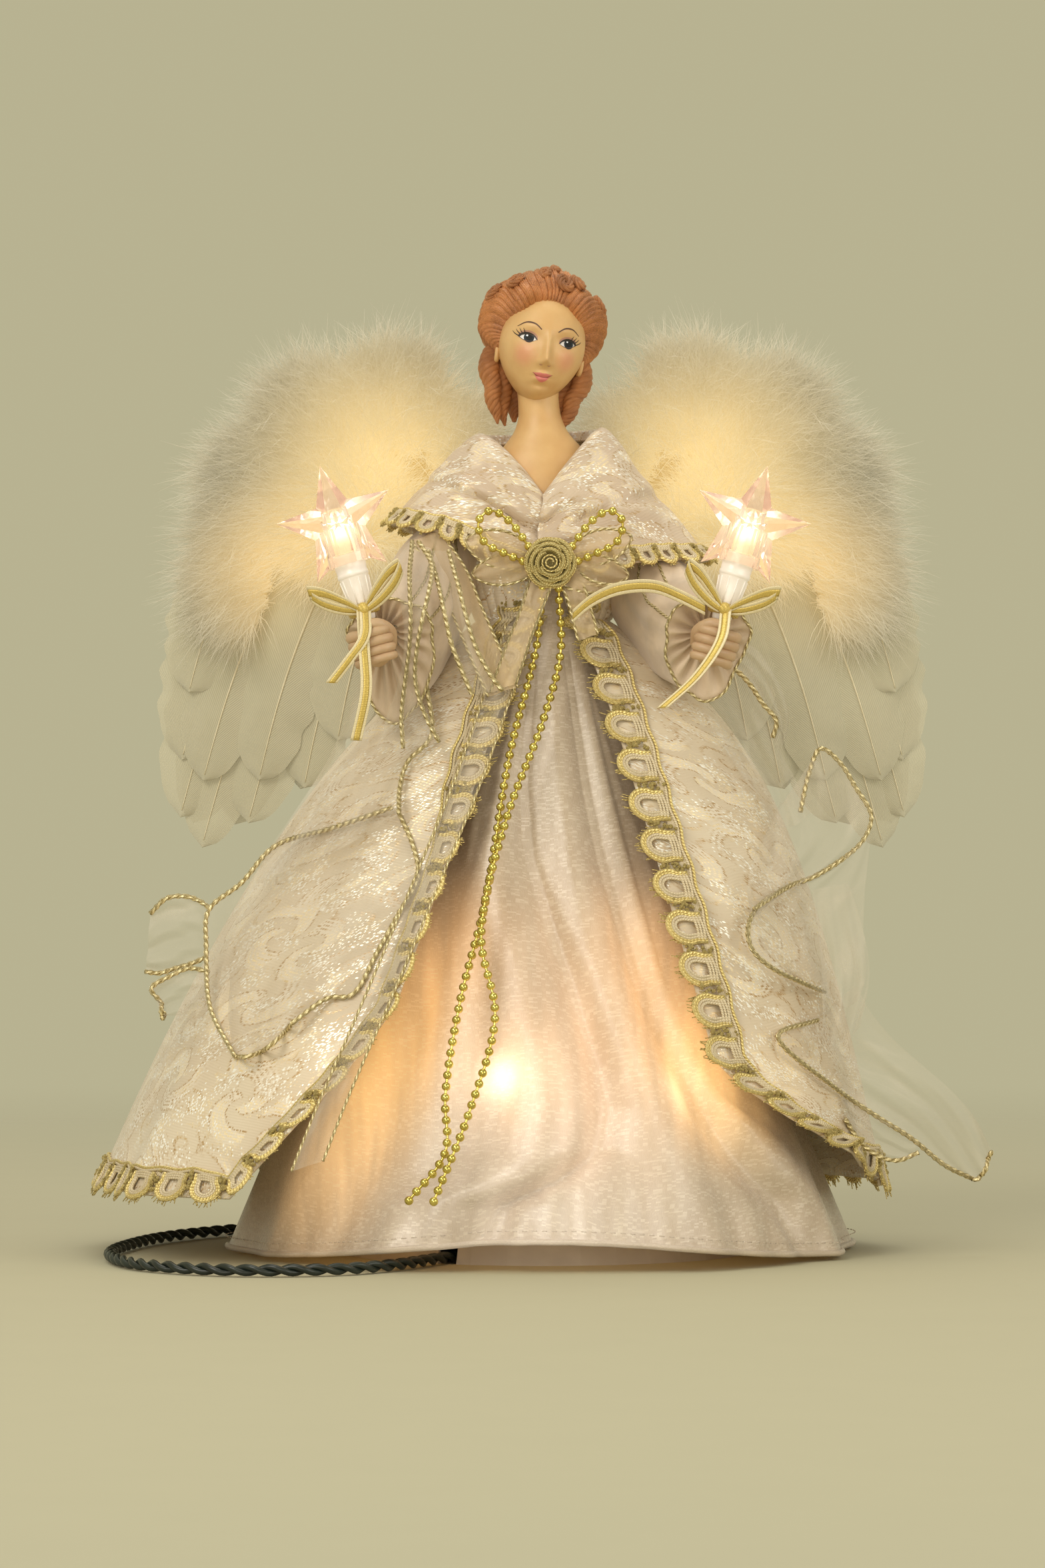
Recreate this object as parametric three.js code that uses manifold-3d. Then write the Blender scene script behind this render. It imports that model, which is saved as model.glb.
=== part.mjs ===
// Angel tree topper: a cone-bodied figure in satin and brocade that holds a star lamp in each hand.
// Millimetres, +Z up. The figure faces -Y, and left and right are as seen from the front.
import * as THREE from "three";
import { mergeVertices } from "three/addons/utils/BufferGeometryUtils.js";
import Module from "manifold-3d";

const wasm = await Module();
wasm.setup();
const { degToRad, lerp, clamp, smoothstep } = THREE.MathUtils;

// Clearances between neighbours
const gap = 0.3;
const clothGap = 0.6;

// Stiff inner cone that drops over the tree's top shoot
const cone = { baseRadius: 62, topRadius: 15, height: 196, wall: 1.2, rimWidth: 4, rimHeight: 2 };

// Satin skirt, gathered at the top of the cone
const skirt = { waistDrop: 8, thickness: 0.8, flare: 27, foldDepth: 5, foldCount: 9 };
const skirtHem = { clear: 1, frontLift: 7 };

// Brocade coat, open at the front, flared far out on the left
const coat = { thickness: 1, rise: 4, hemZ: 20, leftFlare: 45, rightFlare: 38, backFlare: 10 };
const coatFolds = { depth: 3, count: 7 };

// Resin bust
const bust = { plugDepth: 8, chestRadius: 16, shoulderWidth: 24, shoulderDepth: 13, shoulderRise: 14 };
const neck = { radius: 7.2, topRadius: 6.6, lean: 1 };
const head = { width: 13.2, depth: 15, height: 17, rise: 75, forward: 3, rollDegrees: 7 };
const hair = { width: 18.5, depth: 17.5, height: 18, bunHeight: 5.5 };

// Brocade shawl cape: half width, half depth and heights of its rows, from the neck to the edge
const cape = { thickness: 0.9 };
const capeNeck = neck.radius + neck.lean + cape.thickness + gap;
const capeRows = [
  { halfWidth: capeNeck, halfDepth: capeNeck, side: 35, front: 28, back: 38, opening: 44 },
  { halfWidth: 19.5, halfDepth: 15.5, side: 46, front: 30, back: 47, opening: 40 },
  { halfWidth: 33, halfDepth: 20, side: 36, front: 17, back: 30, opening: 10 },
  { halfWidth: 48, halfDepth: 25, side: 17, front: 6, back: 3, opening: 5 },
];
const braid = { width: 8, thickness: 1.4, lift: 1.3 };

// Arms: wire with a ball at the shoulder, bent at the elbow
const arm = { wireRadius: 2.4, ballRadius: 3.2, elbowOut: 15.5, elbowForward: 17, elbowDrop: 22 };
const lamp = { handOut: 24, handForward: 45.5, handDrop: 27.5, tiltDegrees: 17 };
const fist = { halfWidth: 6, halfDepth: 6.5, halfHeight: 7.2, wrist: 11, wristRadius: 3.3 };
const sleeve = { thickness: 0.5, topRadius: 4.4, cuffRadius: 15, droop: 14 };
const drape = { thickness: 0.5, lift: 0.9, foldDepth: 3.5, foldCount: 3 };

// Lamp holders, bulbs and star caps
const holder = { stemRadius: 2.3, stemDepth: 9, footRadius: 2.8, topRadius: 5, length: 20 };
const bulb = { neckRadius: 2.3, bellyRadius: 2.6, length: 11 };
const star = { tipRadius: 18, valleyRadius: 8, halfDepth: 7, rise: 9, collarWall: 1, collarLap: 3 };
const bow = { ribbonWidth: 5, thickness: 0.6, ringWall: 1.5, ringHeight: 3.5 };

// Lamps under the skirt: angles from the front, towards the right
const socket = { radius: 4, tailRadius: 2.6, length: 18, reach: 3, height: 54 };
const skirtLampAngles = [-11, 27, 130, -125];
const wire = { radius: 0.9 };

// Trim on the chest
const rosette = { radius: 7.2, base: 1.6, petal: 3.4, turns: 3, side: 2, height: 8 };
const chestBow = { halfSpan: 27, ribbonWidth: 12, thickness: 0.6, depth: 5 };
const bead = { radius: 1.3, stringRadius: 0.5, pitch: 3.4, sides: 4 };
const tail = { width: 9, thickness: 0.6 };

// Wings on a bent-wire bracket
const wing = { rodRadius: 1.2, rodOut: 8, rodBack: 6, cardThickness: 1.2, sweepDegrees: 12 };
const bracket = { width: 20, bottom: -2, top: 40, plate: 2, ear: 2 };
const quill = { thickness: 1.6, halfWidth: 9, count: 8 };
const fluff = { halfDepth: 6, back: 4 };

// Mains lead
const lead = { radius: 1.8, layer: 4.3, coilRadius: 22, notchDegrees: -27, notchWidth: 6, notchHeight: 5 };
const coilPlace = { x: -8, y: 124 };
const tie = { thickness: 0.6, width: 3 };
const plug = { length: 24, width: 22, height: 13, run: 24 };
const blade = { length: 16, height: 6.3, thickness: 1.5, spacing: 12.7 };

// Basic points and curves
const v3 = (x, y, z) => new THREE.Vector3(x, y, z);
const polar = (angle, radius, z) => v3(radius * Math.sin(angle), -radius * Math.cos(angle), z);
const curveThrough = (points) => new THREE.CatmullRomCurve3(points, false, "centripetal");

// A closed body from a three.js geometry, turned to face out
function solidOf(geometry) {
  const bare = new THREE.BufferGeometry();
  bare.setAttribute("position", geometry.getAttribute("position"));
  if (geometry.index) bare.setIndex(geometry.index);
  const merged = mergeVertices(bare, 1e-4);
  const places = merged.getAttribute("position");
  const corner = (i) => v3().fromBufferAttribute(places, i);
  const kept = [];
  let volume = 0;
  const index = merged.index.array;
  for (let i = 0; i < index.length; i += 3) {
    const [a, b, c] = index.slice(i, i + 3);
    if (a === b || b === c || c === a) continue;
    kept.push(a, b, c);
    volume += corner(a).dot(corner(b).cross(corner(c)));
  }
  if (volume < 0) kept.reverse();
  const mesh = new wasm.Mesh({
    numProp: 3,
    vertProperties: Float32Array.from(places.array),
    triVerts: Uint32Array.from(kept),
  });
  return new wasm.Manifold(mesh);
}

function geometryOf(solid) {
  const mesh = solid.getMesh();
  const geometry = new THREE.BufferGeometry();
  geometry.setAttribute("position", new THREE.Float32BufferAttribute(mesh.vertProperties, 3));
  geometry.setIndex(Array.from(mesh.triVerts));
  geometry.computeVertexNormals();
  return geometry;
}

const join = (solids) => solids.reduce((sum, solid) => sum.add(solid));

// A turned body about +Z from [radius, z] pairs
function turned(profile, segments) {
  const points = profile.map(([radius, z]) => new THREE.Vector2(radius, z));
  return solidOf(new THREE.LatheGeometry(points, segments).rotateX(Math.PI / 2));
}

// A round rod between two points
function rod(start, end, radius, sides, endRadius = radius) {
  const axis = end.clone().sub(start);
  const geometry = new THREE.CylinderGeometry(endRadius, radius, axis.length(), sides);
  const turn = new THREE.Quaternion().setFromUnitVectors(v3(0, 1, 0), axis.clone().normalize());
  geometry.applyQuaternion(turn);
  const middle = start.clone().lerp(end, 0.5);
  geometry.translate(middle.x, middle.y, middle.z);
  return solidOf(geometry);
}

function ellipsoid(centre, halfX, halfY, halfZ, around, rollDegrees = 0) {
  const geometry = new THREE.SphereGeometry(1, around, Math.round(around * 0.6));
  geometry.rotateX(Math.PI / 2);
  geometry.scale(halfX, halfY, halfZ);
  geometry.rotateY(degToRad(rollDegrees));
  geometry.translate(centre.x, centre.y, centre.z);
  return solidOf(geometry);
}

function box(centre, sizeX, sizeY, sizeZ, turnZ = 0) {
  const geometry = new THREE.BoxGeometry(sizeX, sizeY, sizeZ);
  geometry.rotateZ(turnZ);
  geometry.translate(centre.x, centre.y, centre.z);
  return solidOf(geometry);
}

// A tube of even thickness along a curve
function tube(curve, radius, sides, steps) {
  const round = new THREE.Shape();
  for (let i = 0; i < sides; i += 1) {
    const turn = (2 * Math.PI * i) / sides;
    const x = radius * Math.cos(turn);
    const y = radius * Math.sin(turn);
    if (i === 0) round.moveTo(x, y);
    else round.lineTo(x, y);
  }
  round.closePath();
  return solidOf(new THREE.ExtrudeGeometry(round, { steps, bevelEnabled: false, extrudePath: curve }));
}

// A round body along a curve whose radius changes from step to step
function sweep(curve, radiusAt, steps, sides) {
  const frames = curve.computeFrenetFrames(steps, false);
  const places = [];
  const index = [];
  for (let i = 0; i <= steps; i += 1) {
    const middle = curve.getPointAt(i / steps);
    for (let j = 0; j < sides; j += 1) {
      const turn = (2 * Math.PI * j) / sides;
      const out = frames.normals[i].clone().multiplyScalar(Math.cos(turn));
      out.addScaledVector(frames.binormals[i], Math.sin(turn));
      places.push(...middle.clone().addScaledVector(out, radiusAt(i)).toArray());
    }
  }
  for (let i = 0; i < steps; i += 1) {
    for (let j = 0; j < sides; j += 1) {
      const near = i * sides + j;
      const next = i * sides + ((j + 1) % sides);
      index.push(near, next, near + sides, next, next + sides, near + sides);
    }
  }
  const last = steps * sides;
  for (let j = 1; j < sides - 1; j += 1) {
    index.push(0, j + 1, j);
    index.push(last, last + j, last + j + 1);
  }
  const geometry = new THREE.BufferGeometry();
  geometry.setAttribute("position", new THREE.Float32BufferAttribute(places, 3));
  geometry.setIndex(index);
  return solidOf(geometry);
}

// The direction that a sheet faces at (u, v)
function facing(point, u, v) {
  const step = 1e-3;
  const alongU = point(u + step, v).sub(point(u - step, v));
  const alongV = point(u, v + step).sub(point(u, v - step));
  return alongV.cross(alongU).normalize();
}

const lifted = (point, height) => (u, v) => point(u, v).addScaledVector(facing(point, u, v), height);

// A cloth solid: a grid of points, thickened on the side that it faces
function cloth(point, stepsU, stepsV, thickness, closed = false) {
  const columns = closed ? stepsU : stepsU + 1;
  const top = lifted(point, thickness);
  const places = [];
  for (const side of [point, top]) {
    for (let j = 0; j <= stepsV; j += 1) {
      for (let i = 0; i < columns; i += 1) {
        places.push(...side(i / stepsU, j / stepsV).toArray());
      }
    }
  }
  const count = columns * (stepsV + 1);
  const at = (i, j) => j * columns + (i % columns);
  const index = [];
  const quad = (a, b, c, d) => index.push(a, b, c, a, c, d);
  for (let j = 0; j < stepsV; j += 1) {
    for (let i = 0; i < stepsU; i += 1) {
      quad(at(i, j), at(i, j + 1), at(i + 1, j + 1), at(i + 1, j));
      quad(count + at(i, j), count + at(i + 1, j), count + at(i + 1, j + 1), count + at(i, j + 1));
    }
  }
  for (let i = 0; i < stepsU; i += 1) {
    quad(at(i, 0), at(i + 1, 0), count + at(i + 1, 0), count + at(i, 0));
    quad(at(i + 1, stepsV), at(i, stepsV), count + at(i, stepsV), count + at(i + 1, stepsV));
  }
  for (let j = 0; j < stepsV && !closed; j += 1) {
    quad(at(0, j + 1), at(0, j), count + at(0, j), count + at(0, j + 1));
    const end = stepsU;
    quad(at(end, j), at(end, j + 1), count + at(end, j + 1), count + at(end, j));
  }
  const geometry = new THREE.BufferGeometry();
  geometry.setAttribute("position", new THREE.Float32BufferAttribute(places, 3));
  geometry.setIndex(index);
  return solidOf(geometry);
}

// A flat ribbon along a curve, its width lying along one direction
function ribbon(curve, width, thickness, across, steps) {
  const along = across.clone().normalize();
  const point = (u, v) => curve.getPoint(clamp(v, 0, 1)).addScaledVector(along, (u - 0.5) * width);
  return cloth(point, 1, steps, thickness);
}

// A string of beads along a curve
function beads(curve) {
  const count = Math.max(2, Math.round(curve.getLength() / bead.pitch));
  return sweep(curve, (i) => (i % 2 ? bead.radius : bead.stringRadius), 2 * count, bead.sides);
}

// The figure's surfaces, as radii about the middle line
const coneRadius = (z) => lerp(cone.baseRadius, cone.topRadius, z / cone.height);
const waistZ = cone.height - skirt.waistDrop;
const fall = (z) => clamp((waistZ - z) / waistZ, 0, 1);

function skirtFlat(z) {
  return coneRadius(Math.min(z, waistZ)) + gap + skirt.flare * fall(z);
}

function skirtPoint(u, v) {
  const angle = 2 * Math.PI * u;
  const lift = skirtHem.frontLift * Math.max(0, Math.cos(angle)) ** 4;
  const z = lerp(waistZ, skirtHem.clear + lift, v);
  const wave = Math.cos(skirt.foldCount * angle + 1.2 * Math.sin(angle) + 2 * v);
  const fold = skirt.foldDepth * fall(z) * (0.5 + 0.5 * wave);
  return polar(angle, skirtFlat(z) + fold, z);
}

const spread = (t, rate) => 1 - Math.exp(-rate * t);

function coatRadius(angle, z) {
  const t = fall(z);
  const left = coat.leftFlare * spread(t, 3.6) * Math.max(0, -Math.sin(angle)) ** 1.5;
  const rightShape = spread(t, 6) * (1 - 0.85 * t ** 1.4);
  const right = coat.rightFlare * rightShape * Math.max(0, Math.sin(angle)) ** 1.5;
  const back = coat.backFlare * spread(t, 4) * Math.max(0, -Math.cos(angle)) ** 2;
  const fold = coatFolds.depth * t * (0.5 + 0.5 * Math.cos(coatFolds.count * angle + 1));
  const under = skirtFlat(z) + skirt.foldDepth * t + skirt.thickness + clothGap;
  return under + left + right + back + fold;
}

const coatTopZ = cone.height + coat.rise;
const coatSteps = 10;

// The coat's first row of cloth reaches down to the waist, the other rows share the rest
function coatZ(v) {
  const row = v * coatSteps;
  if (row < 1) return lerp(coatTopZ, waistZ, row);
  return lerp(waistZ, coat.hemZ, (row - 1) / (coatSteps - 1));
}

function coatRightEdge(z) {
  const t = fall(z);
  return degToRad(30 + 8 * t + 45 * clamp((t - 0.68) / 0.2, 0, 1) ** 1.5);
}

function coatLeftEdge(z) {
  const t = fall(z);
  return -degToRad(15 + 22 * t ** 0.6 + 14 * clamp((t - 0.6) / 0.3, 0, 1));
}

function coatPoint(u, v) {
  const z = coatZ(v);
  const angle = lerp(coatRightEdge(z), coatLeftEdge(z) + 2 * Math.PI, u);
  return polar(angle, coatRadius(angle, z), z);
}

// A point at least so far outside the coat
function outsideCoat(point, offset) {
  const angle = Math.atan2(point.x, -point.y);
  const least = coatRadius(angle, point.z) + coat.thickness + offset;
  return polar(angle, Math.max(Math.hypot(point.x, point.y), least), point.z);
}

// The point in front of the coat's round surface that is seen at x and z
function inFront(x, z, offset) {
  let angle = 0;
  let radius = 0;
  for (let i = 0; i < 12; i += 1) {
    radius = coatRadius(angle, z) + coat.thickness + offset;
    angle = Math.asin(clamp(x / radius, -1, 1));
  }
  return polar(angle, radius, z);
}

// The cape's rows blended round the shoulders
function capePoint(u, v) {
  const rows = capeRows.map((row) => {
    const open = degToRad(row.opening);
    const angle = lerp(open, 2 * Math.PI - open, u);
    const sine = Math.sin(angle);
    const cosine = Math.cos(angle);
    const radius = 1 / Math.hypot(sine / row.halfWidth, cosine / row.halfDepth);
    const middle = cosine > 0 ? row.front : row.back;
    const height = lerp(middle, row.side, sine * sine);
    return polar(angle, radius, cone.height + height);
  });
  return curveThrough(rows).getPoint(clamp(v, 0, 1));
}

// Materials
const paint = (color, roughness, metalness = 0) =>
  new THREE.MeshStandardMaterial({ color, roughness, metalness });
const finishes = {
  card: () => paint(0xd8cfbd, 0.8),
  resin: () => paint(0xe0a484, 0.45),
  satin: () => paint(0xe8cdb0, 0.4),
  brocade: () => paint(0xcdb795, 0.5),
  organza: () => paint(0xdfcdb0, 0.5),
  gold: () => paint(0xc9a24a, 0.35, 0.8),
  braid: () => paint(0xcbb27c, 0.6, 0.2),
  whitePlastic: () => paint(0xeeeae2, 0.35),
  acrylic: () => paint(0xf6d9c4, 0.1),
  glass: () => paint(0xffe2a0, 0.1),
  feather: () => paint(0xf1eee4, 0.85),
  fluff: () => paint(0xf0e2b4, 0.95),
  steel: () => paint(0xa8a8a4, 0.35, 0.9),
  greenPlastic: () => paint(0x18231b, 0.5),
  brass: () => paint(0xc2a15a, 0.3, 0.9),
};

const group = new THREE.Group();
const rightSide = new THREE.Group();
const leftSide = new THREE.Group();
leftSide.scale.x = -1;
group.add(rightSide, leftSide);

function piece(parent, name, solid, material) {
  const mesh = new THREE.Mesh(geometryOf(solid), material);
  mesh.name = name;
  parent.add(mesh);
  return mesh;
}

// Inner cone, with holes for the skirt lamps and a notch for the lead
const notchAngle = degToRad(lead.notchDegrees);
const lampAngles = skirtLampAngles.map(degToRad);
const coneInner = cone.baseRadius - cone.rimWidth;
let coneSolid = turned([
  [cone.baseRadius, 0],
  [cone.topRadius, cone.height],
  [cone.topRadius - cone.wall, cone.height],
  [coneRadius(cone.rimHeight) - cone.wall, cone.rimHeight],
  [coneInner, cone.rimHeight],
  [coneInner, 0],
  [cone.baseRadius, 0],
], 36);
const lampRadius = coneRadius(socket.height);
for (const angle of lampAngles) {
  const from = polar(angle, lampRadius - 12, socket.height);
  const to = polar(angle, lampRadius + 12, socket.height);
  coneSolid = coneSolid.subtract(rod(from, to, socket.radius + gap, 16));
}
const notchMiddle = polar(notchAngle, coneInner + 2, 0);
coneSolid = coneSolid.subtract(
  box(notchMiddle, lead.notchWidth, 4 * cone.rimWidth, 2 * lead.notchHeight, notchAngle),
);
piece(group, "inner_cone", coneSolid, finishes.card());

// Skirt lamps: a socket pushed through each hole, a bulb on its outer end
const socketSolid = turned([
  [0, -socket.length],
  [socket.tailRadius, -socket.length],
  [socket.radius, -socket.length + 8],
  [socket.radius, 0],
  [0, 0],
], 12);
const bulbSolid = turned([
  [0, gap],
  [bulb.neckRadius, gap],
  [bulb.bellyRadius, bulb.length * 0.3],
  [bulb.bellyRadius * 0.85, bulb.length * 0.7],
  [bulb.bellyRadius * 0.35, bulb.length * 0.95],
  [0, bulb.length],
], 10);
lampAngles.forEach((angle, i) => {
  const seat = new THREE.Group();
  seat.position.copy(polar(angle, lampRadius + socket.reach, socket.height));
  seat.quaternion.setFromUnitVectors(v3(0, 0, 1), polar(angle, 1, 0));
  group.add(seat);
  piece(seat, `skirt_socket_${i + 1}`, socketSolid, finishes.greenPlastic());
  piece(seat, `skirt_bulb_${i + 1}`, bulbSolid, finishes.glass());
});

// Wires inside the cone: a loop past the sockets, and the trunk up the wall
const loopRadius = lampRadius + socket.reach - socket.length - gap - wire.radius;
const loopProfile = [];
for (let i = 0; i <= 6; i += 1) {
  const turn = (2 * Math.PI * i) / 6;
  const out = wire.radius * Math.cos(turn);
  loopProfile.push([loopRadius + out, socket.height + wire.radius * Math.sin(turn)]);
}
piece(group, "lamp_loop_wire", turned(loopProfile, 24), finishes.greenPlastic());
const wallInset = cone.wall + lead.radius + 2 * gap;
const leadZ = lead.radius + 0.2;
const trunkStart = polar(notchAngle, coneInner - lead.radius - 6, leadZ);
const trunkTop = cone.height - bust.plugDepth - 14;
const trunkCurve = curveThrough([
  trunkStart,
  polar(notchAngle, coneInner - lead.radius - 9, leadZ),
  polar(notchAngle, coneInner - lead.radius - 12, leadZ + 4),
  polar(notchAngle, coneRadius(36) - wallInset - 1, 36),
  polar(notchAngle, coneRadius(70) - wallInset, 70),
  polar(notchAngle, coneRadius(110) - wallInset, 110),
  polar(notchAngle, coneRadius(trunkTop) - wallInset, trunkTop),
]);
piece(group, "harness_trunk", tube(trunkCurve, lead.radius, 6, 16), finishes.greenPlastic());

// Resin bust: plug, chest, shoulders, neck, head and painted hair in one casting
const shoulderZ = cone.height + 18;
const headMiddle = v3(-0.5, -head.forward, cone.height + head.rise);
const chest = turned([
  [0, cone.height - bust.plugDepth],
  [cone.topRadius - cone.wall - gap, cone.height - bust.plugDepth],
  [cone.topRadius - cone.wall - gap, cone.height + gap],
  [bust.chestRadius, cone.height + gap],
  [bust.chestRadius, cone.height + 10],
  [bust.chestRadius * 0.5, shoulderZ],
  [0, shoulderZ],
], 16);
const hairMiddle = headMiddle.clone().add(v3(-0.3, 4.5, 5));
const bunMiddle = hairMiddle.clone().add(v3(4, 0.5, hair.height - 3.2));
const lock = (side) => curveThrough([
  headMiddle.clone().add(v3(side * 12, 6, -1)),
  headMiddle.clone().add(v3(side * 14.5, 5, -14)),
  headMiddle.clone().add(v3(side * 10.5, 6, -25)),
]);
const lockRadius = (i) => [2.6, 3.4, 3.4, 2.8, 1.6][i];
const neckTop = headMiddle.clone().add(v3(-neck.lean, 1, -8));
const bustSolid = join([
  chest,
  ellipsoid(v3(0, -0.5, shoulderZ), bust.shoulderWidth, bust.shoulderDepth, bust.shoulderRise, 14),
  rod(v3(-neck.lean, 0, shoulderZ + 6), neckTop, neck.radius, 16, neck.topRadius),
  ellipsoid(headMiddle, head.width, head.depth, head.height, 16, head.rollDegrees),
  ellipsoid(headMiddle.clone().add(v3(1.8, -head.depth, -4)), 1.7, 2.2, 2.8, 8),
  ellipsoid(hairMiddle, hair.width, hair.depth, hair.height, 16, head.rollDegrees),
  ellipsoid(bunMiddle, 11.5, 10, hair.bunHeight, 12),
  sweep(lock(-1), lockRadius, 4, 6),
  sweep(lock(1), lockRadius, 4, 6),
]);
piece(group, "resin_bust", bustSolid, finishes.resin());

// Clothes
piece(group, "satin_skirt", cloth(skirtPoint, 45, 7, skirt.thickness, true), finishes.satin());
piece(group, "brocade_coat", cloth(coatPoint, 32, coatSteps, coat.thickness), finishes.brocade());
piece(group, "brocade_cape", cloth(capePoint, 24, 5, cape.thickness), finishes.brocade());

// Braid along the coat's two front edges and the cape's lower edge
function coatEdgePoint(edge, direction) {
  return (u, v) => {
    const z = coatZ(v);
    const start = edge(z);
    const inward = direction > 0 ? u : 1 - u;
    const width = braid.width / coatRadius(start, z);
    const angle = start + direction * width * (0.12 + inward);
    return polar(angle, coatRadius(angle, z) + coat.thickness + braid.lift, z);
  };
}
const rightBraid = cloth(coatEdgePoint(coatRightEdge, 1), 2, coatSteps, braid.thickness);
const leftBraid = cloth(coatEdgePoint(coatLeftEdge, -1), 2, coatSteps, braid.thickness);
piece(group, "coat_braid_right", rightBraid, finishes.braid());
piece(group, "coat_braid_left", leftBraid, finishes.braid());
const capeEdge = (u, v) => capePoint(lerp(0.01, 0.99, u), lerp(0.82, 0.99, v));
const capeBraidBase = lifted(capeEdge, cape.thickness + clothGap);
piece(group, "cape_braid", cloth(capeBraidBase, 24, 1, braid.thickness), finishes.braid());

// Chest trim: sheer bow, rosette, bead loops and the long ribbon tail
const lastRow = capeRows[capeRows.length - 1];
const chestZ = cone.height + rosette.height;
const capeFront = lastRow.halfDepth + cape.thickness + clothGap + braid.thickness;
const bowBack = -(capeFront - 0.4);
const bowLoop = (side) => curveThrough([
  v3(0, bowBack - 0.7, chestZ),
  v3(side * chestBow.halfSpan * 0.45, bowBack - chestBow.depth * 0.8, chestZ + 1),
  v3(side * chestBow.halfSpan * 0.9, bowBack - chestBow.depth, chestZ + 2),
  v3(side * chestBow.halfSpan, bowBack - chestBow.depth * 0.55, chestZ + 2),
  v3(side * chestBow.halfSpan * 0.85, bowBack - 0.5, chestZ + 2),
  v3(side * chestBow.halfSpan * 0.4, bowBack - 1.2, chestZ + 1),
  v3(0, bowBack - 1.6, chestZ),
]);
const bowStrip = (side) =>
  ribbon(bowLoop(side), chestBow.ribbonWidth, chestBow.thickness, v3(0, 0, 1), 14);
const knotDepth = chestBow.depth * 0.75;
const knotHeight = chestBow.ribbonWidth + 1;
const bowKnot = box(v3(0, bowBack - knotDepth / 2, chestZ), 5, knotDepth, knotHeight);
piece(group, "chest_bow", join([bowKnot, bowStrip(-1), bowStrip(1)]), finishes.organza());

const roseBack = bowBack - knotDepth - gap;
const roseMiddle = v3(rosette.side, roseBack, chestZ);
const petalCurve = (v) => {
  const turn = 2 * Math.PI * rosette.turns * v;
  const radius = lerp(1, rosette.radius - 0.5, v);
  return v3(radius * Math.cos(turn), 0, radius * Math.sin(turn)).add(roseMiddle);
};
const petalPoint = (u, v) => {
  const level = lerp(-rosette.base * 0.5, -rosette.base - rosette.petal * (1.1 - 0.4 * v), u);
  return petalCurve(v).add(v3(0, level, 0));
};
const roseBase = rod(roseMiddle, roseMiddle.clone().add(v3(0, -rosette.base, 0)), rosette.radius, 16);
const rosePetals = cloth(petalPoint, 1, 11 * rosette.turns, 0.7);
piece(group, "chest_rosette", join([roseBase, rosePetals]), finishes.gold());

const roseEdge = rosette.radius + gap + bead.stringRadius;
const beadLoop = (side) => {
  const at = (out, up, forward) => roseMiddle.clone().add(v3(side * out, -forward, up));
  return curveThrough([
    at(roseEdge * 0.8, roseEdge * 0.62, 1),
    at(roseEdge + 4, 12, 5),
    at(roseEdge + 9.5, 15, 7),
    at(roseEdge + 13, 12, 7),
    at(roseEdge + 11.5, 6, 6),
    at(roseEdge + 5, 2.5, 4),
    at(roseEdge + 0.2, 0.6, 1),
  ]);
};
piece(group, "bead_loop_left", beads(beadLoop(-1)), finishes.gold());
piece(group, "bead_loop_right", beads(beadLoop(1)), finishes.gold());

const tailPath = [[-6, 190], [-12, 170], [-22, 140], [-34, 110], [-48, 76], [-60, 48], [-67, 30]];
const tailLift = braid.lift + braid.thickness + 2 * clothGap;
const tailPoint = (u, v) => {
  const step = clamp(v, 0, 1) * (tailPath.length - 1);
  const i = Math.min(Math.floor(step), tailPath.length - 2);
  const x = lerp(tailPath[i][0], tailPath[i + 1][0], step - i);
  const z = lerp(tailPath[i][1], tailPath[i + 1][1], step - i);
  return inFront(x + (u - 0.5) * tail.width, z + (u - 0.5) * 3, tailLift);
};
piece(group, "ribbon_tail", cloth(tailPoint, 2, 14, tail.thickness), finishes.organza());

// Bead strands that hang from under the rosette
const strandTop = (out) => roseMiddle.clone().add(v3(out, -1, -rosette.radius - gap));
const strandCurve = (top, seen, offset) =>
  curveThrough([top, ...seen.map(([x, z]) => inFront(x, z, offset))]);
const strandLift = tailLift + tail.thickness + bead.radius + clothGap;
const leftStrand = strandCurve(
  strandTop(-2.4),
  [[-2, 180], [-10, 147], [-17, 104], [-24, 76], [-28, 50], [-28, 34], [-38, 21]],
  strandLift,
);
const rightStrand = strandCurve(
  strandTop(2.4),
  [[5, 178], [0, 158], [-11, 128], [-18, 95], [-14, 72], [-21, 46], [-31, 21]],
  strandLift + 2.2 * bead.radius + gap,
);
piece(group, "bead_strand_left", beads(leftStrand), finishes.gold());
piece(group, "bead_strand_right", beads(rightStrand), finishes.gold());

// Arms and hands, built on the right and mirrored to the left
const pivot = v3(bust.shoulderWidth + gap + arm.ballRadius, -0.5, shoulderZ);
const elbow = pivot.clone().add(v3(arm.elbowOut, -arm.elbowForward, -arm.elbowDrop));
const lampFoot = pivot.clone().add(v3(lamp.handOut, -lamp.handForward, -lamp.handDrop));
const lampTurn = new THREE.Quaternion().setFromAxisAngle(v3(0, 1, 0), degToRad(lamp.tiltDegrees));
const fistLocal = v3(0, 0, -fist.halfHeight - gap);
const fistMiddle = fistLocal.clone().applyQuaternion(lampTurn).add(lampFoot);
const wristWay = elbow.clone().sub(fistMiddle).normalize();
const armEnd = fistMiddle.clone().addScaledVector(wristWay, fist.wrist + gap);
const armCurve = curveThrough([pivot, pivot.clone().lerp(elbow, 0.5), elbow, armEnd]);
const armSolid = join([
  tube(armCurve, arm.wireRadius, 8, 9),
  ellipsoid(pivot, arm.ballRadius, arm.ballRadius, arm.ballRadius, 8),
]);
const sleeveCurve = curveThrough([
  pivot.clone().add(v3(5, -4, -7)),
  elbow.clone().add(v3(1, 0, -1)),
  fistMiddle.clone().addScaledVector(wristWay, fist.wrist * 0.9),
]);
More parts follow.
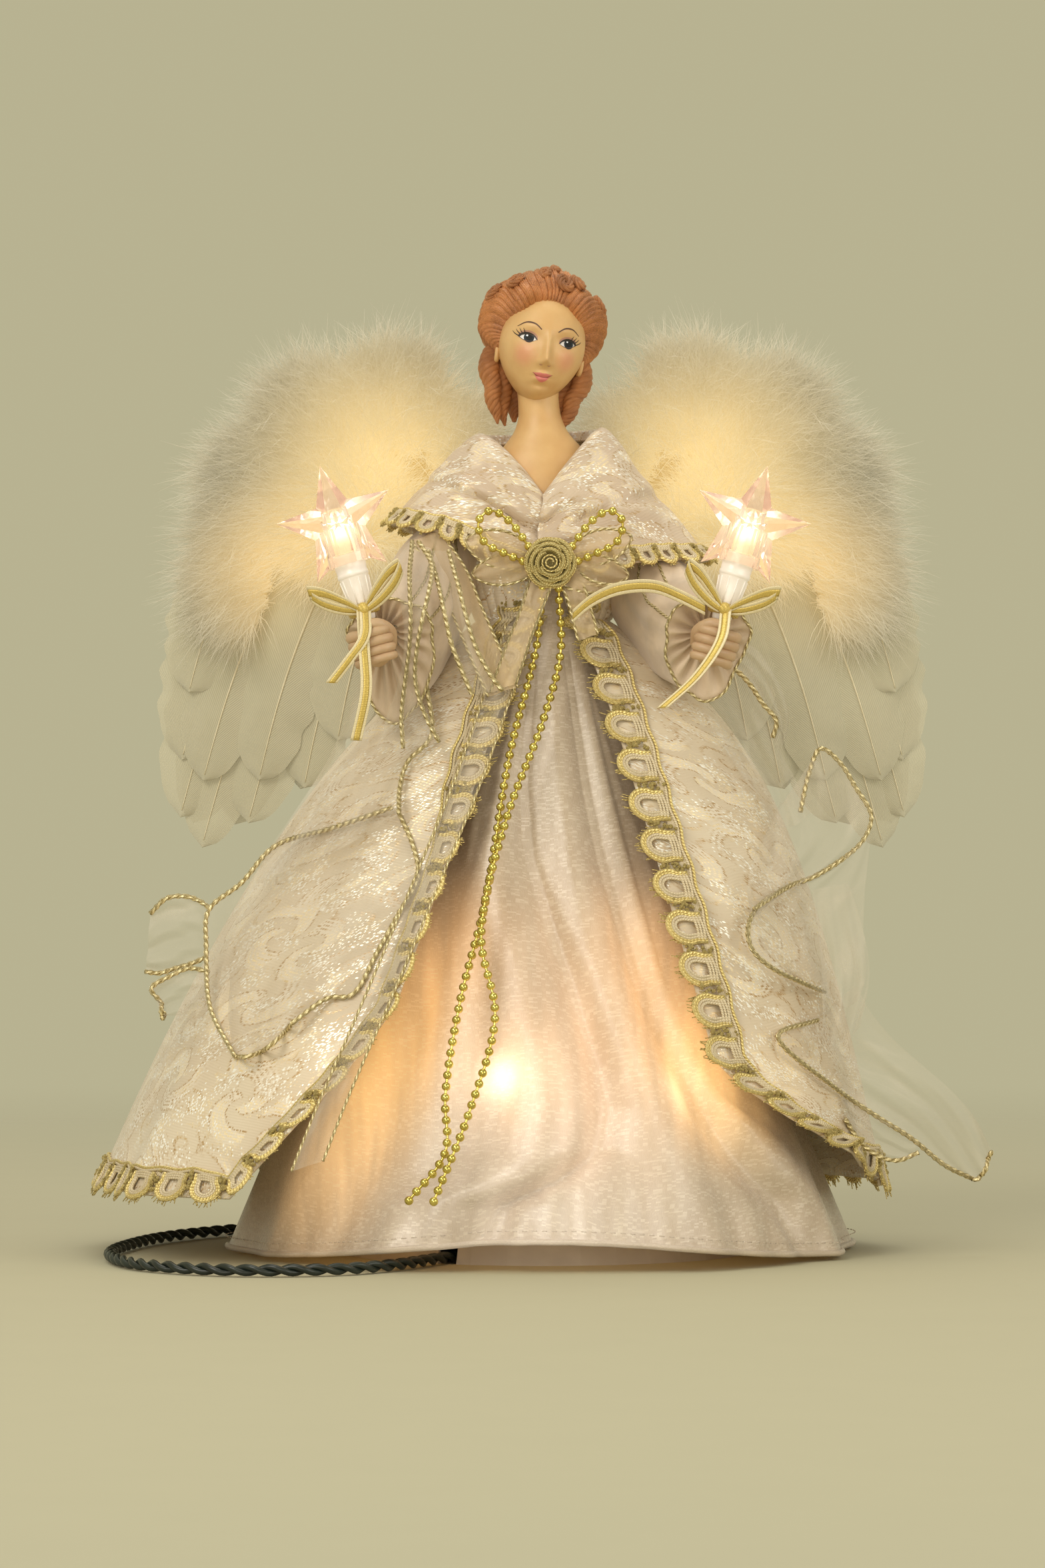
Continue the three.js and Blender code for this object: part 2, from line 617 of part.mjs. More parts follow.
const sleevePoint = (u, v) => {
  const place = clamp(v, 0, 1);
  const way = sleeveCurve.getTangent(place);
  const across = way.clone().cross(v3(0, 0, 1)).normalize();
  const up = across.clone().cross(way);
  const turn = 2 * Math.PI * u;
  const radius = lerp(sleeve.topRadius, sleeve.cuffRadius, place);
  const low = Math.max(0, -Math.cos(turn)) ** 2;
  const point = sleeveCurve.getPoint(place).addScaledVector(across, radius * Math.sin(turn));
  point.addScaledVector(up, radius * Math.cos(turn));
  return point.add(v3(0, 0, -sleeve.droop * low * place * place));
};
const holderSolid = turned([
  [0, -holder.stemDepth],
  [holder.stemRadius, -holder.stemDepth],
  [holder.stemRadius, 0],
  [holder.footRadius, gap],
  [holder.topRadius, holder.length],
  [0, holder.length],
], 16);

function handSolid() {
  const wristLocal = wristWay.clone().applyQuaternion(lampTurn.clone().invert());
  const wristEnd = fistLocal.clone().addScaledVector(wristLocal, fist.wrist);
  const fingers = [0.45, 0.05, -0.35, -0.7].map((level) => {
    const height = fistLocal.z + fist.halfHeight * level;
    const ends = [-4.6, 4.6].map((x) => v3(x, -fist.halfDepth + 1.4, height));
    return rod(ends[0], ends[1], 1.6, 6);
  });
  const palm = ellipsoid(fistLocal, fist.halfWidth, fist.halfDepth, fist.halfHeight, 10);
  const whole = join([palm, rod(fistLocal, wristEnd, fist.wristRadius, 8), ...fingers]);
  const bore = rod(v3(0, 0, -holder.stemDepth - gap), v3(0, 0, 4), holder.stemRadius + gap, 10);
  return whole.subtract(bore);
}

// A five-pointed star with a ridge to each point, a collar and a bore for the bulb
function starSolid() {
  const middle = holder.length + star.rise;
  const places = [0, -star.halfDepth, middle, 0, star.halfDepth, middle];
  const index = [];
  for (let i = 0; i < 10; i += 1) {
    const turn = (Math.PI * i) / 5;
    const radius = i % 2 ? star.valleyRadius : star.tipRadius;
    places.push(radius * Math.sin(turn), 0, middle + radius * Math.cos(turn));
    const near = 2 + i;
    const next = 2 + ((i + 1) % 10);
    index.push(0, near, next, 1, next, near);
  }
  const geometry = new THREE.BufferGeometry();
  geometry.setAttribute("position", new THREE.Float32BufferAttribute(places, 3));
  geometry.setIndex(index);
  const collarRadius = holder.topRadius + gap + star.collarWall;
  const foot = holder.length - star.collarLap;
  const collar = rod(v3(0, 0, foot), v3(0, 0, middle - 1), collarRadius, 16);
  const mouth = rod(v3(0, 0, foot - 1), v3(0, 0, holder.length + gap), holder.topRadius + gap, 16);
  const bore = rod(v3(0, 0, holder.length), v3(0, 0, middle + 4), bulb.bellyRadius + 1.2, 16);
  return join([solidOf(geometry), collar]).subtract(mouth).subtract(bore);
}

// A gold ribbon bow tied round the foot of the holder
function holderBow() {
  const low = 1.5;
  const high = low + bow.ringHeight;
  const inner = lerp(holder.footRadius, holder.topRadius, high / holder.length) + gap;
  const outer = inner + bow.ringWall;
  const middle = (inner + outer) / 2;
  const ring = turned([[inner, low], [outer, low], [outer, high], [inner, high], [inner, low]], 12);
  const across = v3(0, -1, 0.7);
  const loop = (side) => curveThrough([
    v3(side * 1.5, -middle - 1.9, low + 2),
    v3(side * 8, -6, 8),
    v3(side * 14, -7, 13),
    v3(side * 17.5, -6, 13),
    v3(side * 15, -5.5, 8.5),
    v3(side * 9, -5, 4),
    v3(side * 2, -middle - 1.7, low + 1),
  ]);
  const hang = curveThrough([
    v3(0.5, -middle - 0.3, low + 1.6),
    v3(3, -fist.halfDepth - 3, -6),
    v3(9, -fist.halfDepth - 4.5, -20),
    v3(15, -fist.halfDepth - 4, -34),
  ]);
  const strips = [loop(-1), loop(1)].map((path) =>
    ribbon(path, bow.ribbonWidth, bow.thickness, across, 9));
  const tailStrip = ribbon(hang, bow.ribbonWidth, bow.thickness, v3(1, -0.3, 0.35), 6);
  return join([ring, ...strips, tailStrip]);
}

const starBulb = bulbSolid.translate([0, 0, holder.length]);
for (const [side, name] of [[rightSide, "right"], [leftSide, "left"]]) {
  piece(side, `arm_wire_${name}`, armSolid, finishes.steel());
  piece(side, `sleeve_${name}`, cloth(sleevePoint, 12, 5, sleeve.thickness, true), finishes.organza());
  const seat = new THREE.Group();
  seat.position.copy(lampFoot);
  seat.quaternion.copy(lampTurn);
  side.add(seat);
  piece(seat, `hand_${name}`, handSolid(), finishes.resin());
  piece(seat, `lamp_holder_${name}`, holderSolid, finishes.whitePlastic());
  piece(seat, `star_bulb_${name}`, starBulb, finishes.glass());
  piece(seat, `star_cap_${name}`, starSolid(), finishes.acrylic());
  piece(seat, `holder_bow_${name}`, holderBow(), finishes.gold());
}

// Gold ribbon from the right holder to the chest
const tieCurve = curveThrough([
  lampFoot.clone().add(v3(-4.7, 1, 4.2)),
  lampFoot.clone().add(v3(-14, 1, 6)),
  v3(30, bowBack - 14, chestZ - 8),
  v3(roseMiddle.x + rosette.radius + 3, roseBack - 6, chestZ - 12),
]);
const tieStrip = ribbon(tieCurve, bow.ribbonWidth, bow.thickness, v3(0, -0.4, 1), 12);
piece(group, "gold_tie", tieStrip, finishes.gold());

// Sheer drapes that hang from the cuffs and lie on the coat
function drapePoint(inner, outer) {
  const nearEdge = curveThrough(inner);
  const farEdge = curveThrough(outer);
  return (u, v) => {
    const place = clamp(v, 0, 1);
    const point = nearEdge.getPoint(place).lerp(farEdge.getPoint(place), u);
    const wave = 0.5 + 0.5 * Math.cos(2 * Math.PI * drape.foldCount * u + 2 * place);
    const offset = drape.lift + drape.foldDepth * place * wave;
    return outsideCoat(point, offset);
  };
}
const cuffLow = fistMiddle.z - sleeve.cuffRadius - sleeve.droop;
const leftDrape = drapePoint(
  [v3(-58, -20, cuffLow), v3(-84, -20, 138), v3(-106, -16, 106), v3(-114, -24, 76)],
  [v3(-54, -34, cuffLow), v3(-40, -42, 130), v3(-46, -50, 96), v3(-66, -66, 62)],
);
const rightDrape = drapePoint(
  [v3(50, -34, cuffLow), v3(46, -38, 130), v3(52, -46, 94), v3(64, -52, 60)],
  [v3(58, -20, cuffLow), v3(90, -12, 130), v3(102, -8, 84), v3(131, -8, 32)],
);
piece(group, "drape_left", cloth(leftDrape, 12, 7, drape.thickness), finishes.organza());
piece(group, "drape_right", cloth(rightDrape, 12, 7, drape.thickness), finishes.organza());

// Wing bracket: a plate on the cape's back with two upright rods
const backFace = lastRow.halfDepth + cape.thickness + clothGap + braid.thickness + gap;
const rodY = backFace + bracket.plate + wing.rodBack;
const bracketLow = cone.height + bracket.bottom;
const bracketHigh = cone.height + bracket.top;
const plateMiddle = v3(0, backFace + bracket.plate / 2, (bracketLow + bracketHigh) / 2);
const bracketParts = [box(plateMiddle, bracket.width, bracket.plate, bracketHigh - bracketLow)];
for (const side of [-1, 1]) {
  const x = side * wing.rodOut;
  bracketParts.push(rod(v3(x, rodY, bracketLow + 0.5), v3(x, rodY, bracketHigh - 0.5), wing.rodRadius, 12));
  for (const z of [bracketLow + bracket.ear / 2, bracketHigh - bracket.ear / 2]) {
    const earMiddle = v3(x, (backFace + rodY) / 2 + 1, z);
    bracketParts.push(box(earMiddle, 4, rodY - backFace + 2, bracket.ear));
  }
}
piece(group, "wing_bracket", join(bracketParts), finishes.steel());

// Wings: card with a hinge sleeve on the rod, quill fan, fluff in front and a lamp behind
const tubeLow = bracketLow + bracket.ear + gap;
const tubeHigh = bracketHigh - bracket.ear - gap;
const tubeInner = wing.rodRadius + gap;
const tubeOuter = tubeInner + 1.2;
const cardOutline = [
  [1.9, 8], [1.9, 36], [14, 56], [34, 70], [58, 66], [78, 48], [90, 18], [96, -20], [84, -34],
  [62, -22], [36, -6],
];

// A flat plate in the wing's plane from an outline of [x, height above the cone]
function wingPlate(outline, front, thickness, smooth) {
  const points = outline.map(([x, z]) => new THREE.Vector2(x, z + cone.height));
  const shape = new THREE.Shape();
  shape.moveTo(points[0].x, points[0].y);
  if (smooth) shape.splineThru([...points.slice(1), points[0]]);
  else points.slice(1).forEach((p) => shape.lineTo(p.x, p.y));
  const geometry = new THREE.ExtrudeGeometry(shape, {
    depth: thickness,
    bevelEnabled: false,
    curveSegments: smooth ? 10 : 1,
  });
  geometry.rotateX(Math.PI / 2);
  geometry.translate(0, front + thickness, 0);
  return solidOf(geometry);
}

function wingCard() {
  const ring = turned([
    [tubeInner, tubeLow],
    [tubeOuter, tubeLow],
    [tubeOuter, tubeHigh],
    [tubeInner, tubeHigh],
    [tubeInner, tubeLow],
  ], 12);
  return join([ring, wingPlate(cardOutline, -wing.cardThickness / 2, wing.cardThickness, false)]);
}

// Long feathers fanned out from the shoulder of the wing, in two overlapping layers
function quillFan() {
  const feathers = [];
  for (let i = 0; i < quill.count; i += 1) {
    const way = i / (quill.count - 1);
    const rootX = lerp(26, 66, way);
    const rootZ = lerp(26, 46, way);
    const tipX = lerp(50, 107, way ** 0.8);
    const tipZ = lerp(-44, -73, way);
    const length = Math.hypot(tipX - rootX, tipZ - rootZ);
    const along = [(tipX - rootX) / length, (tipZ - rootZ) / length];
    const half = [0.25, 0.8, 1, 0.9, 0.5, 0.08].map((share) => share * quill.halfWidth);
    const stations = [0, 0.2, 0.45, 0.75, 0.93, 1].map((share) => share * length);
    const edge = (sign) => stations.map((s, k) => [
      rootX + along[0] * s - sign * along[1] * half[k],
      rootZ + along[1] * s + sign * along[0] * half[k],
    ]);
    const outline = [...edge(1), ...edge(-1).reverse()];
    const layer = i % 2 ? 0 : quill.thickness * 0.7;
    const front = -wing.cardThickness / 2 - gap - quill.thickness - layer;
    feathers.push(wingPlate(outline, front, quill.thickness, false));
  }
  return join(feathers);
}

// A soft bank of fluff along the top of the wing, flat at the back
function fluffBank() {
  const front = -(wing.cardThickness / 2 + gap + quill.thickness * 1.7 + gap);
  const puffs = [
    [17, 47, 13, 18, 0.6],
    [38, 62, 22, 22, 1],
    [62, 58, 22, 22, 1],
    [80, 38, 19, 24, 1],
    [88, 12, 14, 24, 0.9],
    [52, 28, 26, 24, 1],
  ].map(([x, z, halfX, halfZ, depth]) =>
    ellipsoid(v3(x, front, cone.height + z), halfX, 2 * fluff.halfDepth * depth, halfZ, 10));
  const behind = box(v3(60, front + 50, cone.height + 30), 300, 100, 300);
  return join(puffs).subtract(behind);
}

const lampSeat = v3(45, wing.cardThickness / 2 + gap + socket.radius, cone.height + 44);
for (const [side, name] of [[rightSide, "right"], [leftSide, "left"]]) {
  const hinge = new THREE.Group();
  hinge.position.set(wing.rodOut, rodY, 0);
  hinge.rotation.z = degToRad(wing.sweepDegrees);
  side.add(hinge);
  piece(hinge, `wing_card_${name}`, wingCard(), finishes.card());
  piece(hinge, `wing_quills_${name}`, quillFan(), finishes.feather());
  piece(hinge, `wing_fluff_${name}`, fluffBank(), finishes.fluff());
  const seat = new THREE.Group();
  seat.position.copy(lampSeat);
  hinge.add(seat);
  piece(seat, `wing_socket_${name}`, socketSolid, finishes.whitePlastic());
  piece(seat, `wing_bulb_${name}`, bulbSolid, finishes.glass());
}

// Mains lead: from the notch round the left of the hem to a coil behind the figure
const coilZ = lead.radius + tie.thickness + 2 * gap;
const coilStart = v3(coilPlace.x, coilPlace.y - lead.coilRadius, coilZ);
const leadCurve = curveThrough([
  polar(notchAngle, coneInner - lead.radius - 6 + gap, leadZ),
  polar(notchAngle, coneInner + 12, leadZ),
  v3(-43, -84, leadZ),
  v3(-60, -100, leadZ),
  v3(-88, -102, leadZ),
  v3(-114, -82, leadZ),
  v3(-126, -46, leadZ),
  v3(-124, -6, leadZ),
  v3(-112, 36, leadZ),
  v3(-84, 74, leadZ),
  v3(-46, 98, leadZ),
  v3(coilStart.x - 14, coilStart.y, coilZ),
  v3(coilStart.x - gap, coilStart.y, coilZ),
]);
piece(group, "mains_lead", tube(leadCurve, lead.radius, 8, 52), finishes.greenPlastic());

// One turn in, half a turn up, one turn out, then a straight run to the plug
function coilPoints() {
  const points = [];
  const turns = 2.5;
  const perTurn = 20;
  for (let i = 0; i <= turns * perTurn; i += 1) {
    const turn = i / perTurn;
    const fromReverse = Math.abs(turn - turns / 2);
    const radius = lead.coilRadius - lead.layer * (turns / 2 - fromReverse);
    const inner = Math.max(0, 0.25 - fromReverse);
    const height = coilZ + lead.layer * smoothstep(turn, 1, 1.5);
    const angle = 2 * Math.PI * turn;
    points.push(polar(angle, radius + inner, height).add(v3(coilPlace.x, coilPlace.y, 0)));
  }
  const end = points[points.length - 1];
  for (let i = 1; i <= 3; i += 1) {
    points.push(v3(end.x - (plug.run * i) / 3, end.y, end.z));
  }
  return points;
}

// The least clear space between two turns of the coil
function leastSelfGap(points) {
  let least = Infinity;
  for (let i = 0; i < points.length; i += 1) {
    for (let j = i + 5; j < points.length; j += 1) {
      least = Math.min(least, points[i].distanceTo(points[j]) - 2 * lead.radius);
    }
  }
  return least;
}
const coilPath = coilPoints();
console.log("least gap between coil turns, mm:", leastSelfGap(coilPath).toFixed(2));
const coilCurve = new THREE.CatmullRomCurve3(coilPath, false, "centripetal");
piece(group, "lead_coil", tube(coilCurve, lead.radius, 6, coilPath.length - 1), finishes.greenPlastic());

// Tie round the coil's bundle on its right side
const bundleIn = lead.coilRadius - 1.3 * lead.layer - lead.radius - gap;
const bundleOut = lead.coilRadius + lead.radius + gap;
const bundleTop = coilZ + lead.layer + lead.radius + gap;
const bundleLow = coilZ - lead.radius - gap;
function frameShape(grow) {
  const shape = new THREE.Shape();
  shape.moveTo(bundleIn - grow, bundleLow - grow);
  shape.lineTo(bundleOut + grow, bundleLow - grow);
  shape.lineTo(bundleOut + grow, bundleTop + grow);
  shape.lineTo(bundleIn - grow, bundleTop + grow);
  shape.closePath();
  return shape;
}
const tieShape = frameShape(tie.thickness);
tieShape.holes.push(frameShape(0));
const tieGeometry = new THREE.ExtrudeGeometry(tieShape, { depth: tie.width, bevelEnabled: false });
tieGeometry.rotateX(Math.PI / 2);
tieGeometry.translate(coilPlace.x, coilPlace.y + tie.width / 2, 0);
piece(group, "lead_tie", solidOf(tieGeometry), finishes.greenPlastic());

// Plug on the floor beside the coil, its blades pointing away
const plugEnd = coilPath[coilPath.length - 1];
const plugZ = plug.height / 2;
const plugBack = plugEnd.x - gap;
const plugBody = box(v3(plugBack - plug.length / 2, plugEnd.y, plugZ), plug.length, plug.width, plug.height);
piece(group, "lead_plug", plugBody, finishes.greenPlastic());
[-1, 1].forEach((side, i) => {
  const x = plugBack - plug.length - gap - blade.length / 2;
  const middle = v3(x, plugEnd.y + (side * blade.spacing) / 2, plugZ);
  const solid = box(middle, blade.length, blade.thickness, blade.height);
  piece(group, `plug_blade_${i + 1}`, solid, finishes.brass());
});

export default group;
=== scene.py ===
"""Looks of an angel tree topper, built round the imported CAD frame.

Lengths are written in millimetres and become metres when a mesh is made. The frame is the part's own:
origin in the middle of the cone's base, +Z up, front at -Y.
"""

import logging
import math
from collections.abc import Callable, Iterable, Sequence
from dataclasses import dataclass, field
from enum import Enum, IntEnum

import bpy
import numpy as np
from mathutils import Matrix, Vector
from mathutils.bvhtree import BVHTree


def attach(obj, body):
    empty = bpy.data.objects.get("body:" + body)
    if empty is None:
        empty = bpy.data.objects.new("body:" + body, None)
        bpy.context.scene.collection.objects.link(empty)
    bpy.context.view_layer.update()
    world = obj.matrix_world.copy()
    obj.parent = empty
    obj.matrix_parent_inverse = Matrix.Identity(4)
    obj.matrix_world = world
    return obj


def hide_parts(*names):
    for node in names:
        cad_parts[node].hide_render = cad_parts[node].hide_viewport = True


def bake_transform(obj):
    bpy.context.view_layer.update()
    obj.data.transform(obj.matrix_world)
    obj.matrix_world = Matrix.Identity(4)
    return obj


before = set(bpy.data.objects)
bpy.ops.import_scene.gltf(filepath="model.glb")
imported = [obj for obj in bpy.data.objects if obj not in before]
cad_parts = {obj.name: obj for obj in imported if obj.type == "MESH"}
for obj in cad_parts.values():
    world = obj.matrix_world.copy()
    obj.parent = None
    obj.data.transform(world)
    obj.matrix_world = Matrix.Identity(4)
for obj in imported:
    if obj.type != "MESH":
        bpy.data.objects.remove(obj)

MM = 0.001
TAU = 2 * math.pi
LOG = logging.getLogger("topper")
Colour = tuple[float, float, float]
Place = tuple[float, float, float]


class Side(Enum):
    """The two sides of the figure, as seen from the front."""

    LEFT = -1
    RIGHT = 1

    @property
    def word(self) -> str:
        """The side's name in the part's own node names."""
        return self.name.lower()


class Signal:
    """A shader socket that takes part in Python arithmetic."""

    def __init__(self, shader: "Shader", node: bpy.types.Node, output: int | str = 0) -> None:
        """Keep one output of a node.

        Args:
            shader: The shader that holds the node.
            node: The node.
            output: Index or name of the output.
        """
        self.shader = shader
        self.node = node
        self.socket = node.outputs[output] if node.outputs else None

    def out(self, output: int | str) -> "Signal":
        """Another output of the same node."""
        return Signal(self.shader, self.node, output)

    def math(self, operation: str, *values: "Signal | float") -> "Signal":
        """A Math node on these values.

        Args:
            operation: Blender's name of the operation.
            values: The operands in order.

        Returns:
            The result.
        """
        return self.shader.node("Math", {"operation": operation}, dict(enumerate(values)))

    def __add__(self, other: "Signal | float") -> "Signal":
        """Sum."""
        return self.math("ADD", self, other)

    __radd__ = __add__

    def __sub__(self, other: "Signal | float") -> "Signal":
        """Difference."""
        return self.math("SUBTRACT", self, other)

    def __rsub__(self, other: "Signal | float") -> "Signal":
        """Reflected difference."""
        return self.math("SUBTRACT", other, self)

    def __mul__(self, other: "Signal | float") -> "Signal":
        """Product."""
        return self.math("MULTIPLY", self, other)

    __rmul__ = __mul__

    def __truediv__(self, other: "Signal | float") -> "Signal":
        """Quotient."""
        return self.math("DIVIDE", self, other)

    def __rtruediv__(self, other: "Signal | float") -> "Signal":
        """Reflected quotient."""
        return self.math("DIVIDE", other, self)

    def __pow__(self, other: "Signal | float") -> "Signal":
        """Power."""
        return self.math("POWER", self, other)

    def __abs__(self) -> "Signal":
        """Distance from zero."""
        return self.math("ABSOLUTE", self)

    def fract(self) -> "Signal":
        """The part after the whole number."""
        return self.math("FRACT", self)

    def sine(self) -> "Signal":
        """Sine of the value in radians."""
        return self.math("SINE", self)

    def most(self, other: "Signal | float") -> "Signal":
        """The larger of two values."""
        return self.math("MAXIMUM", self, other)

    def smooth(self, low: float, high: float) -> "Signal":
        """A soft step from 0 at low to 1 at high.

        Args:
            low: Value at which the step starts.
            high: Value at which it ends; below low it falls instead.

        Returns:
            The step, from 0 to 1.
        """
        settings = {"interpolation_type": "SMOOTHSTEP"}
        if low < high:
            return self.shader.node("MapRange", settings, {0: self, 1: low, 2: high})
        return 1 - self.shader.node("MapRange", settings, {0: self, 1: high, 2: low})


@dataclass(frozen=True)
class Glow:
    """A warm light behind or inside a surface."""

    middle: Place
    reach: float
    colour: Colour
    strength: float
    fade: float = 2.0


class Shader:
    """A material in the making."""

    def __init__(self, name: str, owner: bpy.types.World | None = None) -> None:
        """Start an empty node tree.

        Args:
            name: The material's name.
            owner: A world to hold the nodes in place of a new material.
        """
        self.material = owner or bpy.data.materials.new(name)
        self.material.use_nodes = True
        self.tree = self.material.node_tree
        self.tree.nodes.clear()

    def node(
        self,
        kind: str,
        settings: dict[str, object] | None = None,
        inputs: dict[int | str, object] | None = None,
        output: int | str = 0,
    ) -> Signal:
        """Make any node.

        Args:
            kind: The node's type without its ShaderNode prefix.
            settings: Properties to set first; "stops" gives a ramp's places and colours.
            inputs: Values or signals for its sockets.
            output: The output to return.

        Returns:
            The chosen output.
        """
        made = self.tree.nodes.new("ShaderNode" + kind)
        for key, value in (settings or {}).items():
            if key == "stops":
                self._ramp(made, value)
            else:
                setattr(made, key, value)
        for key, value in (inputs or {}).items():
            socket = made.inputs[key]
            if isinstance(value, Signal):
                self.tree.links.new(value.socket, socket)
            elif socket.type == "RGBA" and len(value) == 3:
                socket.default_value = (*value, 1.0)
            else:
                socket.default_value = value
        return Signal(self, made, output)

    @staticmethod
    def _ramp(made: bpy.types.Node, stops: Sequence[tuple[float, Colour]]) -> None:
        """Set a colour ramp's stops.

        Args:
            made: The ramp node.
            stops: Place and colour of each stop.
        """
        elements = made.color_ramp.elements
        while len(elements) < len(stops):
            elements.new(1.0)
        for element, (place, colour) in zip(elements, stops):
            element.position = place
            element.color = (*colour, 1.0)

    def coords(self, kind: str) -> Signal:
        """Texture coordinates of a kind, Object or UV."""
        return self.node("TexCoord", output=kind)

    def scaled(self, vector: Signal, factor: float | Place) -> Signal:
        """A vector times a number or times three numbers."""
        if isinstance(factor, tuple):
            return self.node("VectorMath", {"operation": "MULTIPLY"}, {0: vector, 1: factor})
        return self.node("VectorMath", {"operation": "SCALE"}, {0: vector, "Scale": factor})

    def noise(self, vector: Signal, scale: float, detail: float = 3.0, rough: float = 0.5) -> Signal:
        """Soft noise from 0 to 1.

        Args:
            vector: Where to look it up.
            scale: How fine it is.
            detail: How many layers it has.
            rough: How strong its fine layers are.

        Returns:
            The noise value.
        """
        values = {"Vector": vector, "Scale": scale, "Detail": detail, "Roughness": rough}
        return self.node("TexNoise", None, values)

    def mix(self, share: Signal | float, first: Signal | Colour, second: Signal | Colour) -> Signal:
        """A blend of two colours.

        Args:
            share: 0 for the first colour, 1 for the second.
            first: The first colour.
            second: The second colour.

        Returns:
            The blended colour.
        """
        return self.node("Mix", {"data_type": "RGBA"}, {0: share, 6: first, 7: second}, 2)

    def glows(self, glows: Sequence[Glow]) -> Signal | Colour:
        """Emission colour that falls off round each light.

        Args:
            glows: The lights.

        Returns:
            The summed colour, or black where there are none.
        """
        total: Signal | Colour = (0.0, 0.0, 0.0)
        coords = self.coords("Object")
        for glow in glows:
            middle = tuple(MM * c for c in glow.middle)
            settings = {"operation": "DISTANCE"}
            away = self.node("VectorMath", settings, {0: coords, 1: middle}, "Value")
            share = away.smooth(MM * glow.reach, 0.0) ** glow.fade * glow.strength
            settings = {"data_type": "RGBA", "blend_type": "ADD", "clamp_factor": False}
            total = self.node("Mix", settings, {0: share, 6: total, 7: glow.colour}, 2)
        return total

    def bump(self, height: Signal, distance: float, strength: float = 0.6) -> Signal:
        """A bumped normal.

        Args:
            height: The height field.
            distance: Its depth in millimetres.
            strength: How much of it shows.

        Returns:
            The normal.
        """
        values = {"Height": height, "Distance": MM * distance, "Strength": strength}
        return self.node("Bump", None, values)

    def surface(self, inputs: dict[int | str, object]) -> bpy.types.Material:
        """Close the material with a Principled surface.

        Args:
            inputs: Values or signals for its sockets.

        Returns:
            The finished material.
        """
        body = self.node("BsdfPrincipled", None, inputs)
        self.node("OutputMaterial", None, {"Surface": body})
        return self.material


@dataclass(frozen=True)
class Paint:
    """A plain painted, moulded or dyed surface with a faint unevenness."""

    name: str
    colour: Colour
    shade: Colour
    roughness: float = 0.5
    metallic: float = 0.0
    grain: float = 900.0
    depth: float = 0.04
    coat: float = 0.0
    glows: tuple[Glow, ...] = ()

    def make(self) -> bpy.types.Material:
        """Build the material."""
        shader = Shader(self.name)
        coords = shader.coords("Object")
        cloud = shader.noise(coords, self.grain * 0.25)
        grain = shader.noise(coords, self.grain, 2.0)
        return shader.surface({
            "Base Color": shader.mix(cloud.smooth(0.35, 0.7), self.shade, self.colour),
            "Roughness": self.roughness + (grain - 0.5) * 0.12,
            "Metallic": self.metallic,
            "Coat Weight": self.coat,
            "Normal": shader.bump(grain, self.depth),
            "Emission Color": shader.glows(self.glows),
            "Emission Strength": 1.0 if self.glows else 0.0,
        })


@dataclass(frozen=True)
class Skin:
    """Painted resin skin with blushed cheeks."""

    name: str = "painted_skin"
    colour: Colour = (0.71, 0.455, 0.185)
    shade: Colour = (0.65, 0.39, 0.15)
    blush: Colour = (0.72, 0.29, 0.17)
    cheeks: tuple[Place, ...] = ()

    def make(self) -> bpy.types.Material:
        """Build the material."""
        shader = Shader(self.name)
        coords = shader.coords("Object")
        cloud = shader.noise(coords, 140.0)
        colour = shader.mix(cloud.smooth(0.3, 0.75), self.shade, self.colour)
        for cheek in self.cheeks:
            middle = tuple(MM * c for c in cheek)
            away = shader.node("VectorMath", {"operation": "DISTANCE"}, {0: coords, 1: middle}, "Value")
            colour = shader.mix(away.smooth(5.5 * MM, 0.8 * MM) * 0.55, colour, self.blush)
        return shader.surface({
            "Base Color": colour,
            "Roughness": 0.42 + (cloud - 0.5) * 0.1,
            "Subsurface Weight": 0.12,
            "Subsurface Radius": (0.002, 0.0008, 0.0004),
            "Normal": shader.bump(shader.noise(coords, 1500.0), 0.03),
        })


@dataclass(frozen=True)
class Hair:
    """Carved and painted copper hair, darker in its grooves and lighter on its ridges, where the lighter
    colour is a painted highlight.
    """

    name: str = "painted_hair"
    light: Colour = (0.68, 0.275, 0.085)
    dark: Colour = (0.25, 0.085, 0.024)

    def make(self) -> bpy.types.Material:
        """Build the material."""
        shader = Shader(self.name)
        marks = shader.coords("UV")
        fine = shader.noise(shader.scaled(marks, (420.0, 22.0, 1.0)), 1.0, 3.0)
        broad = shader.noise(shader.coords("Object"), 160.0, 2.0)
        # The darker colour follows the low parts of the bumped streaks; the lighter colour on their high
        # parts is a painted highlight.
        share = (fine * 0.7 + broad * 0.5).smooth(0.32, 0.82)
        return shader.surface({
            "Base Color": shader.mix(share, self.dark, self.light),
            "Roughness": 0.5 - share * 0.12,
            "Coat Weight": 0.08,
            "Normal": shader.bump(fine, 0.25, 0.8),
        })


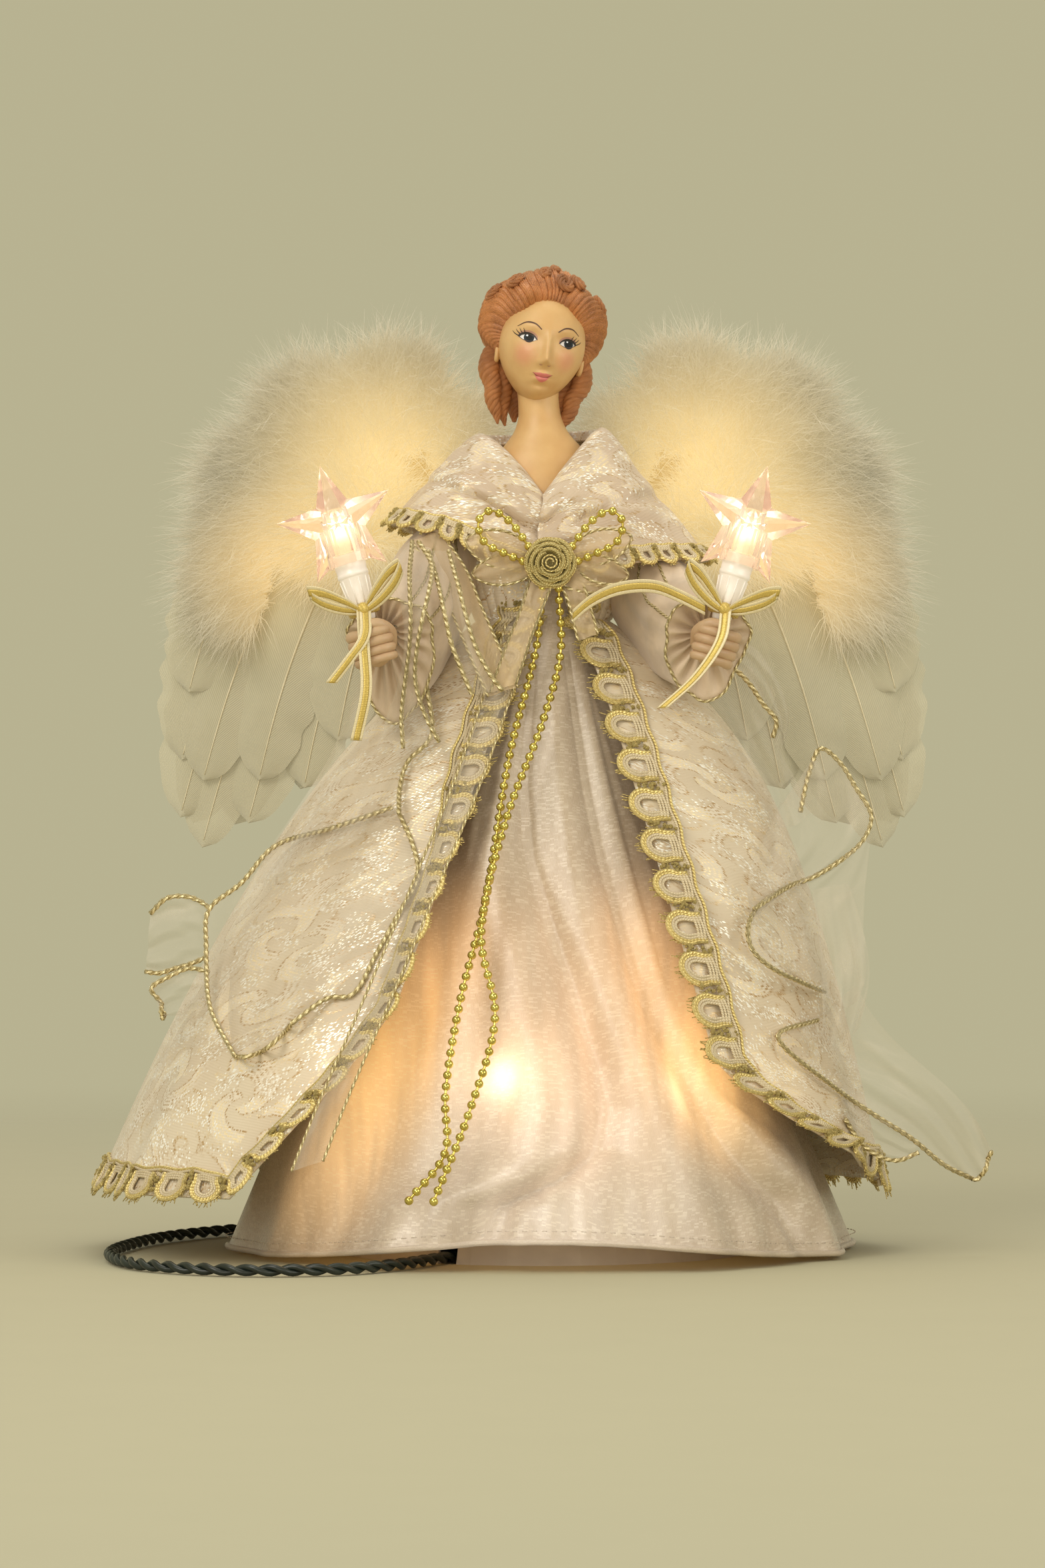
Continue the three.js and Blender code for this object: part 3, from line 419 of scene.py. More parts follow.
@dataclass(frozen=True)
class Satin:
    """Ivory satin, lit from behind by small lamps."""

    name: str
    colour: Colour
    shade: Colour
    glows: tuple[Glow, ...] = ()
    glint: Colour = (0.90, 0.80, 0.62)
    stitch: tuple[float, float] = (1.3, 0.45)

    def make(self) -> bpy.types.Material:
        """Build the material."""
        shader = Shader(self.name)
        marks = shader.coords("UV")
        weft = shader.node(
            "VectorMath", {"operation": "SNAP"}, {0: shader.scaled(marks, 100.0), 1: (*self.stitch, 1.0)}
        )
        # Random stitches are picked for painted glints.
        sparkle = shader.node("TexWhiteNoise", {"noise_dimensions": "2D"}, {"Vector": weft}).smooth(0.55, 1.0)
        threads = shader.noise(shader.scaled(marks, (900.0, 60.0, 1.0)), 1.0, 2.0)
        slubs = shader.noise(shader.scaled(marks, (9.0, 4.0, 1.0)), 1.0, 2.0)
        streaks = shader.noise(shader.scaled(marks, (11.0, 1.6, 1.0)), 1.0, 2.0).smooth(0.25, 0.75)
        light = shader.scaled(shader.glows(self.glows), streaks * 0.55 + 0.65)
        return shader.surface({
            # The cloth's tone, mixed towards the glint colour on the picked stitches: painted glints.
            "Base Color": shader.mix(
                sparkle * 0.28, shader.mix(slubs.smooth(0.3, 0.7), self.shade, self.colour), self.glint
            ),
            "Roughness": 0.27 + (threads - 0.5) * 0.14 - sparkle * 0.06,
            "Specular IOR Level": 0.7,
            "Sheen Weight": 0.15,
            "Sheen Roughness": 0.4,
            "Normal": shader.bump(threads * 0.3 + slubs, 0.3, 0.5),
            "Emission Color": light,
            "Emission Strength": 1.0,
        })


@dataclass(frozen=True)
class Brocade:
    """Champagne brocade: a ribbed ground with plumes, curls and sprays woven stitch by stitch in metal, with
    painted glints on random stitches.
    """

    name: str
    ground: Colour = (0.69, 0.585, 0.405)
    deep: Colour = (0.61, 0.50, 0.335)
    leaf: Colour = (0.79, 0.70, 0.53)
    thread: Colour = (0.98, 0.79, 0.44)
    copper: Colour = (0.50, 0.33, 0.15)
    spark: Colour = (1.0, 0.97, 0.84)
    motif: float = 27.0
    stitch: tuple[float, float] = (0.42, 0.6)
    glows: tuple[Glow, ...] = ()

    def scrolls(self, shader: Shader, place: Signal, turns: float, arms: float) -> tuple[Signal, Signal]:
        """Curled bands, one scroll in each cell of a loose grid.

        Args:
            shader: The shader.
            place: Position in cells.
            turns: How tightly a scroll winds.
            arms: How many bands start at its middle.

        Returns:
            Place across a band from 0 to 1, and how much of the scroll is there.
        """
        settings = {"voronoi_dimensions": "2D", "feature": "F1"}
        cell = shader.node("TexVoronoi", settings, {"Vector": place, "Scale": 1.0, "Randomness": 0.45})
        from_middle = shader.node(
            "VectorMath", {"operation": "SUBTRACT"}, {0: place, 1: cell.out("Position")}
        )
        split = shader.node("SeparateXYZ", None, {0: from_middle})
        turn = split.math("ARCTAN2", split.out("Y"), split.out("X")) / TAU
        away = cell.out("Distance")
        lean = shader.node("SeparateColor", None, {0: cell.out("Color")})
        wind = (turn * arms + (away ** 0.6) * turns + lean.out(0)).fract()
        return wind, away.smooth(0.58, 0.42) * away.smooth(0.03, 0.08)

    def make(self) -> bpy.types.Material:
        """Build the material."""
        shader = Shader(self.name)
        cloth = shader.scaled(shader.coords("UV"), 100.0)
        woven = shader.node("VectorMath", {"operation": "SNAP"}, {0: cloth, 1: (*self.stitch, 1.0)})
        marks = shader.scaled(woven, 1.0 / self.motif)
        chance = shader.node("TexWhiteNoise", {"noise_dimensions": "2D"}, {"Vector": woven})
        wobble = shader.noise(marks, 1.3, 2.0).out("Color")
        place = shader.node(
            "VectorMath", {"operation": "MULTIPLY_ADD"}, {0: wobble, 1: (0.2, 0.2, 0.0), 2: marks}
        )
        wind, there = self.scrolls(shader, place, 2.0, 2.0)
        across = abs(wind - 0.5)
        band = across.smooth(0.27, 0.24) * there
        outline = abs(across - 0.25).smooth(0.045, 0.02) * there
        comb = abs((wind * 10.0).fract() - 0.5).smooth(0.26, 0.16) * band
        curl, inside = self.scrolls(shader, shader.scaled(place, 2.1), 2.6, 1.0)
        line = abs(curl - 0.5).smooth(0.15, 0.1) * inside * (1 - there)
        crowd = shader.noise(marks, 2.4, 2.0).smooth(0.43, 0.68)
        spray = (chance + crowd * 0.62).smooth(0.99, 1.01)
        sewn = chance.smooth(0.22, 0.24)
        figure = (comb.most(outline).most(line) * sewn).most(spray)
        tone = shader.noise(marks, 1.7, 1.0).smooth(0.40, 0.56) * (1 - outline) * (1 - line * 0.7)
        # Random stitches are picked for painted glints.
        glint = shader.node("TexWhiteNoise", {"noise_dimensions": "3D"}, {"Vector": woven}).smooth(0.45, 0.65)
        # On picked spray stitches the thread colour gives way to a near-white painted glint.
        gilt = shader.mix(spray * glint, shader.mix(tone, self.copper, self.thread), self.spark)
        rib = (shader.node("SeparateXYZ", None, {0: cloth}).out("Y") * (TAU / 0.9)).sine()
        sheen = shader.noise(marks, 0.7, 2.0).smooth(0.35, 0.7)
        ground = shader.mix(band * 0.6, shader.mix(sheen, self.deep, self.ground), self.leaf)
        # Picked stitches show their thread colour in full, a painted glint.
        metal = figure * (0.45 + glint * 0.55)
        return shader.surface({
            "Base Color": shader.mix(metal, ground, gilt),
            "Roughness": 0.42 - metal * 0.2,
            "Metallic": metal * 0.2,
            "Sheen Weight": 0.15,
            "Normal": shader.bump(rib * 0.1 + metal * chance * 0.8, 0.25, 0.6),
            "Emission Color": shader.glows(self.glows),
            "Emission Strength": 1.0 if self.glows else 0.0,
        })


@dataclass(frozen=True)
class Organza:
    """Sheer stiff cloth that lets most of the light through."""

    name: str = "sheer_organza"
    colour: Colour = (0.73, 0.655, 0.50)
    shade: Colour = (0.61, 0.525, 0.375)
    cover: float = 0.18

    def make(self) -> bpy.types.Material:
        """Build the material."""
        shader = Shader(self.name)
        marks = shader.coords("UV")
        cross = shader.noise(shader.scaled(marks, (500.0, 40.0, 1.0)), 1.0, 2.0)
        along = shader.noise(shader.scaled(marks, (40.0, 500.0, 1.0)), 1.0, 2.0)
        weave = cross.most(along)
        creases = shader.noise(shader.scaled(marks, (10.0, 4.0, 1.0)), 1.0, 3.0)
        return shader.surface({
            "Base Color": shader.mix(creases, self.shade, self.colour),
            "Roughness": 0.38 + weave * 0.1,
            "Sheen Weight": 0.4,
            "Alpha": self.cover + (weave - 0.55) * 0.2 + creases.smooth(0.46, 0.7) * 0.2,
            "Normal": shader.bump(creases + weave * 0.2, 0.6, 0.5),
        })


@dataclass(frozen=True)
class GoldThread:
    """Metal thread, cord or ribbon, darker in the hollows of its twist as painted shade and flecked with
    bright painted glints.
    """

    name: str
    colour: Colour = (0.62, 0.46, 0.16)
    shade: Colour = (0.36, 0.25, 0.07)
    roughness: float = 0.32
    metallic: float = 0.85
    pitch: float = 1.1
    fleck: float = 1.0

    def make(self) -> bpy.types.Material:
        """Build the material."""
        shader = Shader(self.name)
        split = shader.node("SeparateXYZ", None, {0: shader.coords("UV")})
        twist = ((split * 3.0 + split.out("Y") * (100.0 / self.pitch)) * TAU).sine() * 0.5 + 0.5
        glint = shader.noise(shader.coords("Object"), 1300.0, 2.0)
        # Low in the hollows of the twist, a painted shade; high on random flecks, painted glints.
        share = ((twist * 0.5 + glint * 0.9 - 0.7) * (1.6 * self.fleck) + 0.62).smooth(0.1, 1.0)
        return shader.surface({
            "Base Color": shader.mix(share, self.shade, self.colour),
            "Roughness": self.roughness + (glint - 0.5) * 0.3,
            "Metallic": self.metallic,
            "Normal": shader.bump(twist + glint, 0.25, 0.8 * self.fleck),
        })


@dataclass(frozen=True)
class Acrylic:
    """Clear moulded acrylic that glows from the bulb inside it."""

    name: str
    glows: tuple[Glow, ...]
    tint: Colour = (1.0, 0.95, 0.91)

    def make(self) -> bpy.types.Material:
        """Build the material."""
        shader = Shader(self.name)
        ripple = shader.noise(shader.coords("Object"), 260.0, 2.0)
        return shader.surface({
            "Base Color": self.tint,
            "Roughness": 0.03 + ripple * 0.05,
            "IOR": 1.49,
            "Transmission Weight": 0.94,
            "Normal": shader.bump(ripple, 0.12, 0.3),
            "Emission Color": shader.glows(self.glows),
            "Emission Strength": 1.0,
        })


@dataclass(frozen=True)
class LitGlass:
    """A lit bulb, brightest at its filament."""

    name: str = "lit_bulb"
    colour: Colour = (1.0, 0.72, 0.36)
    strength: float = 9.0

    def make(self) -> bpy.types.Material:
        """Build the material."""
        shader = Shader(self.name)
        flicker = shader.noise(shader.coords("Object"), 300.0, 1.0)
        return shader.surface({
            "Base Color": (0.9, 0.8, 0.6),
            "Roughness": 0.15,
            "Emission Color": shader.mix(flicker, self.colour, (1.0, 0.84, 0.55)),
            "Emission Strength": self.strength,
        })


@dataclass(frozen=True)
class Plume:
    """White feather with fine barbs, warmed by a lamp behind the wing."""

    name: str
    colour: Colour = (0.80, 0.77, 0.68)
    shade: Colour = (0.62, 0.57, 0.46)
    barbs: float = 0.0
    cover: float = 1.0
    glows: tuple[Glow, ...] = ()

    def make(self) -> bpy.types.Material:
        """Build the material."""
        shader = Shader(self.name)
        split = shader.node("SeparateXYZ", None, {0: shader.coords("UV")})
        lean = abs(split.out("X")) * 1.2 + split.out("Y")
        barb = (lean * self.barbs).sine() * 0.5 + 0.5 if self.barbs else shader.noise(split.out("X"), 8.0)
        cloud = shader.noise(shader.coords("Object"), 90.0)
        share = (cloud + barb * 0.3).smooth(0.3, 0.8)
        values = {
            "Base Color": shader.mix(share, self.shade, self.colour),
            "Roughness": 0.7 + (cloud - 0.5) * 0.1,
            "Sheen Weight": 0.25,
            "Emission Color": shader.glows(self.glows),
            "Emission Strength": 1.0,
        }
        if self.barbs:
            values["Normal"] = shader.bump(barb, 0.25, 0.5)
            values["Alpha"] = self.cover + (barb - 0.5) * 0.12
        return shader.surface(values)


def blend(first: np.ndarray, second: np.ndarray, share: np.ndarray) -> np.ndarray:
    """A straight blend of two values or arrays."""
    return first + (second - first) * share


def step(value: np.ndarray, low: float, high: float) -> np.ndarray:
    """A soft step from 0 at low to 1 at high."""
    t = np.clip((value - low) / (high - low), 0.0, 1.0)
    return t * t * (3 - 2 * t)


def polar(angle: np.ndarray, radius: np.ndarray, height: np.ndarray) -> np.ndarray:
    """Points about the upright middle line, angle 0 at the front.

    Args:
        angle: Angle towards the right, in radians.
        radius: Distance from the middle line.
        height: Height above the rim.

    Returns:
        The points.
    """
    angle, radius, height = np.broadcast_arrays(angle, radius, height)
    return np.stack([radius * np.sin(angle), -radius * np.cos(angle), height], -1)


def through(points: Sequence, shares: np.ndarray) -> np.ndarray:
    """Centripetal curve through points, each span taking the same share.

    Args:
        points: The points, first axis along the curve.
        shares: Where to look the curve up, from 0 to 1.

    Returns:
        One point for each share.
    """
    p = np.asarray(points, float)
    ends = np.concatenate([2 * p[:1] - p[1:2], p, 2 * p[-1:] - p[-2:-1]])
    found = []
    for place in np.clip(np.atleast_1d(shares), 0, 1) * (len(p) - 1):
        i = min(int(place), len(p) - 2)
        s = place - i
        a, b, c, d = ends[i : i + 4]
        gaps = [np.linalg.norm(q - r, axis=-1, keepdims=True) ** 0.5 for q, r in ((b, a), (c, b), (d, c))]
        g0, g1, g2 = (np.maximum(g, 1e-4) for g in gaps)
        leave = g1 * ((b - a) / g0 - (c - a) / (g0 + g1) + (c - b) / g1)
        reach = g1 * ((c - b) / g1 - (d - b) / (g1 + g2) + (d - c) / g2)
        found.append(
            (2 * s**3 - 3 * s**2 + 1) * b + (s**3 - 2 * s**2 + s) * leave
            + (3 * s**2 - 2 * s**3) * c + (s**3 - s**2) * reach
        )
    return np.array(found)


def evenly(path: np.ndarray, count: int) -> np.ndarray:
    """The same line with points at even distances.

    Args:
        path: Points along the line.
        count: Number of points wanted.

    Returns:
        The new points.
    """
    along = np.concatenate([[0.0], np.cumsum(np.linalg.norm(np.diff(path, axis=0), axis=1))])
    wanted = np.linspace(0, along[-1], count)
    return np.stack([np.interp(wanted, along, path[:, k]) for k in range(path.shape[1])], -1)


def smooth_line(points: Sequence, count: int) -> np.ndarray:
    """A smooth curve through points, evenly spaced."""
    return evenly(through(points, np.linspace(0, 1, 24 * len(points))), count)


def length_of(path: np.ndarray) -> float:
    """Length of a line of points."""
    return float(np.linalg.norm(np.diff(path, axis=0), axis=1).sum())


def unit(vectors: np.ndarray) -> np.ndarray:
    """Vectors brought to length one."""
    return vectors / np.maximum(np.linalg.norm(vectors, axis=-1, keepdims=True), 1e-9)


def frames(path: np.ndarray) -> tuple[np.ndarray, np.ndarray, np.ndarray]:
    """Directions along a line and two across it that don't twist.

    Args:
        path: Points along the line.

    Returns:
        Tangents and the two cross directions.
    """
    along = unit(np.gradient(path, axis=0))
    first = np.array([0.0, 0.0, 1.0]) if abs(along[0][2]) < 0.9 else np.array([1.0, 0.0, 0.0])
    across = np.zeros_like(path)
    for i, t in enumerate(along):
        first = first - t * first.dot(t)
        first = first / np.linalg.norm(first)
        across[i] = first
    return along, across, np.cross(along, across)


def grid_normals(points: np.ndarray, closed: bool) -> np.ndarray:
    """Normals of a grid of points.

    Args:
        points: Grid of rows and columns.
        closed: Whether the columns close on themselves.

    Returns:
        One unit vector for each point, pointing along columns cross rows.
    """
    if closed:
        wide = np.concatenate([points[:, -1:], points, points[:, :1]], 1)
        along = (wide[:, 2:] - wide[:, :-2]) / 2
    else:
        along = np.gradient(points, axis=1)
    return unit(np.cross(np.gradient(points, axis=0), along))


class Draft:
    """Faces gathered in millimetres before they become one mesh."""

    def __init__(self) -> None:
        """Start empty."""
        self.places: list[np.ndarray] = []
        self.marks: list[np.ndarray] = []
        self.faces: list[tuple[np.ndarray, int]] = []
        self.count = 0

    def add(
        self, places: np.ndarray, faces: np.ndarray, slot: int = 0, marks: np.ndarray | None = None
    ) -> None:
        """Add points and faces.

        Args:
            places: Points, one in each row.
            faces: Indices of each face's corners.
            slot: Material slot.
            marks: Flat coordinates of the points, in units of 100 mm.
        """
        places = np.asarray(places, float).reshape(-1, 3)
        self.places.append(places)
        self.marks.append(places[:, [0, 2]] / 100 if marks is None else np.asarray(marks).reshape(-1, 2))
        self.faces.append((np.asarray(faces, int) + self.count, slot))
        self.count += len(places)

    def grid(
        self, points: np.ndarray, closed: bool = False, slot: int = 0, marks: np.ndarray | None = None
    ) -> None:
        """Add a sheet of quads.

        Args:
            points: Grid of rows and columns of points.
            closed: Whether the columns close on themselves.
            slot: Material slot.
            marks: Flat coordinates, or none to measure them along the sheet.
        """
        rows, columns = points.shape[:2]
        if marks is None:
            marks = self.measured(points)
        j, i = np.meshgrid(np.arange(rows - 1), np.arange(columns if closed else columns - 1), indexing="ij")
        k = (i + 1) % columns
        corners = [j * columns + i, (j + 1) * columns + i, (j + 1) * columns + k, j * columns + k]
        self.add(points, np.stack([c.ravel() for c in corners], -1), slot, marks)

    @staticmethod
    def measured(points: np.ndarray) -> np.ndarray:
        """Flat coordinates of a sheet, measured along its rows from the middle and down its columns."""
        across = np.linalg.norm(np.diff(points, axis=1), axis=-1)
        across = np.concatenate([np.zeros((len(points), 1)), np.cumsum(across, 1)], 1)
        across -= across[:, -1:] / 2
        down = np.linalg.norm(np.diff(points, axis=0), axis=-1)
        down = np.concatenate([np.zeros((1, points.shape[1])), np.cumsum(down, 0)], 0)
        return np.stack([across, down], -1) / 100

    def cloth(self, points: np.ndarray, thickness: float, closed: bool = False, slot: int = 0) -> None:
        """Add a sheet with a front, a back and edges.

        Args:
            points: Grid of rows and columns of points on its back.
            thickness: Its thickness.
            closed: Whether the columns close on themselves.
            slot: Material slot.
        """
        rows, columns = points.shape[:2]
        top = points + grid_normals(points, closed) * thickness
        marks = self.measured(points)
        base = self.count
        self.grid(points[:, ::-1] if not closed else points[:, ::-1], closed, slot, marks[:, ::-1])
        self.grid(top, closed, slot, marks)
        back = np.arange(rows * columns).reshape(rows, columns)[:, ::-1]
        front = np.arange(rows * columns).reshape(rows, columns) + rows * columns
        walls = []
        lines = [(back[0], front[0]), (back[-1][::-1], front[-1][::-1])]
        if not closed:
            lines += [(back[::-1, 0], front[::-1, 0]), (back[:, -1], front[:, -1])]
        for low, high in lines:
            ends = len(low)
            for n in range(ends if closed else ends - 1):
                m = (n + 1) % ends
                walls.append((low[n], high[n], high[m], low[m]))
        self.faces.append((np.array(walls) + base, slot))

    def tube(
        self, path: np.ndarray, radius: float | np.ndarray, sides: int = 8, slot: int = 0, flat: float = 1.0,
        closed: bool = False,
    ) -> None:
        """Add a tube with closed ends along a line.

        Args:
            path: Points along the line.
            radius: One radius, or one for each point.
            sides: Corners of its section.
            slot: Material slot.
            flat: Height of the section as a share of its width.
            closed: Whether the line ends where it starts.
        """
        _, across, up = frames(path)
        radius = np.broadcast_to(radius, len(path))[:, None, None]
        turn = np.linspace(0, TAU, sides, endpoint=False)
        ring = across[:, None] * np.cos(turn)[None, :, None]
        ring = ring + flat * up[:, None] * np.sin(turn)[None, :, None]
        points = path[:, None] + radius * ring
        along = np.concatenate([[0.0], np.cumsum(np.linalg.norm(np.diff(path, axis=0), axis=1))])
        around = np.broadcast_to(turn / TAU, (len(path), sides))
        marks = np.stack([around, np.broadcast_to(along[:, None] / 100, around.shape)], -1)
        base = self.count
        self.grid(points, True, slot, marks)
        if closed:
            return
        for row, order in ((0, 1), (len(path) - 1, -1)):
            self.add(path[row : row + 1], np.empty((0, 3), int), slot, marks[row, :1])
            ring_index = base + row * sides + np.arange(sides)[::order]
            tip = self.count - 1
            fan = [(tip, ring_index[n], ring_index[(n + 1) % sides]) for n in range(sides)]
            self.faces.append((np.array(fan), slot))

    def ball(
        self, middle: Sequence[float], radii: Sequence[float], rings: int = 6, sides: int = 10,
        slot: int = 0,
    ) -> None:
        """Add an ellipsoid.

        Args:
            middle: Its middle.
            radii: Its three half sizes.
            rings: Rows of faces.
            sides: Faces round it.
            slot: Material slot.
        """
        polar_angle = np.linspace(0.0, math.pi, rings + 1)[1:-1, None]
        turn = np.linspace(0, TAU, sides, endpoint=False)[None]
        unit_points = np.stack([
            np.sin(polar_angle) * np.cos(turn),
            np.sin(polar_angle) * np.sin(turn),
            np.cos(polar_angle) + 0 * turn,
        ], -1)
        points = np.asarray(middle) + unit_points * np.asarray(radii)
        base = self.count
        self.grid(
            points, True, slot,
            np.stack([np.broadcast_to(turn / TAU, points.shape[:2]), unit_points[..., 2]], -1),
        )
        for sign, row in ((1, 0), (-1, rings - 2)):
            pole = np.asarray(middle) + np.array([[0, 0, sign * radii[2]]])
            self.add(pole, np.empty((0, 3), int), slot, [[0, sign]])
            ring_index = base + row * sides + np.arange(sides)[::sign]
            tip = self.count - 1
            fan = [(tip, ring_index[n], ring_index[(n + 1) % sides]) for n in range(sides)]
            self.faces.append((np.array(fan), slot))

    def beads(
        self, middles: np.ndarray, radius: float, rings: int = 6, sides: int = 10, slot: int = 0
    ) -> None:
        """Add a round bead at each point."""
        for middle in middles:
            self.ball(middle, (radius, radius, radius), rings, sides, slot)

    def turned(
        self, profile: Sequence[tuple[float, float]], sides: int, move: Callable, slot: int = 0
    ) -> None:
        """Add a shape turned about an axis.

        Args:
            profile: Radius and height of each ring, from the bottom up.
            sides: Faces round it.
            move: Takes local points to the frame.
            slot: Material slot.
        """
        rows = np.asarray(profile, float)
        turn = np.linspace(0, TAU, sides, endpoint=False)[None]
        local = np.stack([
            rows[:, :1] * np.cos(turn), rows[:, :1] * np.sin(turn), rows[:, 1:] + 0 * turn
        ], -1)[::-1]
        self.grid(move(local.reshape(-1, 3)).reshape(local.shape), True, slot)

    def build(
        self, name: str, materials: Sequence[bpy.types.Material], smooth: bool = True
    ) -> bpy.types.Object:
        """Make the mesh and its object.

        Args:
            name: The object's name.
            materials: One material for each slot.
            smooth: Whether its faces are shaded smooth.

        Returns:
            The object, linked to the scene.
        """
        mesh = bpy.data.meshes.new(name)
        places = np.concatenate(self.places) * MM
        marks = np.concatenate(self.marks).astype(np.float32)
        faces = [(f, s) for f, s in self.faces if len(f)]
        loops = np.concatenate([f.ravel() for f, _ in faces])
        sizes = np.concatenate([np.full(len(f), f.shape[1]) for f, _ in faces])
        slots = np.concatenate([np.full(len(f), s) for f, s in faces])
        starts = np.concatenate([[0], np.cumsum(sizes)[:-1]])
        mesh.vertices.add(len(places))
        mesh.vertices.foreach_set("co", places.astype(np.float32).ravel())
        mesh.loops.add(len(loops))
        mesh.loops.foreach_set("vertex_index", loops.astype(np.int32))
        mesh.polygons.add(len(sizes))
        mesh.polygons.foreach_set("loop_start", starts.astype(np.int32))
        mesh.polygons.foreach_set("material_index", slots.astype(np.int32))
        mesh.polygons.foreach_set("use_smooth", np.full(len(sizes), smooth))
        layer = mesh.uv_layers.new(name="UVMap")
        layer.data.foreach_set("uv", marks[loops].ravel())
        for material in materials:
            mesh.materials.append(material)
        mesh.update(calc_edges=True)
        made = bpy.data.objects.new(name, mesh)
        bpy.context.scene.collection.objects.link(made)
        LOG.info("%s: %d faces", name, len(sizes))
        return made


def flat_size(points: np.ndarray, closed: bool = False) -> tuple[tuple[float, float], float]:
    """The cut of a sheet, from its grid.

    Args:
        points: Grid of rows and columns, in millimetres.
        closed: Whether the columns close on themselves.

    Returns:
        Width and length in metres, and the flat area in square metres.
    """
    wide = np.concatenate([points, points[:, :1]], 1) if closed else points
    across = np.linalg.norm(np.diff(wide, axis=1), axis=-1)
    down = np.linalg.norm(np.diff(points, axis=0), axis=-1)
    a, b, c, d = wide[:-1, :-1], wide[1:, :-1], wide[1:, 1:], wide[:-1, 1:]
    first = np.linalg.norm(np.cross(b - a, c - a), axis=-1)
    second = np.linalg.norm(np.cross(c - a, d - a), axis=-1)
    area = float((first + second).sum()) / 2 * MM * MM
    width = float(across.sum(1).max()) * MM
    length = float(down.sum(0).max()) * MM
    return (width, max(length, area / width)), area


def declare_sheet(
    obj: bpy.types.Object, grids: Sequence[np.ndarray],
    closed: bool = False,
) -> None:
    """Work out the flat size of a piece of cloth from its grids, cut side by side from one width, and log it.

    Args:
        obj: The cloth.
        grids: The grids that it was made from.
        closed: Whether the grids' columns close on themselves.
    """
    cuts = [flat_size(points, closed) for points in grids]
    area = sum(cut[1] for cut in cuts)
    width = max(cut[0][0] for cut in cuts)
    flat = (width, max(area / width, max(cut[0][1] for cut in cuts)))
    LOG.info("%s: cut %.0f x %.0f mm", obj.name, flat[0] / MM, flat[1] / MM)


def settle(obj: bpy.types.Object, body: str, slot: str, *nodes: str) -> bpy.types.Object:
    """Put a piece on its body and hide the nodes that it stands for."""
    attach(obj, body)
    if nodes:
        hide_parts(*nodes)
    return obj


@dataclass(frozen=True)
class GownForm:
    """The gown's surfaces, as radii about the middle line."""

    cone_base: float = 62.0
    cone_top: float = 15.0
    cone_height: float = 196.0
    waist: float = 188.0
    gap: float = 0.3
    skirt_flare: float = 27.0
    skirt_fold: float = 5.0
    coat_left: float = 45.0
    coat_right: float = 38.0
    coat_back: float = 10.0
    coat_fold: float = 3.0
    coat_clear: float = 1.4
    coat_thick: float = 1.0
    coat_top: float = 207.0
    coat_hem: float = 20.0

    def fall(self, z: np.ndarray) -> np.ndarray:
        """How far down from the waist a height is, from 0 to 1."""
        return np.clip((self.waist - z) / self.waist, 0.0, 1.0)

    def bodice(self, points: np.ndarray) -> np.ndarray:
        """Points above the waist, widened towards the shoulders and drawn in at the front and back."""
        share = np.clip((points[..., 2:] - self.waist) / 18.0, 0.0, 1.0)
        return points * (1 + np.concatenate([0.36 * share, -0.2 * share, 0 * share], -1))

    def skirt_flat(self, z: np.ndarray) -> np.ndarray:
        """The skirt's radius without folds."""
        low = np.minimum(z, self.waist)
        cone = self.cone_base + (self.cone_top - self.cone_base) * low / self.cone_height
        return cone + self.gap + self.skirt_flare * self.fall(z)

    def coat_radius(self, angle: np.ndarray, z: np.ndarray) -> np.ndarray:
        """The coat's inner radius.

        Args:
            angle: Angle from the front towards the right.
            z: Height.

        Returns:
            The radius.
        """
        t = self.fall(z)
        left = self.coat_left * (1 - np.exp(-3.6 * t)) * np.maximum(0, -np.sin(angle)) ** 1.5
        shape = (1 - np.exp(-6 * t)) * (1 - 0.85 * t**1.4)
        right = self.coat_right * shape * np.maximum(0, np.sin(angle)) ** 1.5
        back = self.coat_back * (1 - np.exp(-4 * t)) * np.maximum(0, -np.cos(angle)) ** 2
        fold = self.coat_fold * t * (0.5 + 0.5 * np.cos(7 * angle + 1))
        return self.skirt_flat(z) + self.skirt_fold * t + self.coat_clear + left + right + back + fold

    def right_edge(self, z: np.ndarray) -> np.ndarray:
        """Angle of the coat's right front edge."""
        t = self.fall(z)
        closed = 20 * step(np.asarray(z, float), 180.0, 204.0)
        return np.radians(30 + 8 * t + 45 * np.clip((t - 0.68) / 0.2, 0, 1) ** 1.5 - closed)

    def left_edge(self, z: np.ndarray) -> np.ndarray:
        """Angle of the coat's left front edge."""
        t = self.fall(z)
        closed = 9 * step(np.asarray(z, float), 180.0, 204.0)
        return -np.radians(15 + 22 * t**0.6 + 14 * np.clip((t - 0.6) / 0.3, 0, 1) - closed)

    def in_front(self, x: np.ndarray, z: np.ndarray, offset: np.ndarray) -> np.ndarray:
        """Points in front of the coat that are seen at x and z; past its outline they go straight out.

        Args:
            x: Sideways place.
            z: Height.
            offset: Distance from the coat's outer face.

        Returns:
            The points.
        """
        x, z, offset = np.broadcast_arrays(np.asarray(x, float), z, offset)
        angle = np.zeros_like(x)
        for _ in range(12):
            radius = self.coat_radius(angle, z) + self.coat_thick + offset
            angle = np.arcsin(np.clip(x / radius, -0.94, 0.94))
        points = polar(angle, radius, z)
        past = x - points[..., 0]
        points[..., 0] = x
        points[..., 1] += 0.25 * np.abs(past)
        return points


FORM = GownForm()


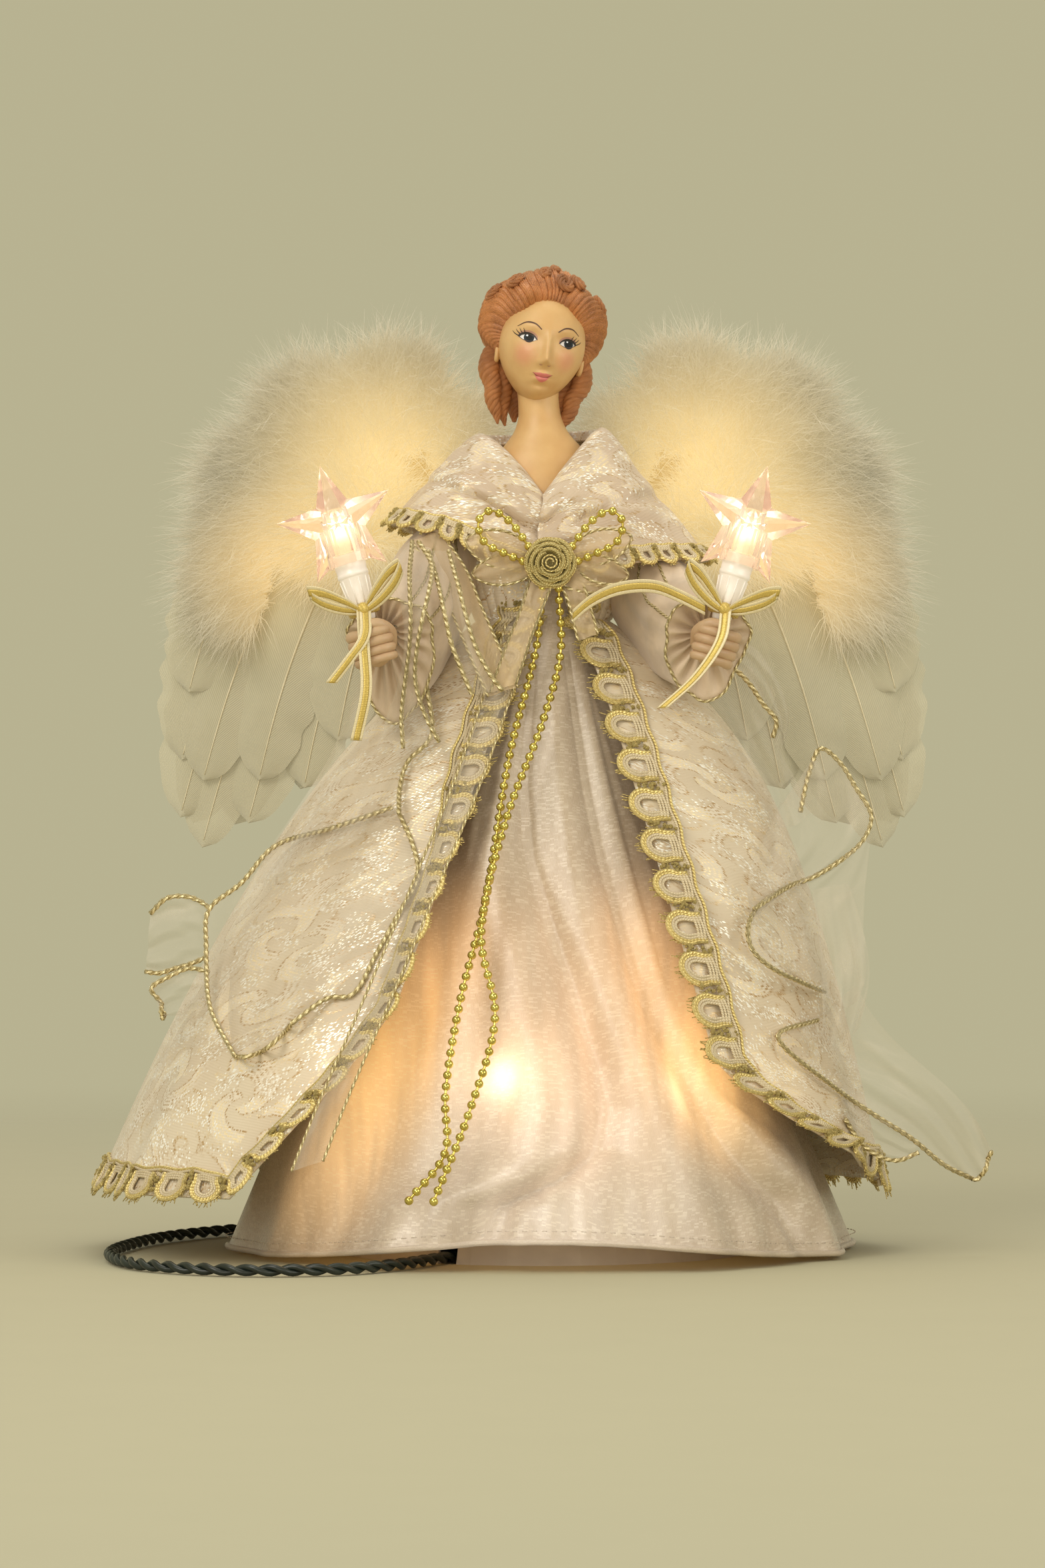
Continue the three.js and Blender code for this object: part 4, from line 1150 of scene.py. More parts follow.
@dataclass
class Studio:
    """Camera, floor, plain backdrop colour and soft light."""

    distance: float = 1500.0
    middle: float = -6.2
    level: float = 110.0
    aim: float = 139.7
    frame_height: float = 470.6
    wall: Colour = (0.48, 0.447, 0.285)

    def camera(self) -> None:
        """Set the camera at the photograph's viewing angle."""
        data = bpy.data.cameras.new("camera")
        data.sensor_fit = "VERTICAL"
        data.sensor_height = 36.0
        data.sensor_width = 24.0
        data.lens = 36.0 * self.distance / self.frame_height
        data.clip_end = 20.0
        made = bpy.data.objects.new("camera", data)
        bpy.context.scene.collection.objects.link(made)
        made.location = Vector((self.middle, -self.distance, self.level)) * MM
        target = Vector((self.middle, 0.0, self.aim)) * MM
        made.rotation_euler = (target - made.location).to_track_quat("-Z", "Y").to_euler()
        bpy.context.scene.camera = made

    def floor(self) -> None:
        """Build a plain pale floor that thins out into the backdrop's colour."""
        turn = np.linspace(0, TAU, 96, endpoint=False)[None]
        reach = np.array([1.0, 300.0, 700.0, 1400.0])[:, None]
        draft = Draft()
        draft.grid(np.stack([reach * np.cos(turn), reach * np.sin(turn), 0 * reach * turn], -1), True)
        shader = Shader("pale_floor")
        spot = shader.coords("Object")
        far = shader.node("VectorMath", {"operation": "LENGTH"}, {0: spot}, "Value")
        grain = shader.noise(spot, 40.0)
        finish = shader.surface({
            "Base Color": shader.mix(grain, tuple(0.97 * c for c in self.wall), self.wall),
            "Roughness": 0.9,
            "Alpha": far.smooth(1.3, 0.3),
        })
        draft.build("pale_floor", [finish])

    def lamp(self, name: str, place: Place, size: float, power: float, colour: Colour) -> None:
        """Add a soft square light aimed at the figure.

        Args:
            name: The light's name.
            place: Where it stands.
            size: Its side.
            power: Its power in watts.
            colour: Its colour.
        """
        data = bpy.data.lights.new(name, "AREA")
        data.size = size * MM
        data.energy = power
        data.color = colour
        made = bpy.data.objects.new(name, data)
        bpy.context.scene.collection.objects.link(made)
        made.location = Vector(place) * MM
        made.rotation_euler = (Vector((0, 0, 150)) * MM - made.location).to_track_quat("-Z", "Y").to_euler()

    def light(self) -> None:
        """Light the floor and the figure at a plain level, in front of a plain pale backdrop."""
        scene = bpy.context.scene
        scene.view_settings.view_transform = "Standard"
        room = Shader("soft_room", bpy.data.worlds.new("soft_room"))
        path = room.node("LightPath")
        seen = path.out("Is Camera Ray").most(path.out("Is Glossy Ray")).most(path.out("Is Transmission Ray"))
        lit = room.node("Background", None, {"Color": (1.0, 0.97, 0.91), "Strength": 0.55})
        shown = room.node("Background", None, {"Color": self.wall, "Strength": 1.0})
        room.node("OutputWorld", None, {"Surface": room.node("MixShader", None, {0: seen, 1: lit, 2: shown})})
        scene.world = room.material
        self.lamp("key_light", (-900.0, -1300.0, 1300.0), 900.0, 15.0, (1.0, 0.95, 0.88))
        self.lamp("low_light", (-100.0, -1500.0, 160.0), 700.0, 4.0, (1.0, 0.94, 0.86))
        self.lamp("fill_light", (1200.0, -900.0, 700.0), 900.0, 6.0, (1.0, 0.96, 0.90))
        self.lamp("top_light", (0.0, 300.0, 1500.0), 900.0, 6.0, (1.0, 0.97, 0.92))

    def build(self) -> None:
        """Build the stage."""
        self.camera()
        self.floor()
        self.light()


@dataclass
class LampLead:
    """Twisted twin flex with its coil and plug."""

    radius: float = 1.8
    core: float = 0.95
    twist: float = 13.0
    notch: float = math.radians(-27.0)
    coil_x: float = -8.0
    coil_y: float = 124.0
    coil_radius: float = 22.0
    layer: float = 4.3
    coil_z: float = 3.0
    turns: float = 2.5
    plug_run: float = 24.0

    def route(self) -> np.ndarray:
        """The lead's middle line, from the notch to the plug."""
        z = 2.0
        free = [
            polar(self.notch, 50.5, z), polar(self.notch, 70.0, z), (-43, -84, z), (-60, -100, z),
            (-88, -102, z), (-114, -82, z), (-126, -46, z), (-124, -6, z), (-112, 36, z),
            (-84, 74, z), (-46, 98, z), (-22, 102, 3.0), (-8.3, 102, 3.0),
        ]
        line = through(free, np.linspace(0, 1, 241))
        turn = np.arange(0, self.turns + 1e-9, 1 / 40)
        from_reverse = np.abs(turn - self.turns / 2)
        radius = self.coil_radius - self.layer * (self.turns / 2 - from_reverse)
        radius = radius + np.maximum(0, 0.25 - from_reverse)
        height = self.coil_z + self.layer * step(turn, 1.0, 1.5)
        coil = polar(TAU * turn, radius, height) + (self.coil_x, self.coil_y, 0.0)
        run = coil[-1] + np.linspace(0, 1, 9)[1:, None] * (-self.plug_run, 0.0, 0.0)
        return np.concatenate([line, coil[1:], run])

    def build(self) -> None:
        green = Paint("green_flex", (0.012, 0.020, 0.014), (0.006, 0.011, 0.008), 0.42, coat=0.2).make()
        path = self.route()
        length = length_of(path)
        fine = evenly(path, int(length / 1.2))
        _, across, up = frames(fine)
        turn = np.linspace(0, TAU * length / self.twist, len(fine))[:, None]
        reach = self.radius - self.core
        draft = Draft()
        for start in (0.0, math.pi):
            away = across * np.cos(turn + start) + up * np.sin(turn + start)
            draft.tube(fine + reach * away, self.core, 8)
        lead = settle(draft.build("twin_lead", [green]), "figure", "green_plastic", "mains_lead", "lead_coil")
        plug = self.plug(path[-1], green)
        route = [tuple(MM * p) for p in evenly(path, 320)]
        LOG.info("lead length %.0f mm", length)

    def plug(self, end: np.ndarray, finish: bpy.types.Material) -> bpy.types.Object:
        """Build a moulded plug with a ribbed grip.

        Args:
            end: Where the lead enters it.
            finish: Its material.

        Returns:
            The plug.
        """
        stations = [0.0, 0.2, 1.5, 4.0, 6.0, 8.0, 9.0, 10.0, 11.0, 12.0, 13.0, 14.0, 18.0, 22.5, 23.6, 24.0]
        widths = [2.6, 3.0, 3.4, 4.2, 6.5, 8.5, 8.2, 9.4, 9.0, 10.2, 9.8, 10.8, 11.0, 11.0, 10.6, 9.8]
        heights = [2.4, 2.8, 3.2, 3.8, 4.8, 5.4, 5.2, 5.9, 5.6, 6.2, 6.0, 6.4, 6.5, 6.5, 6.2, 5.6]
        turn = np.linspace(0, TAU, 32, endpoint=False)
        wave = lambda f: np.sign(f) * np.abs(f) ** 0.55
        rows = []
        for s, w, h in zip(stations, widths, heights):
            middle_z = blend(end[2], 6.5, step(np.array(s), 0.0, 6.0))
            h = min(h, middle_z)
            ring = [
                np.full(32, end[0] - 0.3 - s), end[1] + w * wave(np.cos(turn)),
                middle_z + h * wave(np.sin(turn)),
            ]
            rows.append(np.stack(ring, -1))
        rows = [rows[0] * 0 + rows[0].mean(0), *rows, rows[-1] * 0 + rows[-1].mean(0)]
        draft = Draft()
        draft.grid(np.array(rows), True)
        return settle(draft.build("plug_body", [finish]), "figure", "green_plastic", "lead_plug")


@dataclass
class Skirt:
    """Satin skirt with a rolled and stitched hem."""

    rows: int = 120
    columns: int = 440
    thickness: float = 0.6
    top: float = 204.0
    heights: tuple[float, ...] = (188.0, 140.0, 117.0, 83.0, 57.0, 45.0, 33.0, 26.0, 19.0, 5.0)
    folds: tuple[tuple[tuple[float, ...], float, float], ...] = (
        ((-20, -23, -20, -7, -1, 0, -2, -8, -20, -26), 9.0, 7.0),
        ((-8, -10, -6, 7, 13, 14, 11, 3, -8, -13), 4.2, -5.5),
        ((7, 7, 10, 16, 21, 23, 25, 26, 27, 28), 6.5, 5.0),
        ((18, 20, 22, 27, 33, 37, 42, 46, 52, 57), 4.6, -5.0),
        ((28, 30, 33, 38, 43, 47, 54, 58, 64, 70), 7.0, 4.6),
        ((-36, -36, -35, -34, -35, -37, -39, -41, -44, -49), 7.0, -3.2),
        ((-52, -52, -52, -52, -54, -55, -58, -60, -63, -68), 7.0, 3.8),
    )

    def points(self) -> np.ndarray:
        """The skirt's inner face."""
        angle = np.linspace(-math.pi, math.pi, self.columns, endpoint=False)[None]
        v = np.linspace(0, 1, self.rows)[:, None]
        hem = 1 + 7 * np.maximum(0, np.cos(angle)) ** 4
        z = blend(self.top, hem, v)
        t = FORM.fall(z)
        wave = np.cos(9 * angle + 1.2 * np.sin(angle) + 2 * v)
        fold = FORM.skirt_fold * t * (0.5 + 0.5 * wave)
        degrees = np.degrees(angle)
        front = 4.2 * t
        for line, width, depth in self.folds:
            place = np.interp(-z, [-h for h in self.heights], line)
            shape = np.exp(-(((degrees - place) / (width * (0.8 + 0.35 * t))) ** 2))
            front = front + depth * t**0.75 * shape
        pucker = 0.6 * np.sin(47 * angle + 2 * np.sin(5 * angle)) * step(v, 0.86, 1.0)
        front = front + pucker + 0.25 * np.sin(25 * angle + 9 * v) * t
        right, left = np.degrees(FORM.right_edge(z)), np.degrees(FORM.left_edge(z))
        free = step(right - degrees, 0.0, 8.0) * step(degrees - left, 0.0, 8.0)
        front = np.minimum(front, 5.0 * t + 0.6 + 7.0 * t * free)
        open_front = np.exp(-((degrees / 66.0) ** 8))
        radius = FORM.skirt_flat(z) + np.maximum(blend(fold, front, open_front), 0)
        return FORM.bodice(polar(angle, radius, z))

    def build(self) -> None:
        """Build the skirt and its hem."""
        glows = (
            Glow((4.0, -70.0, 74.0), 72.0, (1.0, 0.48, 0.22), 0.2, 1.0),
            Glow((0.0, -88.0, 14.0), 64.0, (1.0, 0.90, 0.80), 0.19, 1.0),
            Glow((18.0, -72.0, 54.0), 46.0, (1.0, 0.56, 0.30), 0.2, 1.0),
            Glow((33.0, -56.0, 94.0), 32.0, (1.0, 0.50, 0.16), 0.38, 1.2),
            Glow((43.0, -60.0, 71.0), 34.0, (1.0, 0.52, 0.15), 0.48, 1.2),
            Glow((50.0, -60.0, 50.0), 34.0, (1.0, 0.55, 0.17), 0.54, 1.2),
            Glow((-32.0, -54.0, 92.0), 32.0, (1.0, 0.50, 0.16), 0.36, 1.2),
            Glow((-42.0, -56.0, 70.0), 36.0, (1.0, 0.52, 0.15), 0.48, 1.2),
            Glow((-50.0, -56.0, 50.0), 36.0, (1.0, 0.55, 0.17), 0.54, 1.2),
            Glow((-58.0, -54.0, 26.0), 38.0, (1.0, 0.58, 0.24), 0.5, 1.2),
            Glow((-12.4, -72.0, 54.0), 36.0, (1.0, 0.62, 0.32), 0.4),
            Glow((-12.4, -72.0, 54.0), 14.0, (1.0, 0.88, 0.62), 0.9),
            Glow((41.0, -66.0, 53.0), 16.0, (1.0, 0.87, 0.58), 0.5),
        )
        satin = Satin("ivory_satin", (0.545, 0.44, 0.31), (0.485, 0.38, 0.26), glows).make()
        points = self.points()
        draft = Draft()
        draft.cloth(points, self.thickness, True)
        skirt = settle(draft.build("skirt_satin", [satin]), "figure", "satin", "satin_skirt")
        edge = np.concatenate([points[-1], points[-1][:1]])
        out = unit(edge * (1, 1, 0))
        trim = Draft()
        trim.tube(edge + out * 0.5 + (0, 0, 0.9), 0.9, 8, closed=True)
        stitches = evenly(edge + out * 1.15 + (0, 0, 4.0), 420)
        for i in range(0, 418, 2):
            trim.tube(stitches[i : i + 2], 0.16, 5)
        hem = settle(trim.build("skirt_hem", [satin]), "figure", "satin")
        declare_sheet(skirt, [points], True)


@dataclass
class Coat:
    """Brocade coat, open at the front."""

    rows: int = 90
    columns: int = 300

    def heights(self) -> np.ndarray:
        """Heights of its rows."""
        upper = np.linspace(FORM.coat_top, FORM.waist, 13)[:-1]
        return np.concatenate([upper, np.linspace(FORM.waist, FORM.coat_hem, self.rows - 12)])

    def point(self, angle: np.ndarray, z: np.ndarray) -> np.ndarray:
        """A point on the coat's inner face, with its fine folds.

        Args:
            angle: Angle from the front.
            z: Height.

        Returns:
            The points.
        """
        t = FORM.fall(z)
        fine = 0.9 * t * (np.sin(17 * angle + 3 * np.sin(3 * t)) + 0.6 * np.sin(29 * angle + 5 * t)) + 1.4 * t
        deep = 2.4 * t * np.maximum(0, np.sin(11 * angle + 1.5 * t)) ** 2
        gather = 0.35 * (1 + np.sin(37 * angle)) * np.exp(-((z - 190.0) / 9.0) ** 2)
        return FORM.bodice(polar(angle, FORM.coat_radius(angle, z) + fine * 0.6 + deep + gather, z))

    def build(self) -> None:
        """Build the coat."""
        z = self.heights()[:, None]
        share = np.linspace(0, 1, self.columns)[None]
        angle = blend(FORM.right_edge(z), FORM.left_edge(z) + TAU, share)
        points = self.point(angle, z)
        glows = (
            Glow((-60.0, -70.0, 48.0), 46.0, (1.0, 0.66, 0.34), 0.08),
            Glow((70.0, -62.0, 52.0), 46.0, (1.0, 0.6, 0.3), 0.10),
        )
        draft = Draft()
        draft.cloth(points, FORM.coat_thick)
        brocade = Brocade("coat_brocade", glows=glows).make()
        coat = settle(draft.build("coat_brocade", [brocade]), "figure", "brocade", "brocade_coat")
        declare_sheet(coat, [points])


@dataclass
class Cape:
    """Brocade shawl cape with a folded collar that leaves a V open at the throat."""

    rows: int = 64
    columns: int = 280
    thickness: float = 0.9
    bands: tuple[tuple[float, ...], ...] = (
        (16.4, 15.4, 12.8, 45.6, 47.2, 24.5, 47.0, 3.0, 1.0),
        (19.0, 17.4, 15.2, 48.2, 50.0, 28.2, 50.0, 1.4, 1.0),
        (25.0, 22.5, 18.2, 43.8, 45.5, 25.0, 46.0, -2.0, 1.1),
        (31.5, 30.0, 20.6, 37.2, 34.0, 19.5, 36.0, -4.0, 1.3),
        (38.5, 38.0, 22.8, 30.0, 24.0, 13.2, 22.0, -4.0, 1.5),
        (46.0, 49.0, 25.5, 21.5, 10.5, 5.0, 3.0, -4.0, 1.7),
    )

    def point(self, u: np.ndarray, v: np.ndarray) -> np.ndarray:
        """Points of the cape; its right front laps over the left.

        Args:
            u: Place round the shoulders, from the right front edge to the left one.
            v: Places from the collar's inside to the lower edge.

        Returns:
            Grid of points.
        """
        rows = []
        for left, right, deep, left_z, right_z, front, back, opening, rise in self.bands:
            gap = math.radians(opening)
            angle = blend(gap, TAU - gap, u)
            sine, cosine = np.sin(angle), np.cos(angle)
            wide = np.where(sine > 0, right, left)
            side = np.where(sine > 0, right_z, left_z)
            radius = 1 / np.hypot(sine / wide, cosine / deep) + 0.8 * (1 - 2 * u) ** 3
            height = blend(np.where(cosine > 0, front, back), side, np.abs(sine) ** rise)
            rows.append(polar(angle, radius, FORM.cone_height + height))
        points = through(rows, v)
        angle = TAU * np.asarray(u)
        drop = np.asarray(v)[:, None]
        front = np.maximum(0, np.cos(angle))
        crease = 1.0 * drop * np.sin(9 * angle + 7 * drop) + 0.7 * drop * np.sin(17 * angle - 9 * drop)
        gather = np.sin(23 * drop + 3.5 * np.cos(2 * angle) + np.sin(5 * angle))
        crease = crease + 2.1 * front**1.5 * gather * step(drop, 0.32, 0.55)
        crease = crease + 1.1 * np.exp(-(((drop - 0.62) / 0.05) ** 2))
        crease = crease - 1.1 * np.exp(-(((drop - 0.7) / 0.05) ** 2))
        out = unit(points * (1, 1, 0))
        return points + out * (crease * 0.75)[..., None]

    def build(self) -> None:
        """Build the cape."""
        points = self.point(np.linspace(0, 1, self.columns), np.linspace(0, 1, self.rows))
        brocade = Brocade(
            "cape_brocade", (0.63, 0.50, 0.345), (0.55, 0.42, 0.28), (0.74, 0.63, 0.47), motif=21.0
        )
        draft = Draft()
        draft.cloth(points, self.thickness)
        cape = settle(draft.build("cape_brocade", [brocade.make()]), "figure", "brocade", "brocade_cape")
        declare_sheet(cape, [points])


@dataclass
class Braid:
    """Looped braid: horseshoes of cream thread on a ribbed band, gold knots between them and gold picots."""

    pitch: float = 13.0
    seed: int = 5
    arches: tuple[tuple[float, float, float, int], ...] = (
        (2.6, 3.2, 0.5, 0), (3.5, 4.0, 0.46, 0), (4.3, 4.7, 0.42, 1), (5.1, 5.5, 0.6, 1),
    )

    def lay(
        self, draft: Draft, path: np.ndarray, out: np.ndarray, inward: np.ndarray, width: np.ndarray
    ) -> None:
        """Lay braid along an edge. Slot 0 is cream thread, slot 1 gold.

        Args:
            draft: Where its faces go.
            path: Points along the edge.
            out: Directions away from the cloth.
            inward: Directions from the edge into the cloth.
            width: Share of the full width at each point.
        """
        along = np.concatenate([[0.0], np.cumsum(np.linalg.norm(np.diff(path, axis=0), axis=1))])
        total = along[-1]
        ways = np.concatenate([path, out, inward * width[:, None]], 1)

        def at(s: np.ndarray, across: np.ndarray, lift: np.ndarray) -> np.ndarray:
            """A place on the braid from its length, width and height."""
            s, across, lift = np.broadcast_arrays(s, across, lift)
            row = np.stack([np.interp(s, along, ways[:, k]) for k in range(9)], -1)
            return row[..., :3] + row[..., 3:6] * lift[..., None] + row[..., 6:] * across[..., None]

        units = max(2, round(total / self.pitch))
        pitch = total / units
        narrow = pitch / 13.0
        s = np.linspace(0, total, 12 * units)
        band = np.stack([at(s, w, 0.3 + 0 * s) for w in np.linspace(6.2, 9.4, 4)], 1)
        draft.cloth(band, 0.3)
        for across, slot in ((9.4, 1), (8.4, 0)):
            draft.tube(at(s, across + 0.35 * np.cos(TAU * s / pitch), 0.75 + 0 * s), 0.42, 6, slot)
        turn = np.linspace(-math.pi / 2, math.pi / 2, 17)
        dice = np.random.default_rng(self.seed)
        for n in range(units):
            middle = (n + 0.5) * pitch
            for half, deep, size, slot in self.arches:
                arch = np.stack([half * narrow * np.sin(turn), 2.6 - deep * np.cos(turn)], -1)
                legs = np.array([(0.0, 7.6), (0.0, 5.0)])
                apart = (half * narrow * 0.86, 0)
                line = np.concatenate([legs - apart, arch, legs[::-1] + apart])
                lift = 0.8 + 0.6 * np.sin(np.linspace(0, math.pi, len(line)))
                draft.tube(at(middle + line[:, 0], line[:, 1], lift), size, 6, slot)
            for across in (5.6, 6.5, 7.4):
                bar = np.linspace(-4.4, 4.4, 9) * narrow
                draft.tube(at(middle + bar, across - 0.03 * bar**2, 1.15 - 0.02 * bar**2), 0.42, 6)
            for across in dice.uniform(0.6, 8.6, 16):
                spot = at(n * pitch + dice.normal(0, 0.75) * narrow, across, 0.9 + dice.uniform(0, 0.8))
                draft.ball(spot, np.full(3, dice.uniform(0.4, 0.75)), 4, 6, 1)
        for place in dice.uniform(0, total, int(2.6 * total)):
            bay = abs(((place / pitch) % 1.0) - 0.5) * 2
            root = 2.6 - 5.6 * math.sqrt(max(0.0, 1 - (bay / 0.85) ** 2))
            spot = at(place, root + dice.normal(0, 0.25), 1.1 + dice.uniform(0, 0.5))
            draft.ball(spot, (0.32, 0.32, 0.32), 4, 5, 1)
            if dice.uniform() < 0.5:
                reach = dice.uniform(1.2, 2.6)
                lean = dice.normal(0, 0.5)
                hair = [at(place + lean * e, root - reach * e, 1.0 + 0.3 * e) for e in (0.0, 0.5, 1.0)]
                draft.tube(np.array(hair), 0.15, 4, 1)


@dataclass
class Trim:
    """Braid on the coat's front edges and hem and on the cape's lower edge."""

    coat: Coat
    cape: Cape
    braid: Braid = field(default_factory=Braid)
    small: Braid = field(default_factory=lambda: Braid(pitch=7.5, seed=8))

    def materials(self) -> list[bpy.types.Material]:
        """Cream and gold thread."""
        cream = GoldThread("cream_thread", (0.80, 0.68, 0.44), (0.62, 0.49, 0.28), 0.45, 0.0, 0.8, 0.8)
        gold = GoldThread("braid_gold", (1.0, 0.82, 0.34), (0.66, 0.48, 0.15), 0.26, 0.3)
        return [cream.make(), gold.make()]

    def coat_edge(self, side: Side) -> tuple[np.ndarray, ...]:
        """The line of a coat front edge and on along the hem to the back.

        Args:
            side: Which edge.

        Returns:
            Points, outward directions, directions into the cloth and shares of the width.
        """
        sign = side.value
        edge = FORM.right_edge if side is Side.RIGHT else FORM.left_edge
        z = np.linspace(193.0, FORM.coat_hem + 1.0, 220)
        front = np.stack([edge(z), z], -1)
        low = np.linspace(float(edge(np.array(FORM.coat_hem))), sign * math.pi, 240)
        hem = np.stack([low, np.full_like(low, FORM.coat_hem + 0.6)], -1)
        spots = np.concatenate([front, hem[6:]])
        inner = np.stack([spots[:, 0] + sign * 0.03, spots[:, 1]], -1)
        inner[len(front):] = hem[6:] + (0.0, 3.0)
        corner = slice(len(front) - 26, len(front) + 14)
        share = step(np.linspace(0, 1, 40), 0.0, 1.0)
        for k, (near, far) in enumerate(((sign * 0.03, 0.0), (0.0, 3.0))):
            inner[corner, k] = spots[corner, k] + blend(near, far, share)
        path = self.coat.point(spots[:, 0], spots[:, 1])
        toward = self.coat.point(inner[:, 0], inner[:, 1])
        inward = unit(toward - path)
        along = unit(np.gradient(path, axis=0))
        out = unit(np.cross(along, inward))
        out = out * np.sign((out * unit(path * (1, 1, 0))).sum(1, keepdims=True))
        width = np.ones(len(path))
        if side is Side.LEFT:
            width = blend(1.0, 0.55, step(-spots[:, 1], -150.0, -110.0))
            width[len(front):] = 0.8
        return path + out * FORM.coat_thick, out, inward, width

    def build(self) -> None:
        """Build the three braids."""
        materials = self.materials()
        for side in Side:
            draft = Draft()
            self.braid.lay(draft, *self.coat_edge(side))
            made = draft.build(f"braid_coat_{side.word}", materials)
            settle(made, "figure", "braid", f"coat_braid_{side.word}")
        u = np.linspace(0.004, 0.996, 400)
        edge = self.cape.point(u, np.array([0.86, 0.93, 1.0]))
        inward = unit(edge[0] - edge[2])
        along = unit(np.gradient(edge[2], axis=0))
        out = unit(np.cross(along, inward))
        out = out * np.sign((out * unit(edge[2] * (1, 1, 0))).sum(1, keepdims=True))
        draft = Draft()
        self.small.lay(draft, edge[2] + out * self.cape.thickness, out, inward, np.full(400, 0.52))
        settle(draft.build("braid_cape", materials), "figure", "braid", "cape_braid")


class SheerPanel:
    """One panel of organza with a gold cord along its free edges."""

    def __init__(self, organza: bpy.types.Material, gold: bpy.types.Material) -> None:
        """Keep the two finishes.

        Args:
            organza: The sheer cloth.
            gold: The cord.
        """
        self.organza = organza
        self.gold = gold

    def cloth(self, name: str, grids: Sequence[np.ndarray]) -> bpy.types.Object:
        """Build sheer cloth from grids of points."""
        draft = Draft()
        for points in grids:
            draft.grid(points)
        return draft.build(name, [self.organza])

    def cords(self, name: str, lines: Sequence[np.ndarray], radius: float = 0.55) -> bpy.types.Object:
        """Build gold cords along lines.

        Args:
            name: The piece's name.
            lines: One line of points for each cord.
            radius: The cord's radius.

        Returns:
            The piece.
        """
        draft = Draft()
        for line in lines:
            path = evenly(line, max(8, int(length_of(line) / 0.9)))
            bumps = radius * (1 + 0.22 * np.sin(np.arange(len(path)) * 2.4))
            draft.tube(path, bumps, 6)
        return draft.build(name, [self.gold])


